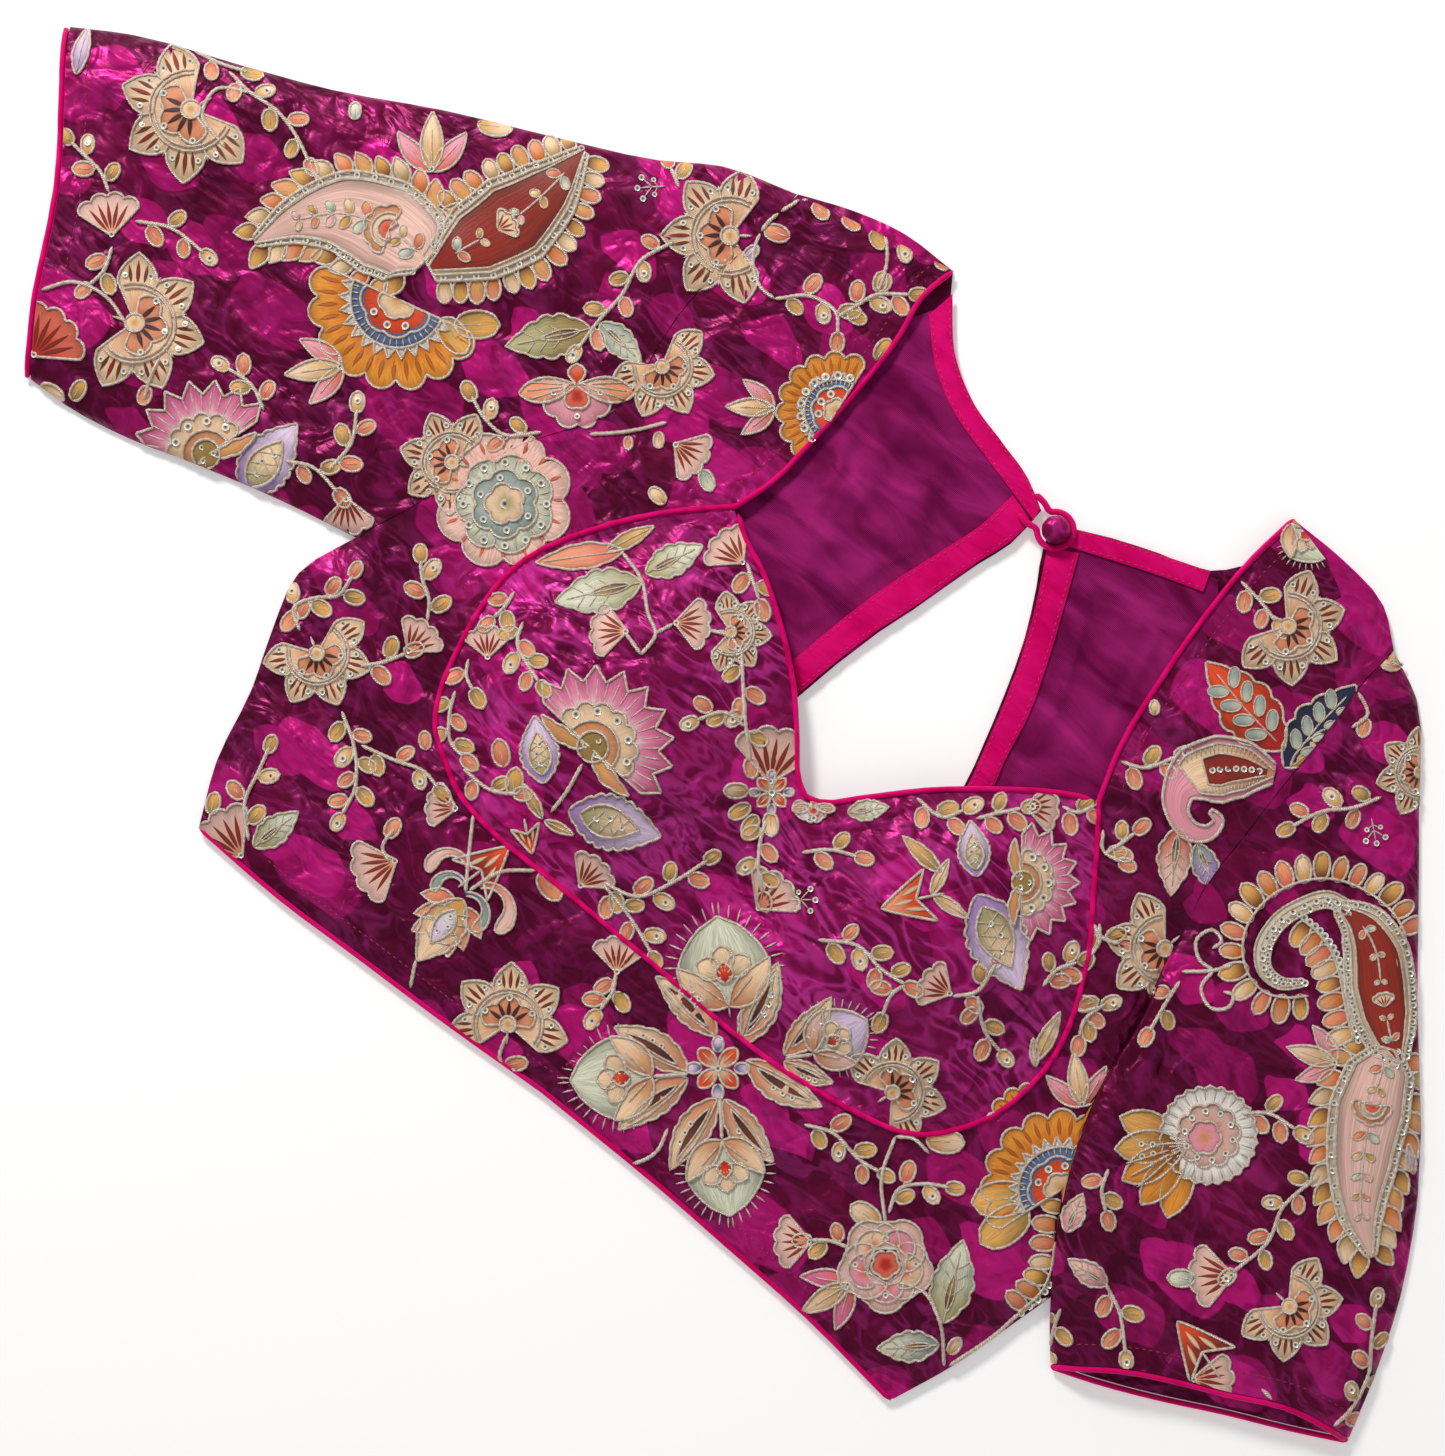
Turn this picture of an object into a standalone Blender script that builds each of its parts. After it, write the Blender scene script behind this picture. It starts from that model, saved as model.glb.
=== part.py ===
"""A choli blouse laid flat on its back: padded two-cup bustier front, straps, elbow sleeves,
a back with a keyhole that closes with a covered button and a cord loop, and pink piping.

X runs across the blouse, Y from the hem towards the neck, Z up. The tables are in millimetres,
measured from the hem line on the centre line; the origin is moved onto the resting face at the end.
"""
import math

import bmesh
import bpy
import numpy as np

# Driving sizes in millimetres
MM = 0.001
REST_POINT_Y = 60.0      # the origin lies this far above the hem line
CENTRE_X = -6.0          # the centre-front seam
WALL = 1.3               # embroidered cloth with its lining
BACK_WALL = 1.2
LINING_WALL = 1.0
FACING_WALL = 1.0
SEAM_GAP = 0.3
SEAM_SHIFT = 0.2         # each side of an armhole seam stands back by this much
PIPING_RADIUS = 1.2
PIPING_CLEAR = 1.8       # panel edges stay this far from a piping's centre line
BASE_TOP = 6.0           # usual height of the front's face
EDGE_TOP = 3.1           # height of the face where it rolls down to an outline
EDGE_FLOOR = 1.6         # lowest underside of the front, clear of the back
ROLL = 13.0              # width of the rolled outline
FOLD_MIDDLE = 1.6        # height of a sleeve's folded edge above its own floor
LINING_FLOOR = BACK_WALL + SEAM_GAP
FACING_FLOOR = 2.8
BUTTON_RADIUS = 6.0
BUTTON_HALF_HEIGHT = 4.0
LOOP_RADIUS = 1.4
SLEEVE_CLEAR = 1.6       # the right sleeve lies this far above the side it covers
SEAM_CLIMB = 28.0        # and climbs there over this distance from its armhole

BUTTON_AT = (9.6, 327.0)


def table(names, *rows):
    """The columns of a table of sizes, each under its own name."""
    return dict(zip(names.split(), np.array(rows, float).T))


def pairs(first, second, columns):
    """The two named columns as a list of plan points."""
    return np.stack([columns[first], columns[second]], axis=-1)


# One row for each section across the left front: strap, side and lower band
FRONT_LEFT = table(
    "inner_x inner_y outer_x outer_y",
    (-93, 384, -164, 367),
    (-96, 366, -165, 347),
    (-93, 349, -167, 329),
    (-92, 319, -170, 304),
    (-93, 290, -168, 279),
    (-95, 266, -164, 258),
    (-100, 249, -168, 240),
    (-123, 226, -183, 217),
    (-140, 203, -197, 186),
    (-154, 175, -205, 161),
    (-156, 160, -215, 137),
    (-154, 140, -224, 110),
    (-151, 126, -217, 84),
    (-146, 110, -208, 60),
    (-138, 97, -200, 27),
    (-126, 89, -188, 1),
    (-112, 82, -142, 0),
    (-96, 79, -104, 2),
    (-60, 79, -62, 4),
    (-6, 79, -6, 8),
)
LEFT_UNDERARM = 10
LEFT_HEM_CORNER = 15
LEFT_STRAP_CORNER = 6

FRONT_RIGHT = table(
    "inner_x inner_y outer_x outer_y",
    (84, 395, 152, 379),
    (81, 371, 150, 362),
    (81, 342, 151, 338),
    (84, 305, 152, 305),
    (89, 273, 153, 272),
    (96, 251, 154, 250),
    (106, 238, 158, 236),
    (120, 218, 162, 221),
    (131, 203, 167, 204),
    (139, 188, 175, 184),
    (146, 172, 190, 160),
    (150, 157, 213, 137),
    (150, 139, 219, 105),
    (146, 121, 215, 81),
    (139, 108, 210, 62),
    (130, 97, 202, 32),
    (118, 90, 190, 1),
    (104, 86, 140, 6),
    (83, 82, 95, 7.5),
    (60, 79, 60, 8.5),
    (-6, 79, -6, 8),
)
RIGHT_UNDERARM = 11
RIGHT_SEAM_END = 6       # below this row the sleeve's fold hides the armhole seam
RIGHT_HEM_CORNER = 16
RIGHT_STRAP_CORNER = 5

LEFT_SHOULDER = ((-93, 384), (-118, 383), (-140, 377), (-164, 367))
RIGHT_SHOULDER = ((84, 395), (111, 395), (136, 391), (152, 379))

# The neckline of the bustier, from each strap corner to the dip between the cups
NECKLINE_LEFT = ((-100, 249), (-88, 241), (-74, 235), (-59, 226), (-45, 216), (-32, 205),
                 (-18, 190), (-6, 177), (0, 174))
NECKLINE_RIGHT = ((96, 251), (81, 243), (58, 226), (37, 208), (18, 188), (6, 176), (0, 174))

# Sleeve outlines in plan: the two folded edges and the two ends
LEFT_SLEEVE_TOP = ((-164, 367), (-196, 356), (-218, 341), (-257, 321), (-302, 299), (-343, 276),
                   (-378, 260), (-423, 240), (-445, 226))
LEFT_SLEEVE_UNDER = ((-215, 137), (-249, 129), (-286, 118), (-316, 108), (-345, 102), (-363, 101))
LEFT_SLEEVE_HEM = ((-445, 226), (-423, 198), (-404, 172), (-382, 132), (-363, 101))

RIGHT_SLEEVE_TOP = ((152, 379), (172, 370), (200, 338), (253, 273), (307, 208), (328, 171),
                    (341, 138), (349, 112))
RIGHT_SLEEVE_UNDER = ((158, 236), (165.5, 214), (171, 194), (174, 158), (191, 113), (214, 77),
                      (232, 56))
RIGHT_SLEEVE_HEM = ((349, 112), (331, 110), (316, 106), (295, 95), (278, 87), (254, 74), (232, 56))
RIGHT_SLEEVE_LOW_HEM = ((349, 112), (326, 100), (301, 88), (276, 75), (250, 63), (232, 56))

# The back's neck edge and keyhole, left of the closure and right of it
BACK_NECK_LEFT = ((-93, 384), (-83, 370), (-69, 356), (-51, 346), (-31, 341), (-13, 337), (0, 330))
BACK_NECK_RIGHT = ((8, 329), (30, 340), (50, 348), (71, 356), (80, 366), (84, 395))
KEYHOLE = ((0, 330), (-1, 311), (-6, 296), (-15, 263), (-20, 247), (-29, 203), (-34, 170),
           (-24, 142), (4, 132), (34, 142), (48, 165), (50, 200), (49, 220), (44, 239),
           (38, 259), (29, 284), (19, 304), (10, 320), (8, 329))

# Facings, one row for each section: the sewn edge and the inner edge
NECK_FACING_LEFT = table(
    "edge_x edge_y inner_x inner_y",
    (-87, 376, -89, 363),
    (-69, 356.6, -72, 347.5),
    (-51, 346.6, -54, 338),
    (-31, 341.4, -33, 332.5),
    (-13, 336.6, -14, 328),
    (-1, 330, 0, 324.6),
)
NECK_FACING_RIGHT = table(
    "edge_x edge_y inner_x inner_y",
    (8.8, 329.2, 12, 322.8),
    (30, 339.4, 33, 331.5),
    (50, 347.4, 53, 339.5),
    (71, 355.4, 74, 347),
)
KEYHOLE_FACING_LEFT = table(
    "edge_x edge_y inner_x inner_y",
    (-0.5, 323.4, -13.5, 327.2),
    (-2, 311, -16, 308),
    (-7, 296, -21, 292),
    (-16, 263, -31, 260),
    (-21, 247, -35, 243),
    (-30, 203, -42, 205),
    (-32, 190, -44, 192),
)
KEYHOLE_FACING_RIGHT = table(
    "edge_x edge_y inner_x inner_y",
    (12, 319, 23.5, 326.2),
    (20, 304.5, 33, 305),
    (30, 284, 42, 284),
    (39, 259, 51, 259),
    (45, 239, 55, 240),
    (50, 220, 60, 222),
    (51, 206, 62, 209),
)

# Lining seen through the neck: the strap side and the keyhole side of each row
LINING_LEFT = table(
    "strap_x strap_y keyhole_x keyhole_y",
    (-86, 371, -2.5, 328),
    (-98, 348, -3, 311),
    (-99, 318, -8, 296),
    (-99, 290, -13, 279),
    (-102, 266, -17, 263),
    (-106, 248, -22, 247),
    (-98, 233, -31, 203),
    (-60, 214, -33, 190),
)
LINING_RIGHT = table(
    "strap_x strap_y keyhole_x keyhole_y",
    (76, 355, 13.5, 328),
    (87, 340, 15, 316),
    (90, 305, 22, 304),
    (95, 275, 32, 284),
    (101, 255, 41, 259),
    (96, 242, 47, 239),
    (80, 230, 52, 212),
)
LINING_WAVES = table("x0 y0 x1 y1 width rise",
                     (-70, 330, -60, 250, 7, 1.6),
                     (-86, 262, -46, 232, 9, 1.3),
                     (-48, 318, -34, 276, 8, 1.1),
                     (60, 330, 76, 262, 8, 1.4))

# Padded cups: centre, radii and how far they stand up
CUPS = table("x y radius_x radius_y rise",
             (-74, 160, 60, 62, 20),
             (70, 164, 58, 62, 19))

# The largest folds of the front and the left sleeve: a ridge or, with a minus, a trough
FRONT_FOLDS = table("x0 y0 x1 y1 width rise",
                    (-56, 130, 46, 114, 9, -4.5),
                    (-40, 148, 2, 134, 8, 2.2),
                    (-2, 170, -34, 118, 8, -1.8),
                    (3, 168, 34, 122, 8, 1.6),
                    (-152, 96, -20, 84, 9, -1.6),
                    (20, 84, 136, 92, 9, -1.5),
                    (-222, 148, -160, 138, 8, 2.6),
                    (-224, 122, -160, 118, 8, 2.2),
                    (-216, 86, -158, 96, 9, 2.0),
                    (-150, 64, -60, 44, 12, 2.2),
                    (-30, 60, 40, 34, 12, 1.8),
                    (70, 64, 160, 38, 12, 2.4),
                    (160, 160, 204, 112, 10, 2.0),
                    (-158, 352, -104, 338, 9, 2.4),
                    (-162, 322, -100, 300, 10, 2.8),
                    (-160, 276, -104, 262, 9, 2.2),
                    (90, 360, 146, 346, 10, 2.4),
                    (92, 312, 148, 322, 10, 2.6),
                    (102, 268, 150, 280, 9, 1.8),
                    (-408, 206, -309, 176, 13, -2.6),
                    (-430, 226, -330, 226, 14, 3.0),
                    (-380, 132, -300, 140, 13, 3.2),
                    (-300, 270, -210, 246, 15, 3.4),
                    (-290, 220, -200, 180, 12, -2.6),
                    (-262, 160, -214, 148, 12, 3.4),
                    (-196, 330, -176, 250, 12, 2.6),
                    (-240, 306, -190, 340, 11, 2.2))

# The largest folds of the right sleeve
SLEEVE_FOLDS = table("x0 y0 x1 y1 width rise",
                     (168, 352, 176, 296, 11, 3.4),
                     (184, 330, 216, 262, 12, -1.8),
                     (178, 246, 208, 176, 12, 3.2),
                     (196, 140, 232, 88, 11, 2.6),
                     (240, 262, 296, 186, 16, 2.4),
                     (230, 150, 268, 100, 13, -1.6),
                     (290, 150, 306, 106, 13, 3.4))


def smooth_line(points, steps, corners=()):
    """A smooth curve through the points, with so many steps in each span, sharp at the corners."""
    points = np.asarray(points, float)
    span = np.diff(points, axis=0)
    length = np.linalg.norm(span, axis=1)[:, None]
    slope = span / length
    middle = (slope[:-1] * length[1:] + slope[1:] * length[:-1]) / (length[1:] + length[:-1])
    leaving = np.vstack([slope[:1], middle])
    arriving = np.vstack([middle, slope[-1:]])
    for corner in corners:
        leaving[corner] = slope[corner]
        arriving[corner - 1] = slope[corner - 1]
    share = (np.arange(steps) / steps)[None, :, None]
    start, end = points[:-1, None], points[1:, None]
    out, into = (leaving * length)[:, None], (arriving * length)[:, None]
    curve = (start * (1 + 2 * share) * (1 - share) ** 2 + out * share * (1 - share) ** 2
             + end * share ** 2 * (3 - 2 * share) + into * share ** 2 * (share - 1))
    return np.vstack([curve.reshape(-1, 2), points[-1:]])


def at(line, share):
    """Points at the given shares of a line's length."""
    step = np.linalg.norm(np.diff(line, axis=0), axis=1)
    along = np.concatenate([[0.0], np.cumsum(step)]) / step.sum()
    return np.stack([np.interp(share, along, line[:, k]) for k in (0, 1)], axis=-1)


def nearest(line, plan):
    """The distance from each plan point to a line of straight runs, and the nearest point on it."""
    start, run = line[:-1], np.diff(line, axis=0)
    offset = plan[..., None, :] - start
    share = np.clip((offset * run).sum(-1) / (run ** 2).sum(-1), 0, 1)
    foot = start + share[..., None] * run
    gap = np.linalg.norm(plan[..., None, :] - foot, axis=-1)
    best = gap.argmin(axis=-1)
    distance = np.take_along_axis(gap, best[..., None], -1)[..., 0]
    point = np.take_along_axis(foot, best[..., None, None], -2)[..., 0, :]
    return distance, point


def inside(outline, plan):
    """Whether each plan point lies inside a closed outline, by counting the edges to its right."""
    x, y = plan[..., 0:1], plan[..., 1:2]
    start, end = outline, np.roll(outline, -1, axis=0)
    crosses = (start[:, 1] > y) != (end[:, 1] > y)
    height = np.where(end[:, 1] == start[:, 1], 1.0, end[:, 1] - start[:, 1])
    cut = start[:, 0] + (y - start[:, 1]) * (end[:, 0] - start[:, 0]) / height
    return (crosses & (cut > x)).sum(-1) % 2 == 1


def keep_clear(plan, line, distance):
    """Moves plan points that lie too near a line straight away from it."""
    gap, foot = nearest(line, plan)
    away = (plan - foot) / np.maximum(gap, 0.01)[..., None]
    return plan + away * np.clip(distance - gap, 0, None)[..., None]


def ease(share):
    """Rises smoothly from 0 to 1."""
    share = np.clip(share, 0, 1)
    return share * share * (3 - 2 * share)


def folds(rows, plan):
    """Sum of soft ridges: a bell across each fold's line, dying out at its two ends."""
    total = np.zeros(plan.shape[:-1])
    for x0, y0, x1, y1, width, rise in zip(*rows.values()):
        start, run = np.array([x0, y0]), np.array([x1 - x0, y1 - y0])
        share = ((plan - start) @ run) / (run @ run)
        foot = start + np.clip(share, 0, 1)[..., None] * run
        across = np.linalg.norm(plan - foot, axis=-1) / width
        total += rise * np.exp(-across ** 2) * np.sin(math.pi * np.clip(share, 0.08, 0.92)) ** 0.7
    return total


def cups(plan):
    """Two padded domes, each falling off as exp(-r^2.6) of the distance over its radii."""
    total = np.zeros(plan.shape[:-1])
    for x, y, radius_x, radius_y, rise in zip(*CUPS.values()):
        reach = np.hypot((plan[..., 0] - x) / radius_x, (plan[..., 1] - y) / radius_y)
        total += rise * np.exp(-reach ** 2.6)
    return total


def outer_edge(rows, steps, corners):
    """The outer line of a front panel."""
    return smooth_line(pairs("outer_x", "outer_y", rows), steps, corners)


def inner_edge(rows, steps, corner):
    """The piped line of a front panel."""
    return smooth_line(pairs("inner_x", "inner_y", rows), steps, (corner,))


EDGE_STEPS = 3
# Shares across a sleeve's width, close together at the two folded edges
ACROSS = np.array([0, 0.014, 0.04, 0.09, 0.17, 0.27, 0.38, 0.5,
                   0.62, 0.73, 0.83, 0.91, 0.96, 0.986, 1])
LEFT_OUTER = outer_edge(FRONT_LEFT, EDGE_STEPS, (LEFT_UNDERARM, LEFT_HEM_CORNER))
RIGHT_OUTER = outer_edge(FRONT_RIGHT, EDGE_STEPS, (RIGHT_UNDERARM, RIGHT_HEM_CORNER))
LEFT_INNER = inner_edge(FRONT_LEFT, EDGE_STEPS, LEFT_STRAP_CORNER)
RIGHT_INNER = inner_edge(FRONT_RIGHT, EDGE_STEPS, RIGHT_STRAP_CORNER)
LEFT_ARMHOLE = LEFT_OUTER[:LEFT_UNDERARM * EDGE_STEPS + 1]
RIGHT_ARMHOLE = RIGHT_OUTER[:RIGHT_SEAM_END * EDGE_STEPS + 1]

# The lines where the whole face rolls down: shoulders, sleeve folds, sides and hem
ROLLED_LINES = (
    np.vstack([smooth_line(LEFT_SHOULDER, 3), smooth_line(LEFT_SLEEVE_TOP, 3)[1:]]),
    np.vstack([smooth_line(LEFT_SLEEVE_UNDER, 3)[::-1],
               LEFT_OUTER[LEFT_UNDERARM * EDGE_STEPS + 1:],
               RIGHT_OUTER[RIGHT_SEAM_END * EDGE_STEPS:][::-1][1:]]),
    np.vstack([smooth_line(RIGHT_SHOULDER, 3), smooth_line(RIGHT_SLEEVE_TOP, 3)[1:]]),
)


def roll(distance):
    """The share of the full height at a distance from a rolled edge: a quarter sine."""
    return np.sin(np.clip(distance / ROLL, 0, 1) * math.pi / 2)


def face_top(plan):
    """Height of the front's face and of the left sleeve: base, cups and folds, rolled at the rim."""
    distance = np.min([nearest(line, plan)[0] for line in ROLLED_LINES], axis=0)
    full = np.maximum(BASE_TOP + cups(plan) + folds(FRONT_FOLDS, plan), EDGE_TOP)
    return EDGE_TOP + (full - EDGE_TOP) * roll(distance)


def slope_factor(height, plan):
    """How much more of a sloping wall an upright line passes through: sqrt(1 + slope^2)."""
    step = 0.5
    east = (height(plan + (step, 0)) - height(plan - (step, 0))) / (2 * step)
    north = (height(plan + (0, step)) - height(plan - (0, step))) / (2 * step)
    return np.sqrt(1 + east ** 2 + north ** 2)


BODY_OUTLINE = np.vstack([LEFT_OUTER, RIGHT_OUTER[::-1][1:],
                          smooth_line(RIGHT_SHOULDER, 3)[::-1][1:-1],
                          smooth_line(LEFT_SHOULDER, 3)])
BODY_RIGHT = RIGHT_OUTER[RIGHT_SEAM_END * EDGE_STEPS:]


def covered_side(plan):
    """Floor of the right sleeve: just above the blouse's side, and down to the table beside it."""
    over = face_top(plan) + SLEEVE_CLEAR
    beside_width = 14.0
    distance = nearest(BODY_RIGHT, plan)[0]
    beside = (EDGE_TOP + SLEEVE_CLEAR) * (1 - ease(distance / beside_width))
    return np.where(inside(BODY_OUTLINE, plan), over, beside)


def new_object(name, points, faces, colour, smooth=True):
    """An object with its mesh in metres about the rest point, and its own cloth material."""
    points = np.asarray(points, float) - (0, REST_POINT_Y, 0)
    mesh = bpy.data.meshes.new(name)
    mesh.from_pydata((points * MM).tolist(), [], faces)
    mesh.update()
    material = bpy.data.materials.new(name)
    material.use_nodes = True
    shader = material.node_tree.nodes["Principled BSDF"]
    shader.inputs["Base Color"].default_value = (*colour, 1)
    shader.inputs["Roughness"].default_value = 0.45
    shader.inputs["Metallic"].default_value = 0
    mesh.materials.append(material)
    if smooth:
        mesh.shade_smooth()
        mesh.set_sharp_from_angle(angle=math.radians(40))
    made = bpy.data.objects.new(name, mesh)
    bpy.context.collection.objects.link(made)
    return made


def ruled(first, second, rows_between, start=None, end=None, end_reach=8):
    """A plan grid between two edge lines; a curved end bends only the rows near it."""
    along = np.linspace(0, 1, len(first))[:, None, None]
    across = np.linspace(0, 1, rows_between + 1)[None, :, None]
    grid = first[:, None] * (1 - across) + second[:, None] * across
    for line, weight in ((start, (1 - along) ** end_reach), (end, along ** end_reach)):
        if line is not None:
            curve = at(line, across[0, :, 0])[None]
            grid = grid + weight * (curve - curve[:, :1] * (1 - across) - curve[:, -1:] * across)
    return grid


def coons(first, second, start, end, share_along, share_across):
    """The patch that fills four edge lines: the two ruled surfaces less the flat one."""
    s, t = share_along[..., None], share_across[..., None]
    side = at(first, share_along) * (1 - t) + at(second, share_along) * t
    ends = at(start, share_across) * (1 - s) + at(end, share_across) * s
    flat = ((start[0] * (1 - t) + start[-1] * t) * (1 - s)
            + (end[0] * (1 - t) + end[-1] * t) * s)
    return side + ends - flat


def quads(rows, columns, closed=False):
    """The faces of a grid of points, joined round when it is closed."""
    last = columns if closed else columns - 1
    return [(r * columns + c, r * columns + (c + 1) % columns,
             (r + 1) * columns + (c + 1) % columns, (r + 1) * columns + c)
            for r in range(rows - 1) for c in range(last)]


def panel(name, plan, top, bottom, colour):
    """A closed wall of cloth between the same plan grid at two heights."""
    rows, columns = plan.shape[:2]
    count = rows * columns
    flat = plan.reshape(-1, 2)
    points = np.vstack([np.column_stack([flat, top.ravel()]),
                        np.column_stack([flat, bottom.ravel()])])
    faces = quads(rows, columns)
    corner = plan[1, 0] - plan[0, 0], plan[0, 1] - plan[0, 0]
    if corner[0][0] * corner[1][1] < corner[0][1] * corner[1][0]:
        faces = [face[::-1] for face in faces]
    faces = [face[::-1] for face in faces]
    rim = ([(0, c) for c in range(columns)] + [(r, columns - 1) for r in range(1, rows)]
           + [(rows - 1, c) for c in range(columns - 2, -1, -1)]
           + [(r, 0) for r in range(rows - 2, 0, -1)])
    rim = [r * columns + c for r, c in rim]
    walls = [(a, b, b + count, a + count) for a, b in zip(rim, rim[1:] + rim[:1])]
    under = [tuple(v + count for v in face[::-1]) for face in faces]
    made = new_object(name, points, faces + under + walls, colour)
    face_outwards(made)
    return made


def face_outwards(made):
    """Turns every face of a closed mesh outwards."""
    work = bmesh.new()
    work.from_mesh(made.data)
    bmesh.ops.recalc_face_normals(work, faces=work.faces)
    work.to_mesh(made.data)
    work.free()


def tube(name, outer, inner, colour):
    """A sleeve: rings of outer and inner points, open at both ends."""
    rows, columns = outer.shape[:2]
    count = rows * columns
    points = np.vstack([outer.reshape(-1, 3), inner.reshape(-1, 3)])
    skin = quads(rows, columns, closed=True)
    lining = [tuple(v + count for v in face[::-1]) for face in skin]
    ends = []
    for first in (0, (rows - 1) * columns):
        ends += [(first + c, first + (c + 1) % columns, first + (c + 1) % columns + count,
                  first + c + count) for c in range(columns)]
    made = new_object(name, points, skin + lining + ends, colour)
    face_outwards(made)
    return made


def cord(name, path, radius, colour, closed=False, sides=6):
    """A round cord along a path: a ring of points square to the path at each point."""
    ahead = np.roll(path, -1, axis=0) - np.roll(path, 1, axis=0)
    if not closed:
        ahead[0] = path[1] - path[0]
        ahead[-1] = path[-1] - path[-2]
    ahead /= np.linalg.norm(ahead, axis=1)[:, None]
    side = np.cross(ahead, (0, 0, 1))
    for k in range(1, len(side)):
        turned = side[k] - ahead[k] * (side[k - 1] @ ahead[k])
        blended = side[k - 1] - ahead[k] * (side[k - 1] @ ahead[k])
        side[k] = blended if np.linalg.norm(blended) > 0.2 else turned
    side /= np.linalg.norm(side, axis=1)[:, None]
    up = np.cross(side, ahead)
    turn = np.arange(sides) * 2 * math.pi / sides
    rings = (path[:, None] + radius * (np.cos(turn)[None, :, None] * side[:, None]
                                       + np.sin(turn)[None, :, None] * up[:, None]))
    rows = len(path)
    points = rings.reshape(-1, 3)
    faces = quads(rows, sides, closed=True)
    if closed:
        last = (rows - 1) * sides
        faces += [(last + c, last + (c + 1) % sides, (c + 1) % sides, c) for c in range(sides)]
    else:
        faces.append(tuple(range(sides)))
        faces.append(tuple(range((rows - 1) * sides, rows * sides)))
    made = new_object(name, points, faces, colour)
    face_outwards(made)
    return made


def cloth_colour(name):
    """Linear colours of the five cloths."""
    return {"velvet": (0.16, 0.01, 0.09), "bustier": (0.28, 0.01, 0.16),
            "lining": (0.26, 0.02, 0.14), "pink": (0.72, 0.01, 0.12),
            "button": (0.14, 0.01, 0.07)}[name]


def row_places(armhole, seam_rows, rows):
    """Where the panel's rows lie: at the sleeve's own points down the armhole, then at halves."""
    step = np.linalg.norm(np.diff(armhole, axis=0), axis=1)
    along = np.concatenate([[0.0], np.cumsum(step)]) / step.sum()
    seam = np.interp(ACROSS, along, np.linspace(0, seam_rows, len(armhole)))
    return np.concatenate([seam, np.arange(seam_rows + 0.5, rows - 0.9, 0.5)])


def front_panel(name, rows, inner, outer, armhole, seam_rows, hem_corner, shoulder):
    """Strap, side and lower band in one wall, from the shoulder round to the centre seam."""
    places = row_places(armhole, seam_rows, len(rows["inner_x"]))
    fine = np.arange(len(inner)) / EDGE_STEPS
    piped, free = (np.stack([np.interp(places, fine, line[:, k]) for k in (0, 1)], axis=-1)
                   for line in (inner, outer))
    width = np.linalg.norm(free - piped, axis=1)[:, None]
    start = piped + (free - piped) * 1.4 * PIPING_CLEAR / width
    plan = ruled(start, free, 7, start=smooth_line(shoulder, 3))
    side = np.sign(shoulder[0][0])
    plan[:len(ACROSS), -1, 0] -= side * SEAM_SHIFT
    plan[-1, :, 0] = CENTRE_X + side * SEAM_GAP / 2
    plan[places >= hem_corner, -1, 1] += PIPING_CLEAR
    plan = keep_clear(plan, inner, PIPING_CLEAR)
    top = face_top(plan)
    bottom = np.maximum(top - WALL * slope_factor(face_top, plan), EDGE_FLOOR)
    return panel(name, plan, top, bottom, cloth_colour("velvet"))


def build_fronts():
    """The two outer fronts."""
    front_panel("front_left", FRONT_LEFT, LEFT_INNER, LEFT_OUTER, LEFT_ARMHOLE,
                LEFT_UNDERARM, LEFT_HEM_CORNER, LEFT_SHOULDER)
    front_panel("front_right", FRONT_RIGHT, RIGHT_INNER, RIGHT_OUTER, RIGHT_ARMHOLE,
                RIGHT_SEAM_END, RIGHT_HEM_CORNER, RIGHT_SHOULDER)


def bustier_half(name, neckline, rim, strap_corner, side):
    """One padded cup: neckline, centre seam, band seam and armhole side around a patch."""
    rim = rim[strap_corner * EDGE_STEPS:]
    split = int(np.argmin(np.abs(rim[:, 1] - 97)))
    armhole_side, band_seam = rim[:split + 1], rim[split:]
    neck = smooth_line(neckline, 3)
    centre = np.array([neck[-1], band_seam[-1]])
    along, across = np.meshgrid(np.linspace(0, 1, 15), np.linspace(0, 1, 15), indexing="ij")
    edge = 0.014
    plan = coons(neck, band_seam, armhole_side, centre,
                 edge + (1 - edge) * along, edge + (1 - 2 * edge) * across)
    plan[-1, :, 0] += side * SEAM_GAP / 2 * np.ones(plan.shape[1])
    plan = keep_clear(plan, rim, PIPING_CLEAR)
    plan = keep_clear(plan, neck, PIPING_CLEAR)
    top = face_top(plan)
    bottom = top - WALL * slope_factor(face_top, plan)
    return panel(name, plan, top, bottom, cloth_colour("bustier"))


def build_bustier():
    """The two cups, joined on the centre-front seam."""
    bustier_half("bustier_left", NECKLINE_LEFT, LEFT_INNER, LEFT_STRAP_CORNER, -1)
    bustier_half("bustier_right", NECKLINE_RIGHT, RIGHT_INNER, RIGHT_STRAP_CORNER, 1)


SLEEVE_ROWS = 13


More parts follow.
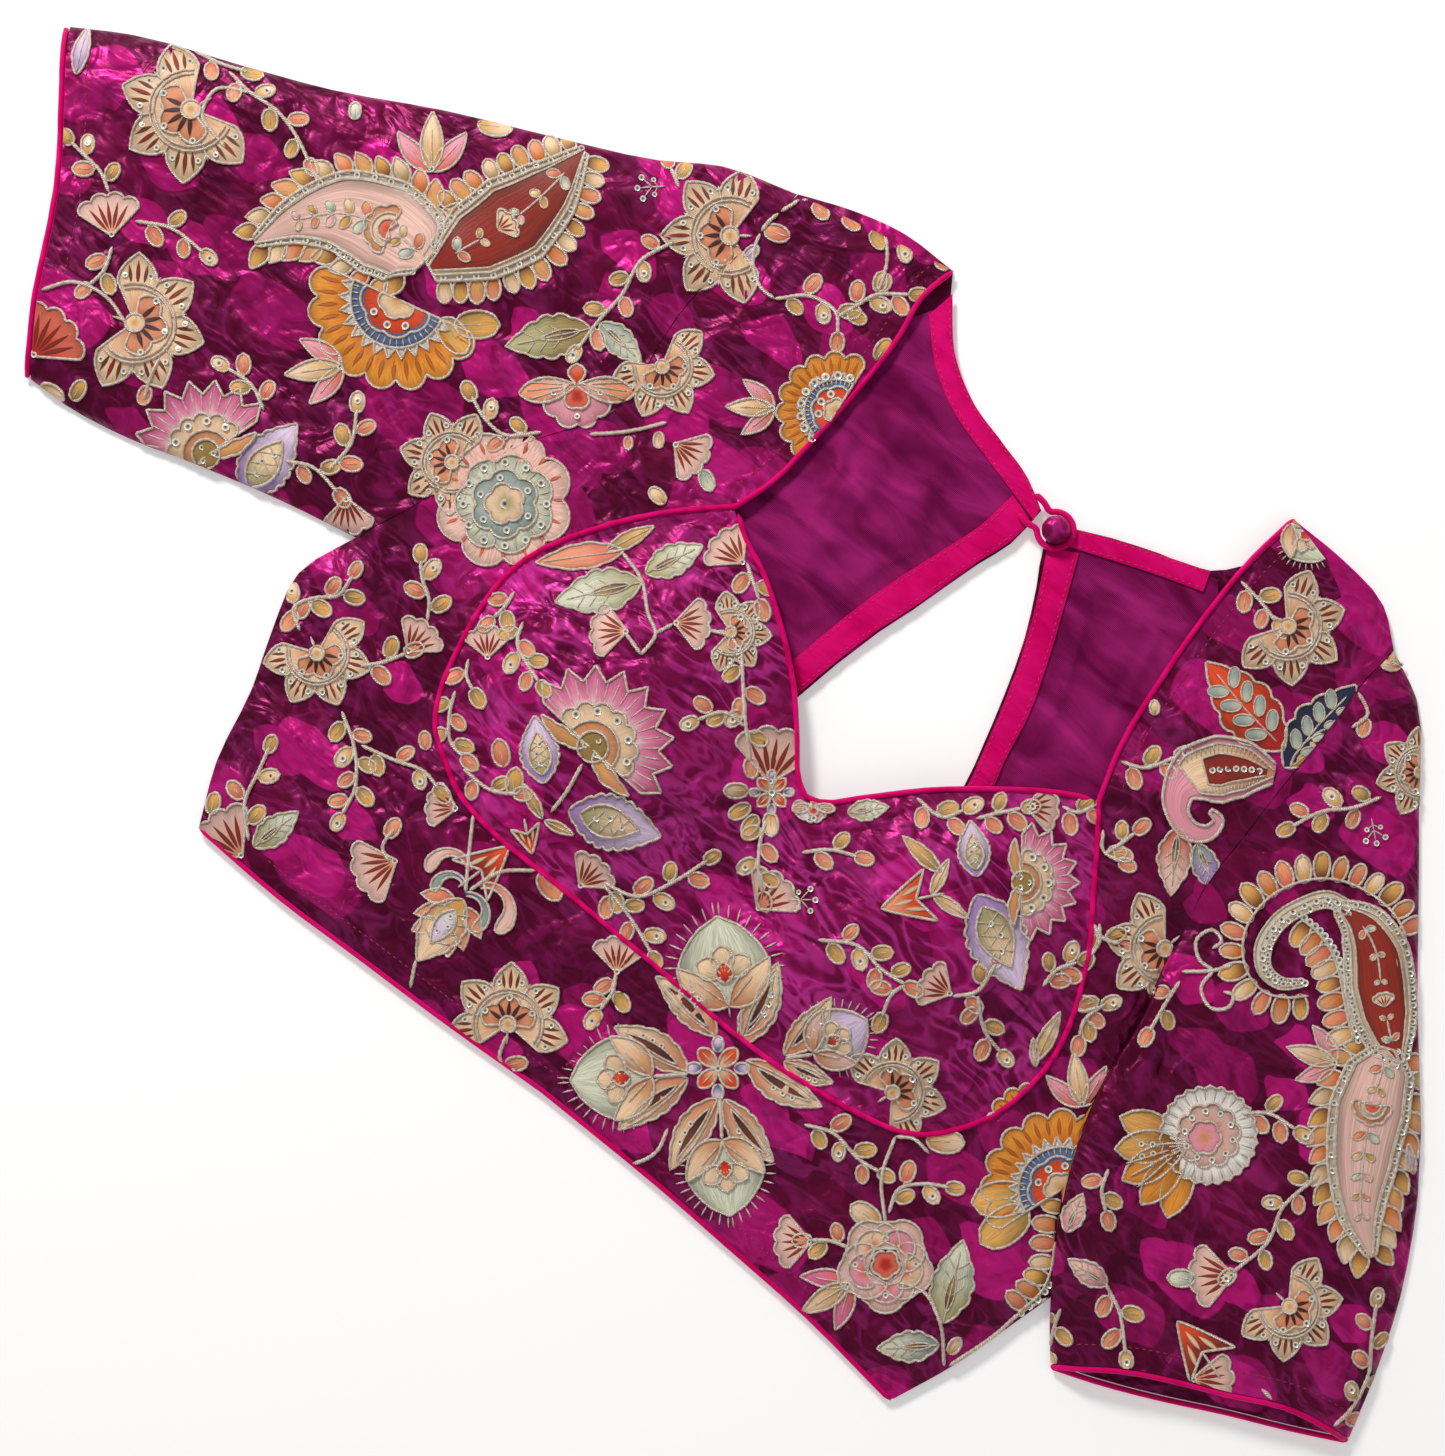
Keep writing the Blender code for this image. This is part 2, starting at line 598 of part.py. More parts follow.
def sleeve(name, top_fold, under_fold, armhole, hem, low_hem, floor, crown):
    """A flattened tube: an upper layer and a floor layer that meet at the two folded edges."""
    top_line, under_line = smooth_line(top_fold, 3), smooth_line(under_fold, 3)
    side = np.sign(armhole[0, 0])
    along, across = np.meshgrid(np.linspace(0, 1, SLEEVE_ROWS), ACROSS, indexing="ij")
    layers = []
    for end, height, turn in ((hem, crown, -1), (low_hem, floor, 1)):
        plan = coons(top_line, under_line, armhole, smooth_line(end, 3), along, across)
        plan[0, :, 0] += side * SEAM_SHIFT
        outside = height(plan)
        wall = WALL * slope_factor(height, plan)
        layers.append((plan, outside, outside + turn * wall))
    (upper, face, under_face), (lower, table_side, over_table) = layers
    middle = table_side + FOLD_MIDDLE
    rings = []
    for inset, high, low in ((0, face, table_side), (WALL, under_face, over_table)):
        plan = upper.copy()
        width = np.linalg.norm(plan[:, -1] - plan[:, 0], axis=1)[:, None]
        inward = (plan[:, -1] - plan[:, 0]) / width
        plan[:, 0] += inward * inset
        plan[:, -1] -= inward * inset
        high[:, 0], high[:, -1] = middle[:, 0], middle[:, -1]
        top_half = np.concatenate([plan, high[..., None]], axis=-1)
        low_half = np.concatenate([lower, low[..., None]], axis=-1)[:, -2:0:-1]
        rings.append(np.concatenate([top_half, low_half], axis=1))
    tube(name, rings[0], rings[1], cloth_colour("velvet"))
    return rings[0][-1]


def flat_floor(plan):
    """The left sleeve lies on the table."""
    return np.zeros(plan.shape[:-1])


def right_floor(plan):
    """The right sleeve climbs from its armhole over the blouse's side."""
    return covered_side(plan) * ease(nearest(RIGHT_ARMHOLE, plan)[0] / SEAM_CLIMB)


def left_crown(plan):
    """The left sleeve's face, a little fuller towards its mouth."""
    distance = np.min([nearest(line, plan)[0] for line in ROLLED_LINES], axis=0)
    fullness = 4.2 * ease((nearest(LEFT_ARMHOLE, plan)[0] - 30) / 170)
    return face_top(plan) + fullness * roll(distance / 3)


RIGHT_FOLD_LINES = (smooth_line(RIGHT_SLEEVE_TOP, 3), smooth_line(RIGHT_SLEEVE_UNDER, 3))
RIGHT_MOUTH = smooth_line(RIGHT_SLEEVE_HEM, 3)


def right_crown(plan):
    """The right sleeve's face above its own floor, level with the front along the armhole."""
    distance = np.min([nearest(line, plan)[0] for line in RIGHT_FOLD_LINES], axis=0)
    fullness = 5.0 * ease(1 - nearest(RIGHT_MOUTH, plan)[0] / 110)
    full = 3.4 + folds(SLEEVE_FOLDS, plan) + fullness * roll(distance / 2.5)
    own = right_floor(plan) + EDGE_TOP + np.maximum(full, 0.4) * roll(distance)
    weight = ease(nearest(RIGHT_ARMHOLE, plan)[0] / SEAM_CLIMB)
    return face_top(plan) * (1 - weight) + own * weight


def hem_cord(name, ring):
    """The piping round a sleeve's mouth, just outside the last ring of the sleeve."""
    count = len(ACROSS)
    keep = [0, 2, 3, 4, 5, 6, 7, 8, 9, 10, 11, 12, 14]
    upper = ring[keep].copy()
    lower = ring[count:][::-1]
    lower = lower[[2, 3, 4, 5, 6, 7, 8, 9, 10]].copy()
    lower = lower[::-1]
    outward = np.array([upper[-1][1] - upper[0][1], upper[0][0] - upper[-1][0]])
    outward /= np.linalg.norm(outward)
    middle = ring[:, :2].mean(axis=0)
    centre = np.array([0.0, 250.0])
    if (middle - centre) @ outward < 0:
        outward = -outward
    upper[1:-1, 2] = np.maximum(upper[1:-1, 2] - 0.5, 4.1)
    upper[[0, -1], 2] = 2.65
    lower[:, 2] = PIPING_RADIUS + 0.05
    path = np.vstack([upper, lower])
    path[:, :2] += outward * (PIPING_CLEAR + 0.15)
    ends = upper[0, :2] - upper[-1, :2]
    ends /= np.linalg.norm(ends)
    path[0, :2] += ends * 0.4
    path[len(upper) - 1, :2] -= ends * 0.4
    cord(name, path, PIPING_RADIUS, cloth_colour("pink"), closed=True)


def build_sleeves():
    """The two sleeves and the piping round their mouths."""
    ring = sleeve("sleeve_left", LEFT_SLEEVE_TOP, LEFT_SLEEVE_UNDER, LEFT_ARMHOLE,
                  LEFT_SLEEVE_HEM, LEFT_SLEEVE_HEM, flat_floor, left_crown)
    hem_cord("piping_sleeve_left", ring)
    ring = sleeve("sleeve_right", RIGHT_SLEEVE_TOP, RIGHT_SLEEVE_UNDER, RIGHT_ARMHOLE,
                  RIGHT_SLEEVE_HEM, RIGHT_SLEEVE_LOW_HEM, right_floor, right_crown)
    hem_cord("piping_sleeve_right", ring)


def build_back():
    """The back: one flat wall with the keyhole open at the neck."""
    left_seam, right_seam = at(LEFT_ARMHOLE, ACROSS), at(RIGHT_ARMHOLE, ACROSS)
    left_seam[:, 0] += SEAM_SHIFT
    right_seam[:, 0] -= SEAM_SHIFT
    outline = np.vstack([left_seam, LEFT_OUTER[len(LEFT_ARMHOLE):],
                         RIGHT_OUTER[len(RIGHT_ARMHOLE):][::-1][1:], right_seam[::-1],
                         smooth_line(RIGHT_SHOULDER, 2)[::-1][1:-1],
                         smooth_line(BACK_NECK_RIGHT, 2)[::-1],
                         smooth_line(KEYHOLE, 2)[::-1][1:-1],
                         smooth_line(BACK_NECK_LEFT, 2)[::-1],
                         smooth_line(LEFT_SHOULDER, 2)[1:-1]])
    count = len(outline)
    points = np.vstack([np.column_stack([outline, np.zeros(count)]),
                        np.column_stack([outline, np.full(count, BACK_WALL)])])
    faces = [tuple(range(count)), tuple(range(2 * count - 1, count - 1, -1))]
    faces += [(k, (k + 1) % count, (k + 1) % count + count, k + count) for k in range(count)]
    made = new_object("back_panel", points, faces, cloth_colour("velvet"), smooth=False)
    face_outwards(made)


def strip(name, rows, names, floor, wall, colour, waves=None, columns=2, steps=2):
    """A flat piece between two named edges, lying at one height or in low waves."""
    first = smooth_line(pairs(names[0], names[1], rows), steps)
    second = smooth_line(pairs(names[2], names[3], rows), steps)
    plan = ruled(first, second, columns)
    bottom = np.full(plan.shape[:2], floor)
    if waves is not None:
        bottom = bottom + folds(waves, plan)
    panel(name, plan, bottom + wall, bottom, cloth_colour(colour))


def build_inside():
    """The lining and the facings that show through the neck."""
    lining = ("strap_x", "strap_y", "keyhole_x", "keyhole_y")
    for name, rows in (("lining_left", LINING_LEFT), ("lining_right", LINING_RIGHT)):
        strip(name, rows, lining, LINING_FLOOR, LINING_WALL, "lining", LINING_WAVES, 7, 1)
    facing = ("edge_x", "edge_y", "inner_x", "inner_y")
    for name, rows in (("neck_facing_left", NECK_FACING_LEFT),
                       ("neck_facing_right", NECK_FACING_RIGHT),
                       ("keyhole_facing_left", KEYHOLE_FACING_LEFT),
                       ("keyhole_facing_right", KEYHOLE_FACING_RIGHT)):
        strip(name, rows, facing, FACING_FLOOR, FACING_WALL, "pink", columns=1)


def build_closure():
    """The covered button on the right back corner and the cord loop that holds it."""
    seat = FACING_FLOOR + FACING_WALL + SEAM_GAP
    work = bmesh.new()
    bmesh.ops.create_uvsphere(work, u_segments=14, v_segments=8, radius=1)
    points = np.array([v.co for v in work.verts])
    faces = [[v.index for v in face.verts] for face in work.faces]
    work.free()
    points = points * (BUTTON_RADIUS, BUTTON_RADIUS, BUTTON_HALF_HEIGHT)
    points += (*BUTTON_AT, seat + BUTTON_HALF_HEIGHT)
    new_object("button", points, faces, cloth_colour("button"))
    around = BUTTON_RADIUS + 1.7
    turn = np.radians(np.linspace(140, -140, 15))
    arc = np.column_stack([BUTTON_AT[0] + around * np.cos(turn),
                           BUTTON_AT[1] + around * np.sin(turn)])
    path = np.vstack([[(-6.5, 333.4), (-1.5, 333.0)], arc, [(-2.0, 321.6), (-7.0, 322.6)]])
    height = seat + LOOP_RADIUS
    path = np.column_stack([path, np.full(len(path), height)])
    cord("button_loop", path, LOOP_RADIUS, cloth_colour("pink"))


def build_piping():
    """Piping round the straps and cups, along the neckline and along the front hem."""
    outline = np.vstack([LEFT_INNER, RIGHT_INNER[::-1][1:]])
    outline = at(outline, np.linspace(0, 1, 91))
    height = np.maximum(face_top(outline) + 0.1, EDGE_FLOOR + PIPING_RADIUS)
    cord("piping_cups", np.column_stack([outline, height]), PIPING_RADIUS, cloth_colour("pink"))
    neck = np.vstack([smooth_line(NECKLINE_LEFT, 2), smooth_line(NECKLINE_RIGHT, 2)[::-1][1:]])
    neck = at(neck, np.linspace(0.013, 0.987, 33))
    cord("piping_neckline", np.column_stack([neck, face_top(neck) + 0.1]), PIPING_RADIUS,
         cloth_colour("pink"))
    hem = np.vstack([LEFT_OUTER[LEFT_HEM_CORNER * EDGE_STEPS:],
                     RIGHT_OUTER[RIGHT_HEM_CORNER * EDGE_STEPS:][::-1][1:]])
    hem = at(hem, np.linspace(0, 1, 25))
    height = np.full(len(hem), BACK_WALL + SEAM_GAP + PIPING_RADIUS + 0.05)
    cord("piping_hem", np.column_stack([hem, height]), PIPING_RADIUS, cloth_colour("pink"))


def main():
    """Builds every piece of the blouse."""
    for old in list(bpy.data.objects):
        bpy.data.objects.remove(old, do_unlink=True)
    build_back()
    build_inside()
    build_fronts()
    build_bustier()
    build_sleeves()
    build_piping()
    build_closure()


main()
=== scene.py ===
# %% [markdown]
# # A velvet choli blouse, laid flat
# The blouse lies on its back, front up. The solids already have its true shape, so this lesson
# dresses them: finer cloth, a shadow-printed satin velvet, and hundreds of embroidered shapes.
# Everything is worked out in plan, in millimetres, and lifted onto the cloth at the end, because
# a flat garment is easiest to think of as a drawing with a height.

# %% Load the frame
import math

import bpy
import numpy as np
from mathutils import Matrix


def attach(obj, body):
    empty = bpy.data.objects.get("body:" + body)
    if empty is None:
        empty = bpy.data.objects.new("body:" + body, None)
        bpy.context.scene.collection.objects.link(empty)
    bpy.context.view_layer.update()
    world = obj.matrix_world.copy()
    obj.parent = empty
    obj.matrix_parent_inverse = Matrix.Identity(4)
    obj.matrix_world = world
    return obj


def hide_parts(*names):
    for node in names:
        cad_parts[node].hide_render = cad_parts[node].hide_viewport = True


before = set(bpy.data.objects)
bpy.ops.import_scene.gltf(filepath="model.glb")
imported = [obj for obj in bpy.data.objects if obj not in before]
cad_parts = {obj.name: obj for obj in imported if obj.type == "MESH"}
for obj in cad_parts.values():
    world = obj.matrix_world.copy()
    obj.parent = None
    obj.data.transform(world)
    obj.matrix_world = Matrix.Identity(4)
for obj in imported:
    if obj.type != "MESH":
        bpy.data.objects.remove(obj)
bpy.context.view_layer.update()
MM = 0.001
REST_POINT_Y = 60.0      # the frame's origin lies this far above the hem line, in millimetres

# %% [markdown]
# ## Camera, floor and light
# The photograph looks straight down on the blouse, which is turned clockwise in the picture.
# A long lens far away keeps it flat; the camera is rolled instead of turning the garment.

# %% Camera
VIEW_CENTRE = (-45.0, 173.8)      # plan point at the middle of the picture
VIEW_TURN = 39.64                 # degrees between the picture's right and the blouse's right
VIEW_WIDTH = 611.5                # millimetres across the picture's longer side
FOCAL = 85.0
SENSOR = 36.0
FACE_HEIGHT = 0.006               # metres from the table to the flat of the blouse

camera_data = bpy.data.cameras.new("camera")
camera_data.lens = FOCAL
camera_data.sensor_width = SENSOR
camera_distance = VIEW_WIDTH * MM * FOCAL / SENSOR
camera_data.clip_end = 20
camera = bpy.data.objects.new("camera", camera_data)
camera.location = (VIEW_CENTRE[0] * MM, (VIEW_CENTRE[1] - REST_POINT_Y) * MM,
                   camera_distance + FACE_HEIGHT)
camera.rotation_euler = (0, 0, math.radians(VIEW_TURN))
bpy.context.collection.objects.link(camera)
bpy.context.scene.camera = camera
print(f"camera {camera_distance:.3f} m above the cloth")

# %% Floor and lights
floor_data = bpy.data.meshes.new("floor")
FLOOR_HALF = 3.0                  # metres
FLOOR_TOP = -0.0004
floor_data.from_pydata([(x * FLOOR_HALF, y * FLOOR_HALF, FLOOR_TOP)
                        for x, y in ((-1, -1), (1, -1), (1, 1), (-1, 1))], [], [(0, 1, 2, 3)])
floor = bpy.data.objects.new("floor", floor_data)
bpy.context.collection.objects.link(floor)
floor_look = bpy.data.materials.new("floor_paper")
floor_look.use_nodes = True
paper = floor_look.node_tree.nodes["Principled BSDF"]
paper.inputs["Base Color"].default_value = (0.94, 0.94, 0.945, 1)
paper.inputs["Emission Color"].default_value = (1, 1, 1, 1)
paper.inputs["Emission Strength"].default_value = 0.26
paper.inputs["Roughness"].default_value = 0.9
floor_data.materials.append(floor_look)


LIGHT_AIM = (-0.05, 0.1, 0)


def area_light(name, place, size, power, colour=(1, 1, 1)):
    """A soft square light at a place in metres, turned to face the blouse."""
    data = bpy.data.lights.new(name, "AREA")
    data.shape = "SQUARE"
    data.size = size
    data.energy = power
    data.color = colour
    made = bpy.data.objects.new(name, data)
    made.location = place
    away = np.array(place) - np.array(LIGHT_AIM)
    across = math.hypot(away[0], away[1])
    made.rotation_euler = (math.atan2(across, away[2]), 0,
                           math.atan2(away[1], away[0]) + math.pi / 2)
    bpy.context.collection.objects.link(made)


area_light("key", (-1.52, 0.92, 1.28), 0.38, 33, (1.0, 0.98, 0.95))
area_light("fill", (1.2, -0.9, 1.9), 2.2, 6)
world = bpy.data.worlds.new("studio")
bpy.context.scene.world = world
world.use_nodes = True
world.node_tree.nodes["Background"].inputs["Color"].default_value = (1, 1, 1, 1)
world.node_tree.nodes["Background"].inputs["Strength"].default_value = 0.33
bpy.context.scene.view_settings.view_transform = "Standard"

# %% [markdown]
# ## The drawing tools
# Outlines are smooth curves through a few points that a pattern cutter would mark. Between two
# outlines a grid of plan points is ruled, or four outlines are filled with a Coons patch: the
# two ruled surfaces added, less the flat one counted twice.

# %% Curves and grids


def table(names, *rows):
    """The columns of a table of sizes, each under its own name."""
    return dict(zip(names.split(), np.array(rows, float).T))


def pairs(first, second, columns):
    """The two named columns as plan points."""
    return np.stack([columns[first], columns[second]], axis=-1)


def smooth_line(points, steps, corners=()):
    """A cubic Hermite curve through the points whose slope at each is the mean of the slopes
    beside it, weighted by the other side's length; one-sided at a corner."""
    points = np.asarray(points, float)
    span = np.diff(points, axis=0)
    length = np.linalg.norm(span, axis=1)[:, None]
    slope = span / length
    middle = (slope[:-1] * length[1:] + slope[1:] * length[:-1]) / (length[1:] + length[:-1])
    leaving = np.vstack([slope[:1], middle])
    arriving = np.vstack([middle, slope[-1:]])
    for corner in corners:
        leaving[corner] = slope[corner]
        arriving[corner - 1] = slope[corner - 1]
    share = (np.arange(steps) / steps)[None, :, None]
    start, end = points[:-1, None], points[1:, None]
    out, into = (leaving * length)[:, None], (arriving * length)[:, None]
    curve = (start * (1 + 2 * share) * (1 - share) ** 2 + out * share * (1 - share) ** 2
             + end * share ** 2 * (3 - 2 * share) + into * share ** 2 * (share - 1))
    return np.vstack([curve.reshape(-1, 2), points[-1:]])


def shares_of(line):
    """How far along its own length each point of a line lies, from 0 to 1."""
    step = np.linalg.norm(np.diff(line, axis=0), axis=1)
    return np.concatenate([[0.0], np.cumsum(step)]) / step.sum()


def at(line, share):
    """Points at the given shares of a line's length."""
    along = shares_of(line)
    return np.stack([np.interp(share, along, line[:, k]) for k in range(line.shape[1])], axis=-1)


def unit(vectors):
    """Each vector over its own length."""
    return vectors / np.linalg.norm(vectors, axis=-1)[..., None]


def leftward(ahead):
    """Plan directions turned a quarter turn to the left."""
    return np.stack([-ahead[..., 1], ahead[..., 0]], axis=-1)


def compass(turn):
    """Plan directions at turns in radians."""
    return np.stack([np.cos(turn), np.sin(turn)], axis=-1)


def heading(line, share, reach):
    """The way a line points, in degrees, between the points a reach before and after a share."""
    ahead = at(line, share + reach) - at(line, share - reach)
    return np.degrees(np.arctan2(ahead[:, 1], ahead[:, 0]))


def length_of(line):
    """The length of a line of straight runs."""
    return float(np.linalg.norm(np.diff(line, axis=0), axis=1).sum())


def nearest(line, plan):
    """Distance from each plan point to a line, the nearest point, and its share along it."""
    flat = plan.reshape(-1, 2)
    start, run = line[:-1], np.diff(line, axis=0)
    best = np.full(len(flat), 1e9)
    foot = np.zeros_like(flat)
    share = np.zeros(len(flat))
    along = shares_of(line)
    for k in range(len(start)):
        offset = flat - start[k]
        part = np.clip((offset @ run[k]) / (run[k] @ run[k]), 0, 1)
        point = start[k] + part[:, None] * run[k]
        gap = np.hypot(*(flat - point).T)
        closer = gap < best
        best[closer] = gap[closer]
        foot[closer] = point[closer]
        share[closer] = (along[k] + part * (along[k + 1] - along[k]))[closer]
    shape = plan.shape[:-1]
    return best.reshape(shape), foot.reshape(plan.shape), share.reshape(shape)


def inside(outline, plan):
    """Whether each plan point is inside an outline: an odd number of edges lie to its right."""
    flat = plan.reshape(-1, 2)
    odd = np.zeros(len(flat), bool)
    for (x0, y0), (x1, y1) in zip(outline, np.roll(outline, -1, axis=0)):
        if y0 != y1:
            crosses = (y0 > flat[:, 1]) != (y1 > flat[:, 1])
            odd ^= crosses & (x0 + (flat[:, 1] - y0) * (x1 - x0) / (y1 - y0) > flat[:, 0])
    return odd.reshape(plan.shape[:-1])


def keep_clear(plan, line, distance):
    """Moves plan points that lie too near a line straight away from it."""
    gap, foot, _ = nearest(line, plan)
    away = (plan - foot) / np.maximum(gap, 0.01)[..., None]
    return plan + away * np.clip(distance - gap, 0, None)[..., None]


def ease(share):
    """Rises smoothly from 0 to 1: 3t^2 - 2t^3."""
    share = np.clip(share, 0, 1)
    return share * share * (3 - 2 * share)


START_REACH = 8


def ruled(first, second, across, start=None):
    """Straight rows between two lines; a curved start bends only the rows near it."""
    along = np.linspace(0, 1, len(first))[:, None, None]
    t = np.asarray(across)[None, :, None]
    grid = first[:, None] * (1 - t) + second[:, None] * t
    if start is not None:
        curve = at(start, t[0, :, 0])[None]
        grid = grid + (1 - along) ** START_REACH * (curve - curve[:, :1] * (1 - t)
                                                  - curve[:, -1:] * t)
    return grid


def coons(first, second, start, end, along, across):
    """Fills four edge lines: rows between the sides, plus columns between the ends, less flat."""
    s, t = along[..., None], across[..., None]
    side = at(first, along) * (1 - t) + at(second, along) * t
    ends = at(start, across) * (1 - s) + at(end, across) * s
    flat = ((start[0] * (1 - t) + start[-1] * t) * (1 - s)
            + (end[0] * (1 - t) + end[-1] * t) * s)
    return side + ends - flat


circle = smooth_line([(1, 0), (0, 1), (-1, 0), (0, -1), (1, 0)], 8)
print("a test circle of", len(circle), "points is", round(length_of(circle), 2), "round")

# %% [markdown]
# ## The pattern pieces
# Each front is one wall from the shoulder, down the strap and the side, and along the lower band
# to the centre seam. Its table gives, for each section across it, the piped inner line and the
# outer line. These are the same sizes that the solids were cut to, all in millimetres.

# %% Sizes and outlines
CENTRE_X = -6.0
WALL = 1.3
BACK_WALL = 1.2
SEAM_GAP = 0.3
CENTRE_GAP = 0.04
SEAM_SHIFT = 0.2
PIPING_RADIUS = 1.2
PIPING_CLEAR = 0.9
BASE_TOP = 6.0
EDGE_TOP = 3.1
EDGE_FLOOR = 1.6
ROLL = 13.0
FOLD_MIDDLE = 1.6
FACING_FLOOR = 2.8
FACING_WALL = 1.0
SLEEVE_CLEAR = 1.6
SEAM_CLIMB = 28.0
BUTTON_AT = (9.6, 327.0)
BUTTON_RADIUS = 6.0
BUTTON_HALF_HEIGHT = 4.0
LOOP_RADIUS = 1.4

FRONT_LEFT = table(
    "inner_x inner_y outer_x outer_y",
    (-93, 384, -164, 367), (-96, 366, -165, 347), (-93, 349, -167, 329), (-92, 319, -170, 304),
    (-93, 290, -168, 279), (-95, 266, -164, 258), (-100, 249, -168, 240),
    (-123, 226, -183, 217), (-140, 203, -197, 186), (-154, 175, -205, 161),
    (-156, 160, -215, 137), (-154, 140, -224, 110), (-151, 126, -217, 84),
    (-146, 110, -208, 60), (-138, 97, -200, 27), (-126, 89, -188, 1), (-112, 82, -142, 0),
    (-96, 79, -104, 2), (-60, 79, -62, 4), (-6, 79, -6, 8))
LEFT_UNDERARM = 10
LEFT_HEM_CORNER = 15
LEFT_STRAP_CORNER = 6
FRONT_RIGHT = table(
    "inner_x inner_y outer_x outer_y",
    (84, 395, 152, 379), (81, 371, 150, 362), (81, 342, 151, 338), (84, 305, 152, 305),
    (89, 273, 153, 272), (96, 251, 154, 250), (106, 238, 158, 236), (120, 218, 162, 221),
    (131, 203, 167, 204), (139, 188, 175, 184), (146, 172, 190, 160), (150, 157, 213, 137),
    (150, 139, 219, 105), (146, 121, 215, 81), (139, 108, 210, 62), (130, 97, 202, 32),
    (118, 90, 190, 1), (104, 86, 140, 6), (83, 82, 95, 7.5), (60, 79, 60, 8.5),
    (-6, 79, -6, 8))
RIGHT_UNDERARM = 11
RIGHT_SEAM_END = 6
RIGHT_HEM_CORNER = 16
RIGHT_STRAP_CORNER = 5

LEFT_SHOULDER = smooth_line(((-93, 384), (-118, 383), (-140, 377), (-164, 367)), 3)
RIGHT_SHOULDER = smooth_line(((84, 395), (111, 395), (136, 391), (152, 379)), 3)
NECK_LEFT = smooth_line(((-100, 249), (-88, 241), (-74, 235), (-59, 226), (-45, 216), (-32, 205),
                         (-18, 190), (-6, 177), (0, 174)), 3)
NECK_RIGHT = smooth_line(((96, 251), (81, 243), (58, 226), (37, 208), (18, 188), (6, 176),
                          (0, 174)), 3)
LEFT_TOP = smooth_line(((-164, 367), (-196, 356), (-218, 341), (-257, 321), (-302, 299),
                        (-343, 276), (-378, 260), (-423, 240), (-445, 226)), 3)
LEFT_UNDER = smooth_line(((-215, 137), (-249, 129), (-286, 118), (-316, 108), (-345, 102),
                          (-363, 101)), 3)
LEFT_MOUTH = smooth_line(((-445, 226), (-423, 198), (-404, 172), (-382, 132), (-363, 101)), 3)
RIGHT_TOP = smooth_line(((152, 379), (172, 370), (200, 338), (253, 273), (307, 208), (328, 171),
                         (341, 138), (349, 112)), 3)
RIGHT_UNDER = smooth_line(((158, 236), (162, 214), (168, 194), (173, 158), (191, 113), (214, 77),
                           (232, 56)), 3)
RIGHT_MOUTH = smooth_line(((349, 112), (331, 110), (316, 106), (295, 95), (278, 87), (254, 74),
                           (232, 56)), 3)
RIGHT_LOW_MOUTH = smooth_line(((349, 112), (326, 100), (301, 88), (276, 75), (250, 63),
                               (232, 56)), 3)

EDGE_STEPS = 3


def edge_lines(rows, corners, strap_corner):
    """The smooth piped line and outer line of a front."""
    return (smooth_line(pairs("inner_x", "inner_y", rows), EDGE_STEPS, (strap_corner,)),
            smooth_line(pairs("outer_x", "outer_y", rows), EDGE_STEPS, corners))


LEFT_INNER, LEFT_OUTER = edge_lines(FRONT_LEFT, (LEFT_UNDERARM, LEFT_HEM_CORNER),
                                    LEFT_STRAP_CORNER)
RIGHT_INNER, RIGHT_OUTER = edge_lines(FRONT_RIGHT, (RIGHT_UNDERARM, RIGHT_HEM_CORNER),
                                      RIGHT_STRAP_CORNER)
LEFT_ARMHOLE = LEFT_OUTER[:LEFT_UNDERARM * EDGE_STEPS + 1]
RIGHT_ARMHOLE = RIGHT_OUTER[:RIGHT_SEAM_END * EDGE_STEPS + 1]
BODY_RIGHT = RIGHT_OUTER[RIGHT_SEAM_END * EDGE_STEPS:]
NECK = np.vstack([NECK_LEFT, NECK_RIGHT[::-1][1:]])
LEFT_STRAP, LEFT_RIM = np.split(LEFT_INNER, [LEFT_STRAP_CORNER * EDGE_STEPS])
RIGHT_STRAP, RIGHT_RIM = np.split(RIGHT_INNER, [RIGHT_STRAP_CORNER * EDGE_STEPS])
HEM_LEFT = LEFT_OUTER[LEFT_HEM_CORNER * EDGE_STEPS:]
HEM_RIGHT = RIGHT_OUTER[RIGHT_HEM_CORNER * EDGE_STEPS:]

ROLLED_LINES = (
    np.vstack([LEFT_SHOULDER, LEFT_TOP[1:]]),
    np.vstack([LEFT_UNDER[::-1], LEFT_OUTER[LEFT_UNDERARM * EDGE_STEPS + 1:],
               BODY_RIGHT[::-1][1:]]),
    np.vstack([RIGHT_SHOULDER, RIGHT_TOP[1:]]))
BODY_OUTLINE = np.vstack([LEFT_OUTER, RIGHT_OUTER[::-1][1:], RIGHT_SHOULDER[::-1][1:-1],
                          LEFT_SHOULDER])
CUP_RIM = np.vstack([LEFT_RIM, RIGHT_RIM[::-1][1:]])
print("hem to hem round the front:", round(length_of(BODY_OUTLINE)), "mm")

# %% [markdown]
# ## The height of the cloth
# One function gives the height of the face over any plan point: a base, two padded domes that
# fall off as exp(-r^2.6), soft ridges and troughs, and a quarter-sine roll down to the outline.
# The large folds are the solids' own. The small ones are added here: puckers along the seams,
# gathers at the side, and the crush that satin velvet always has.

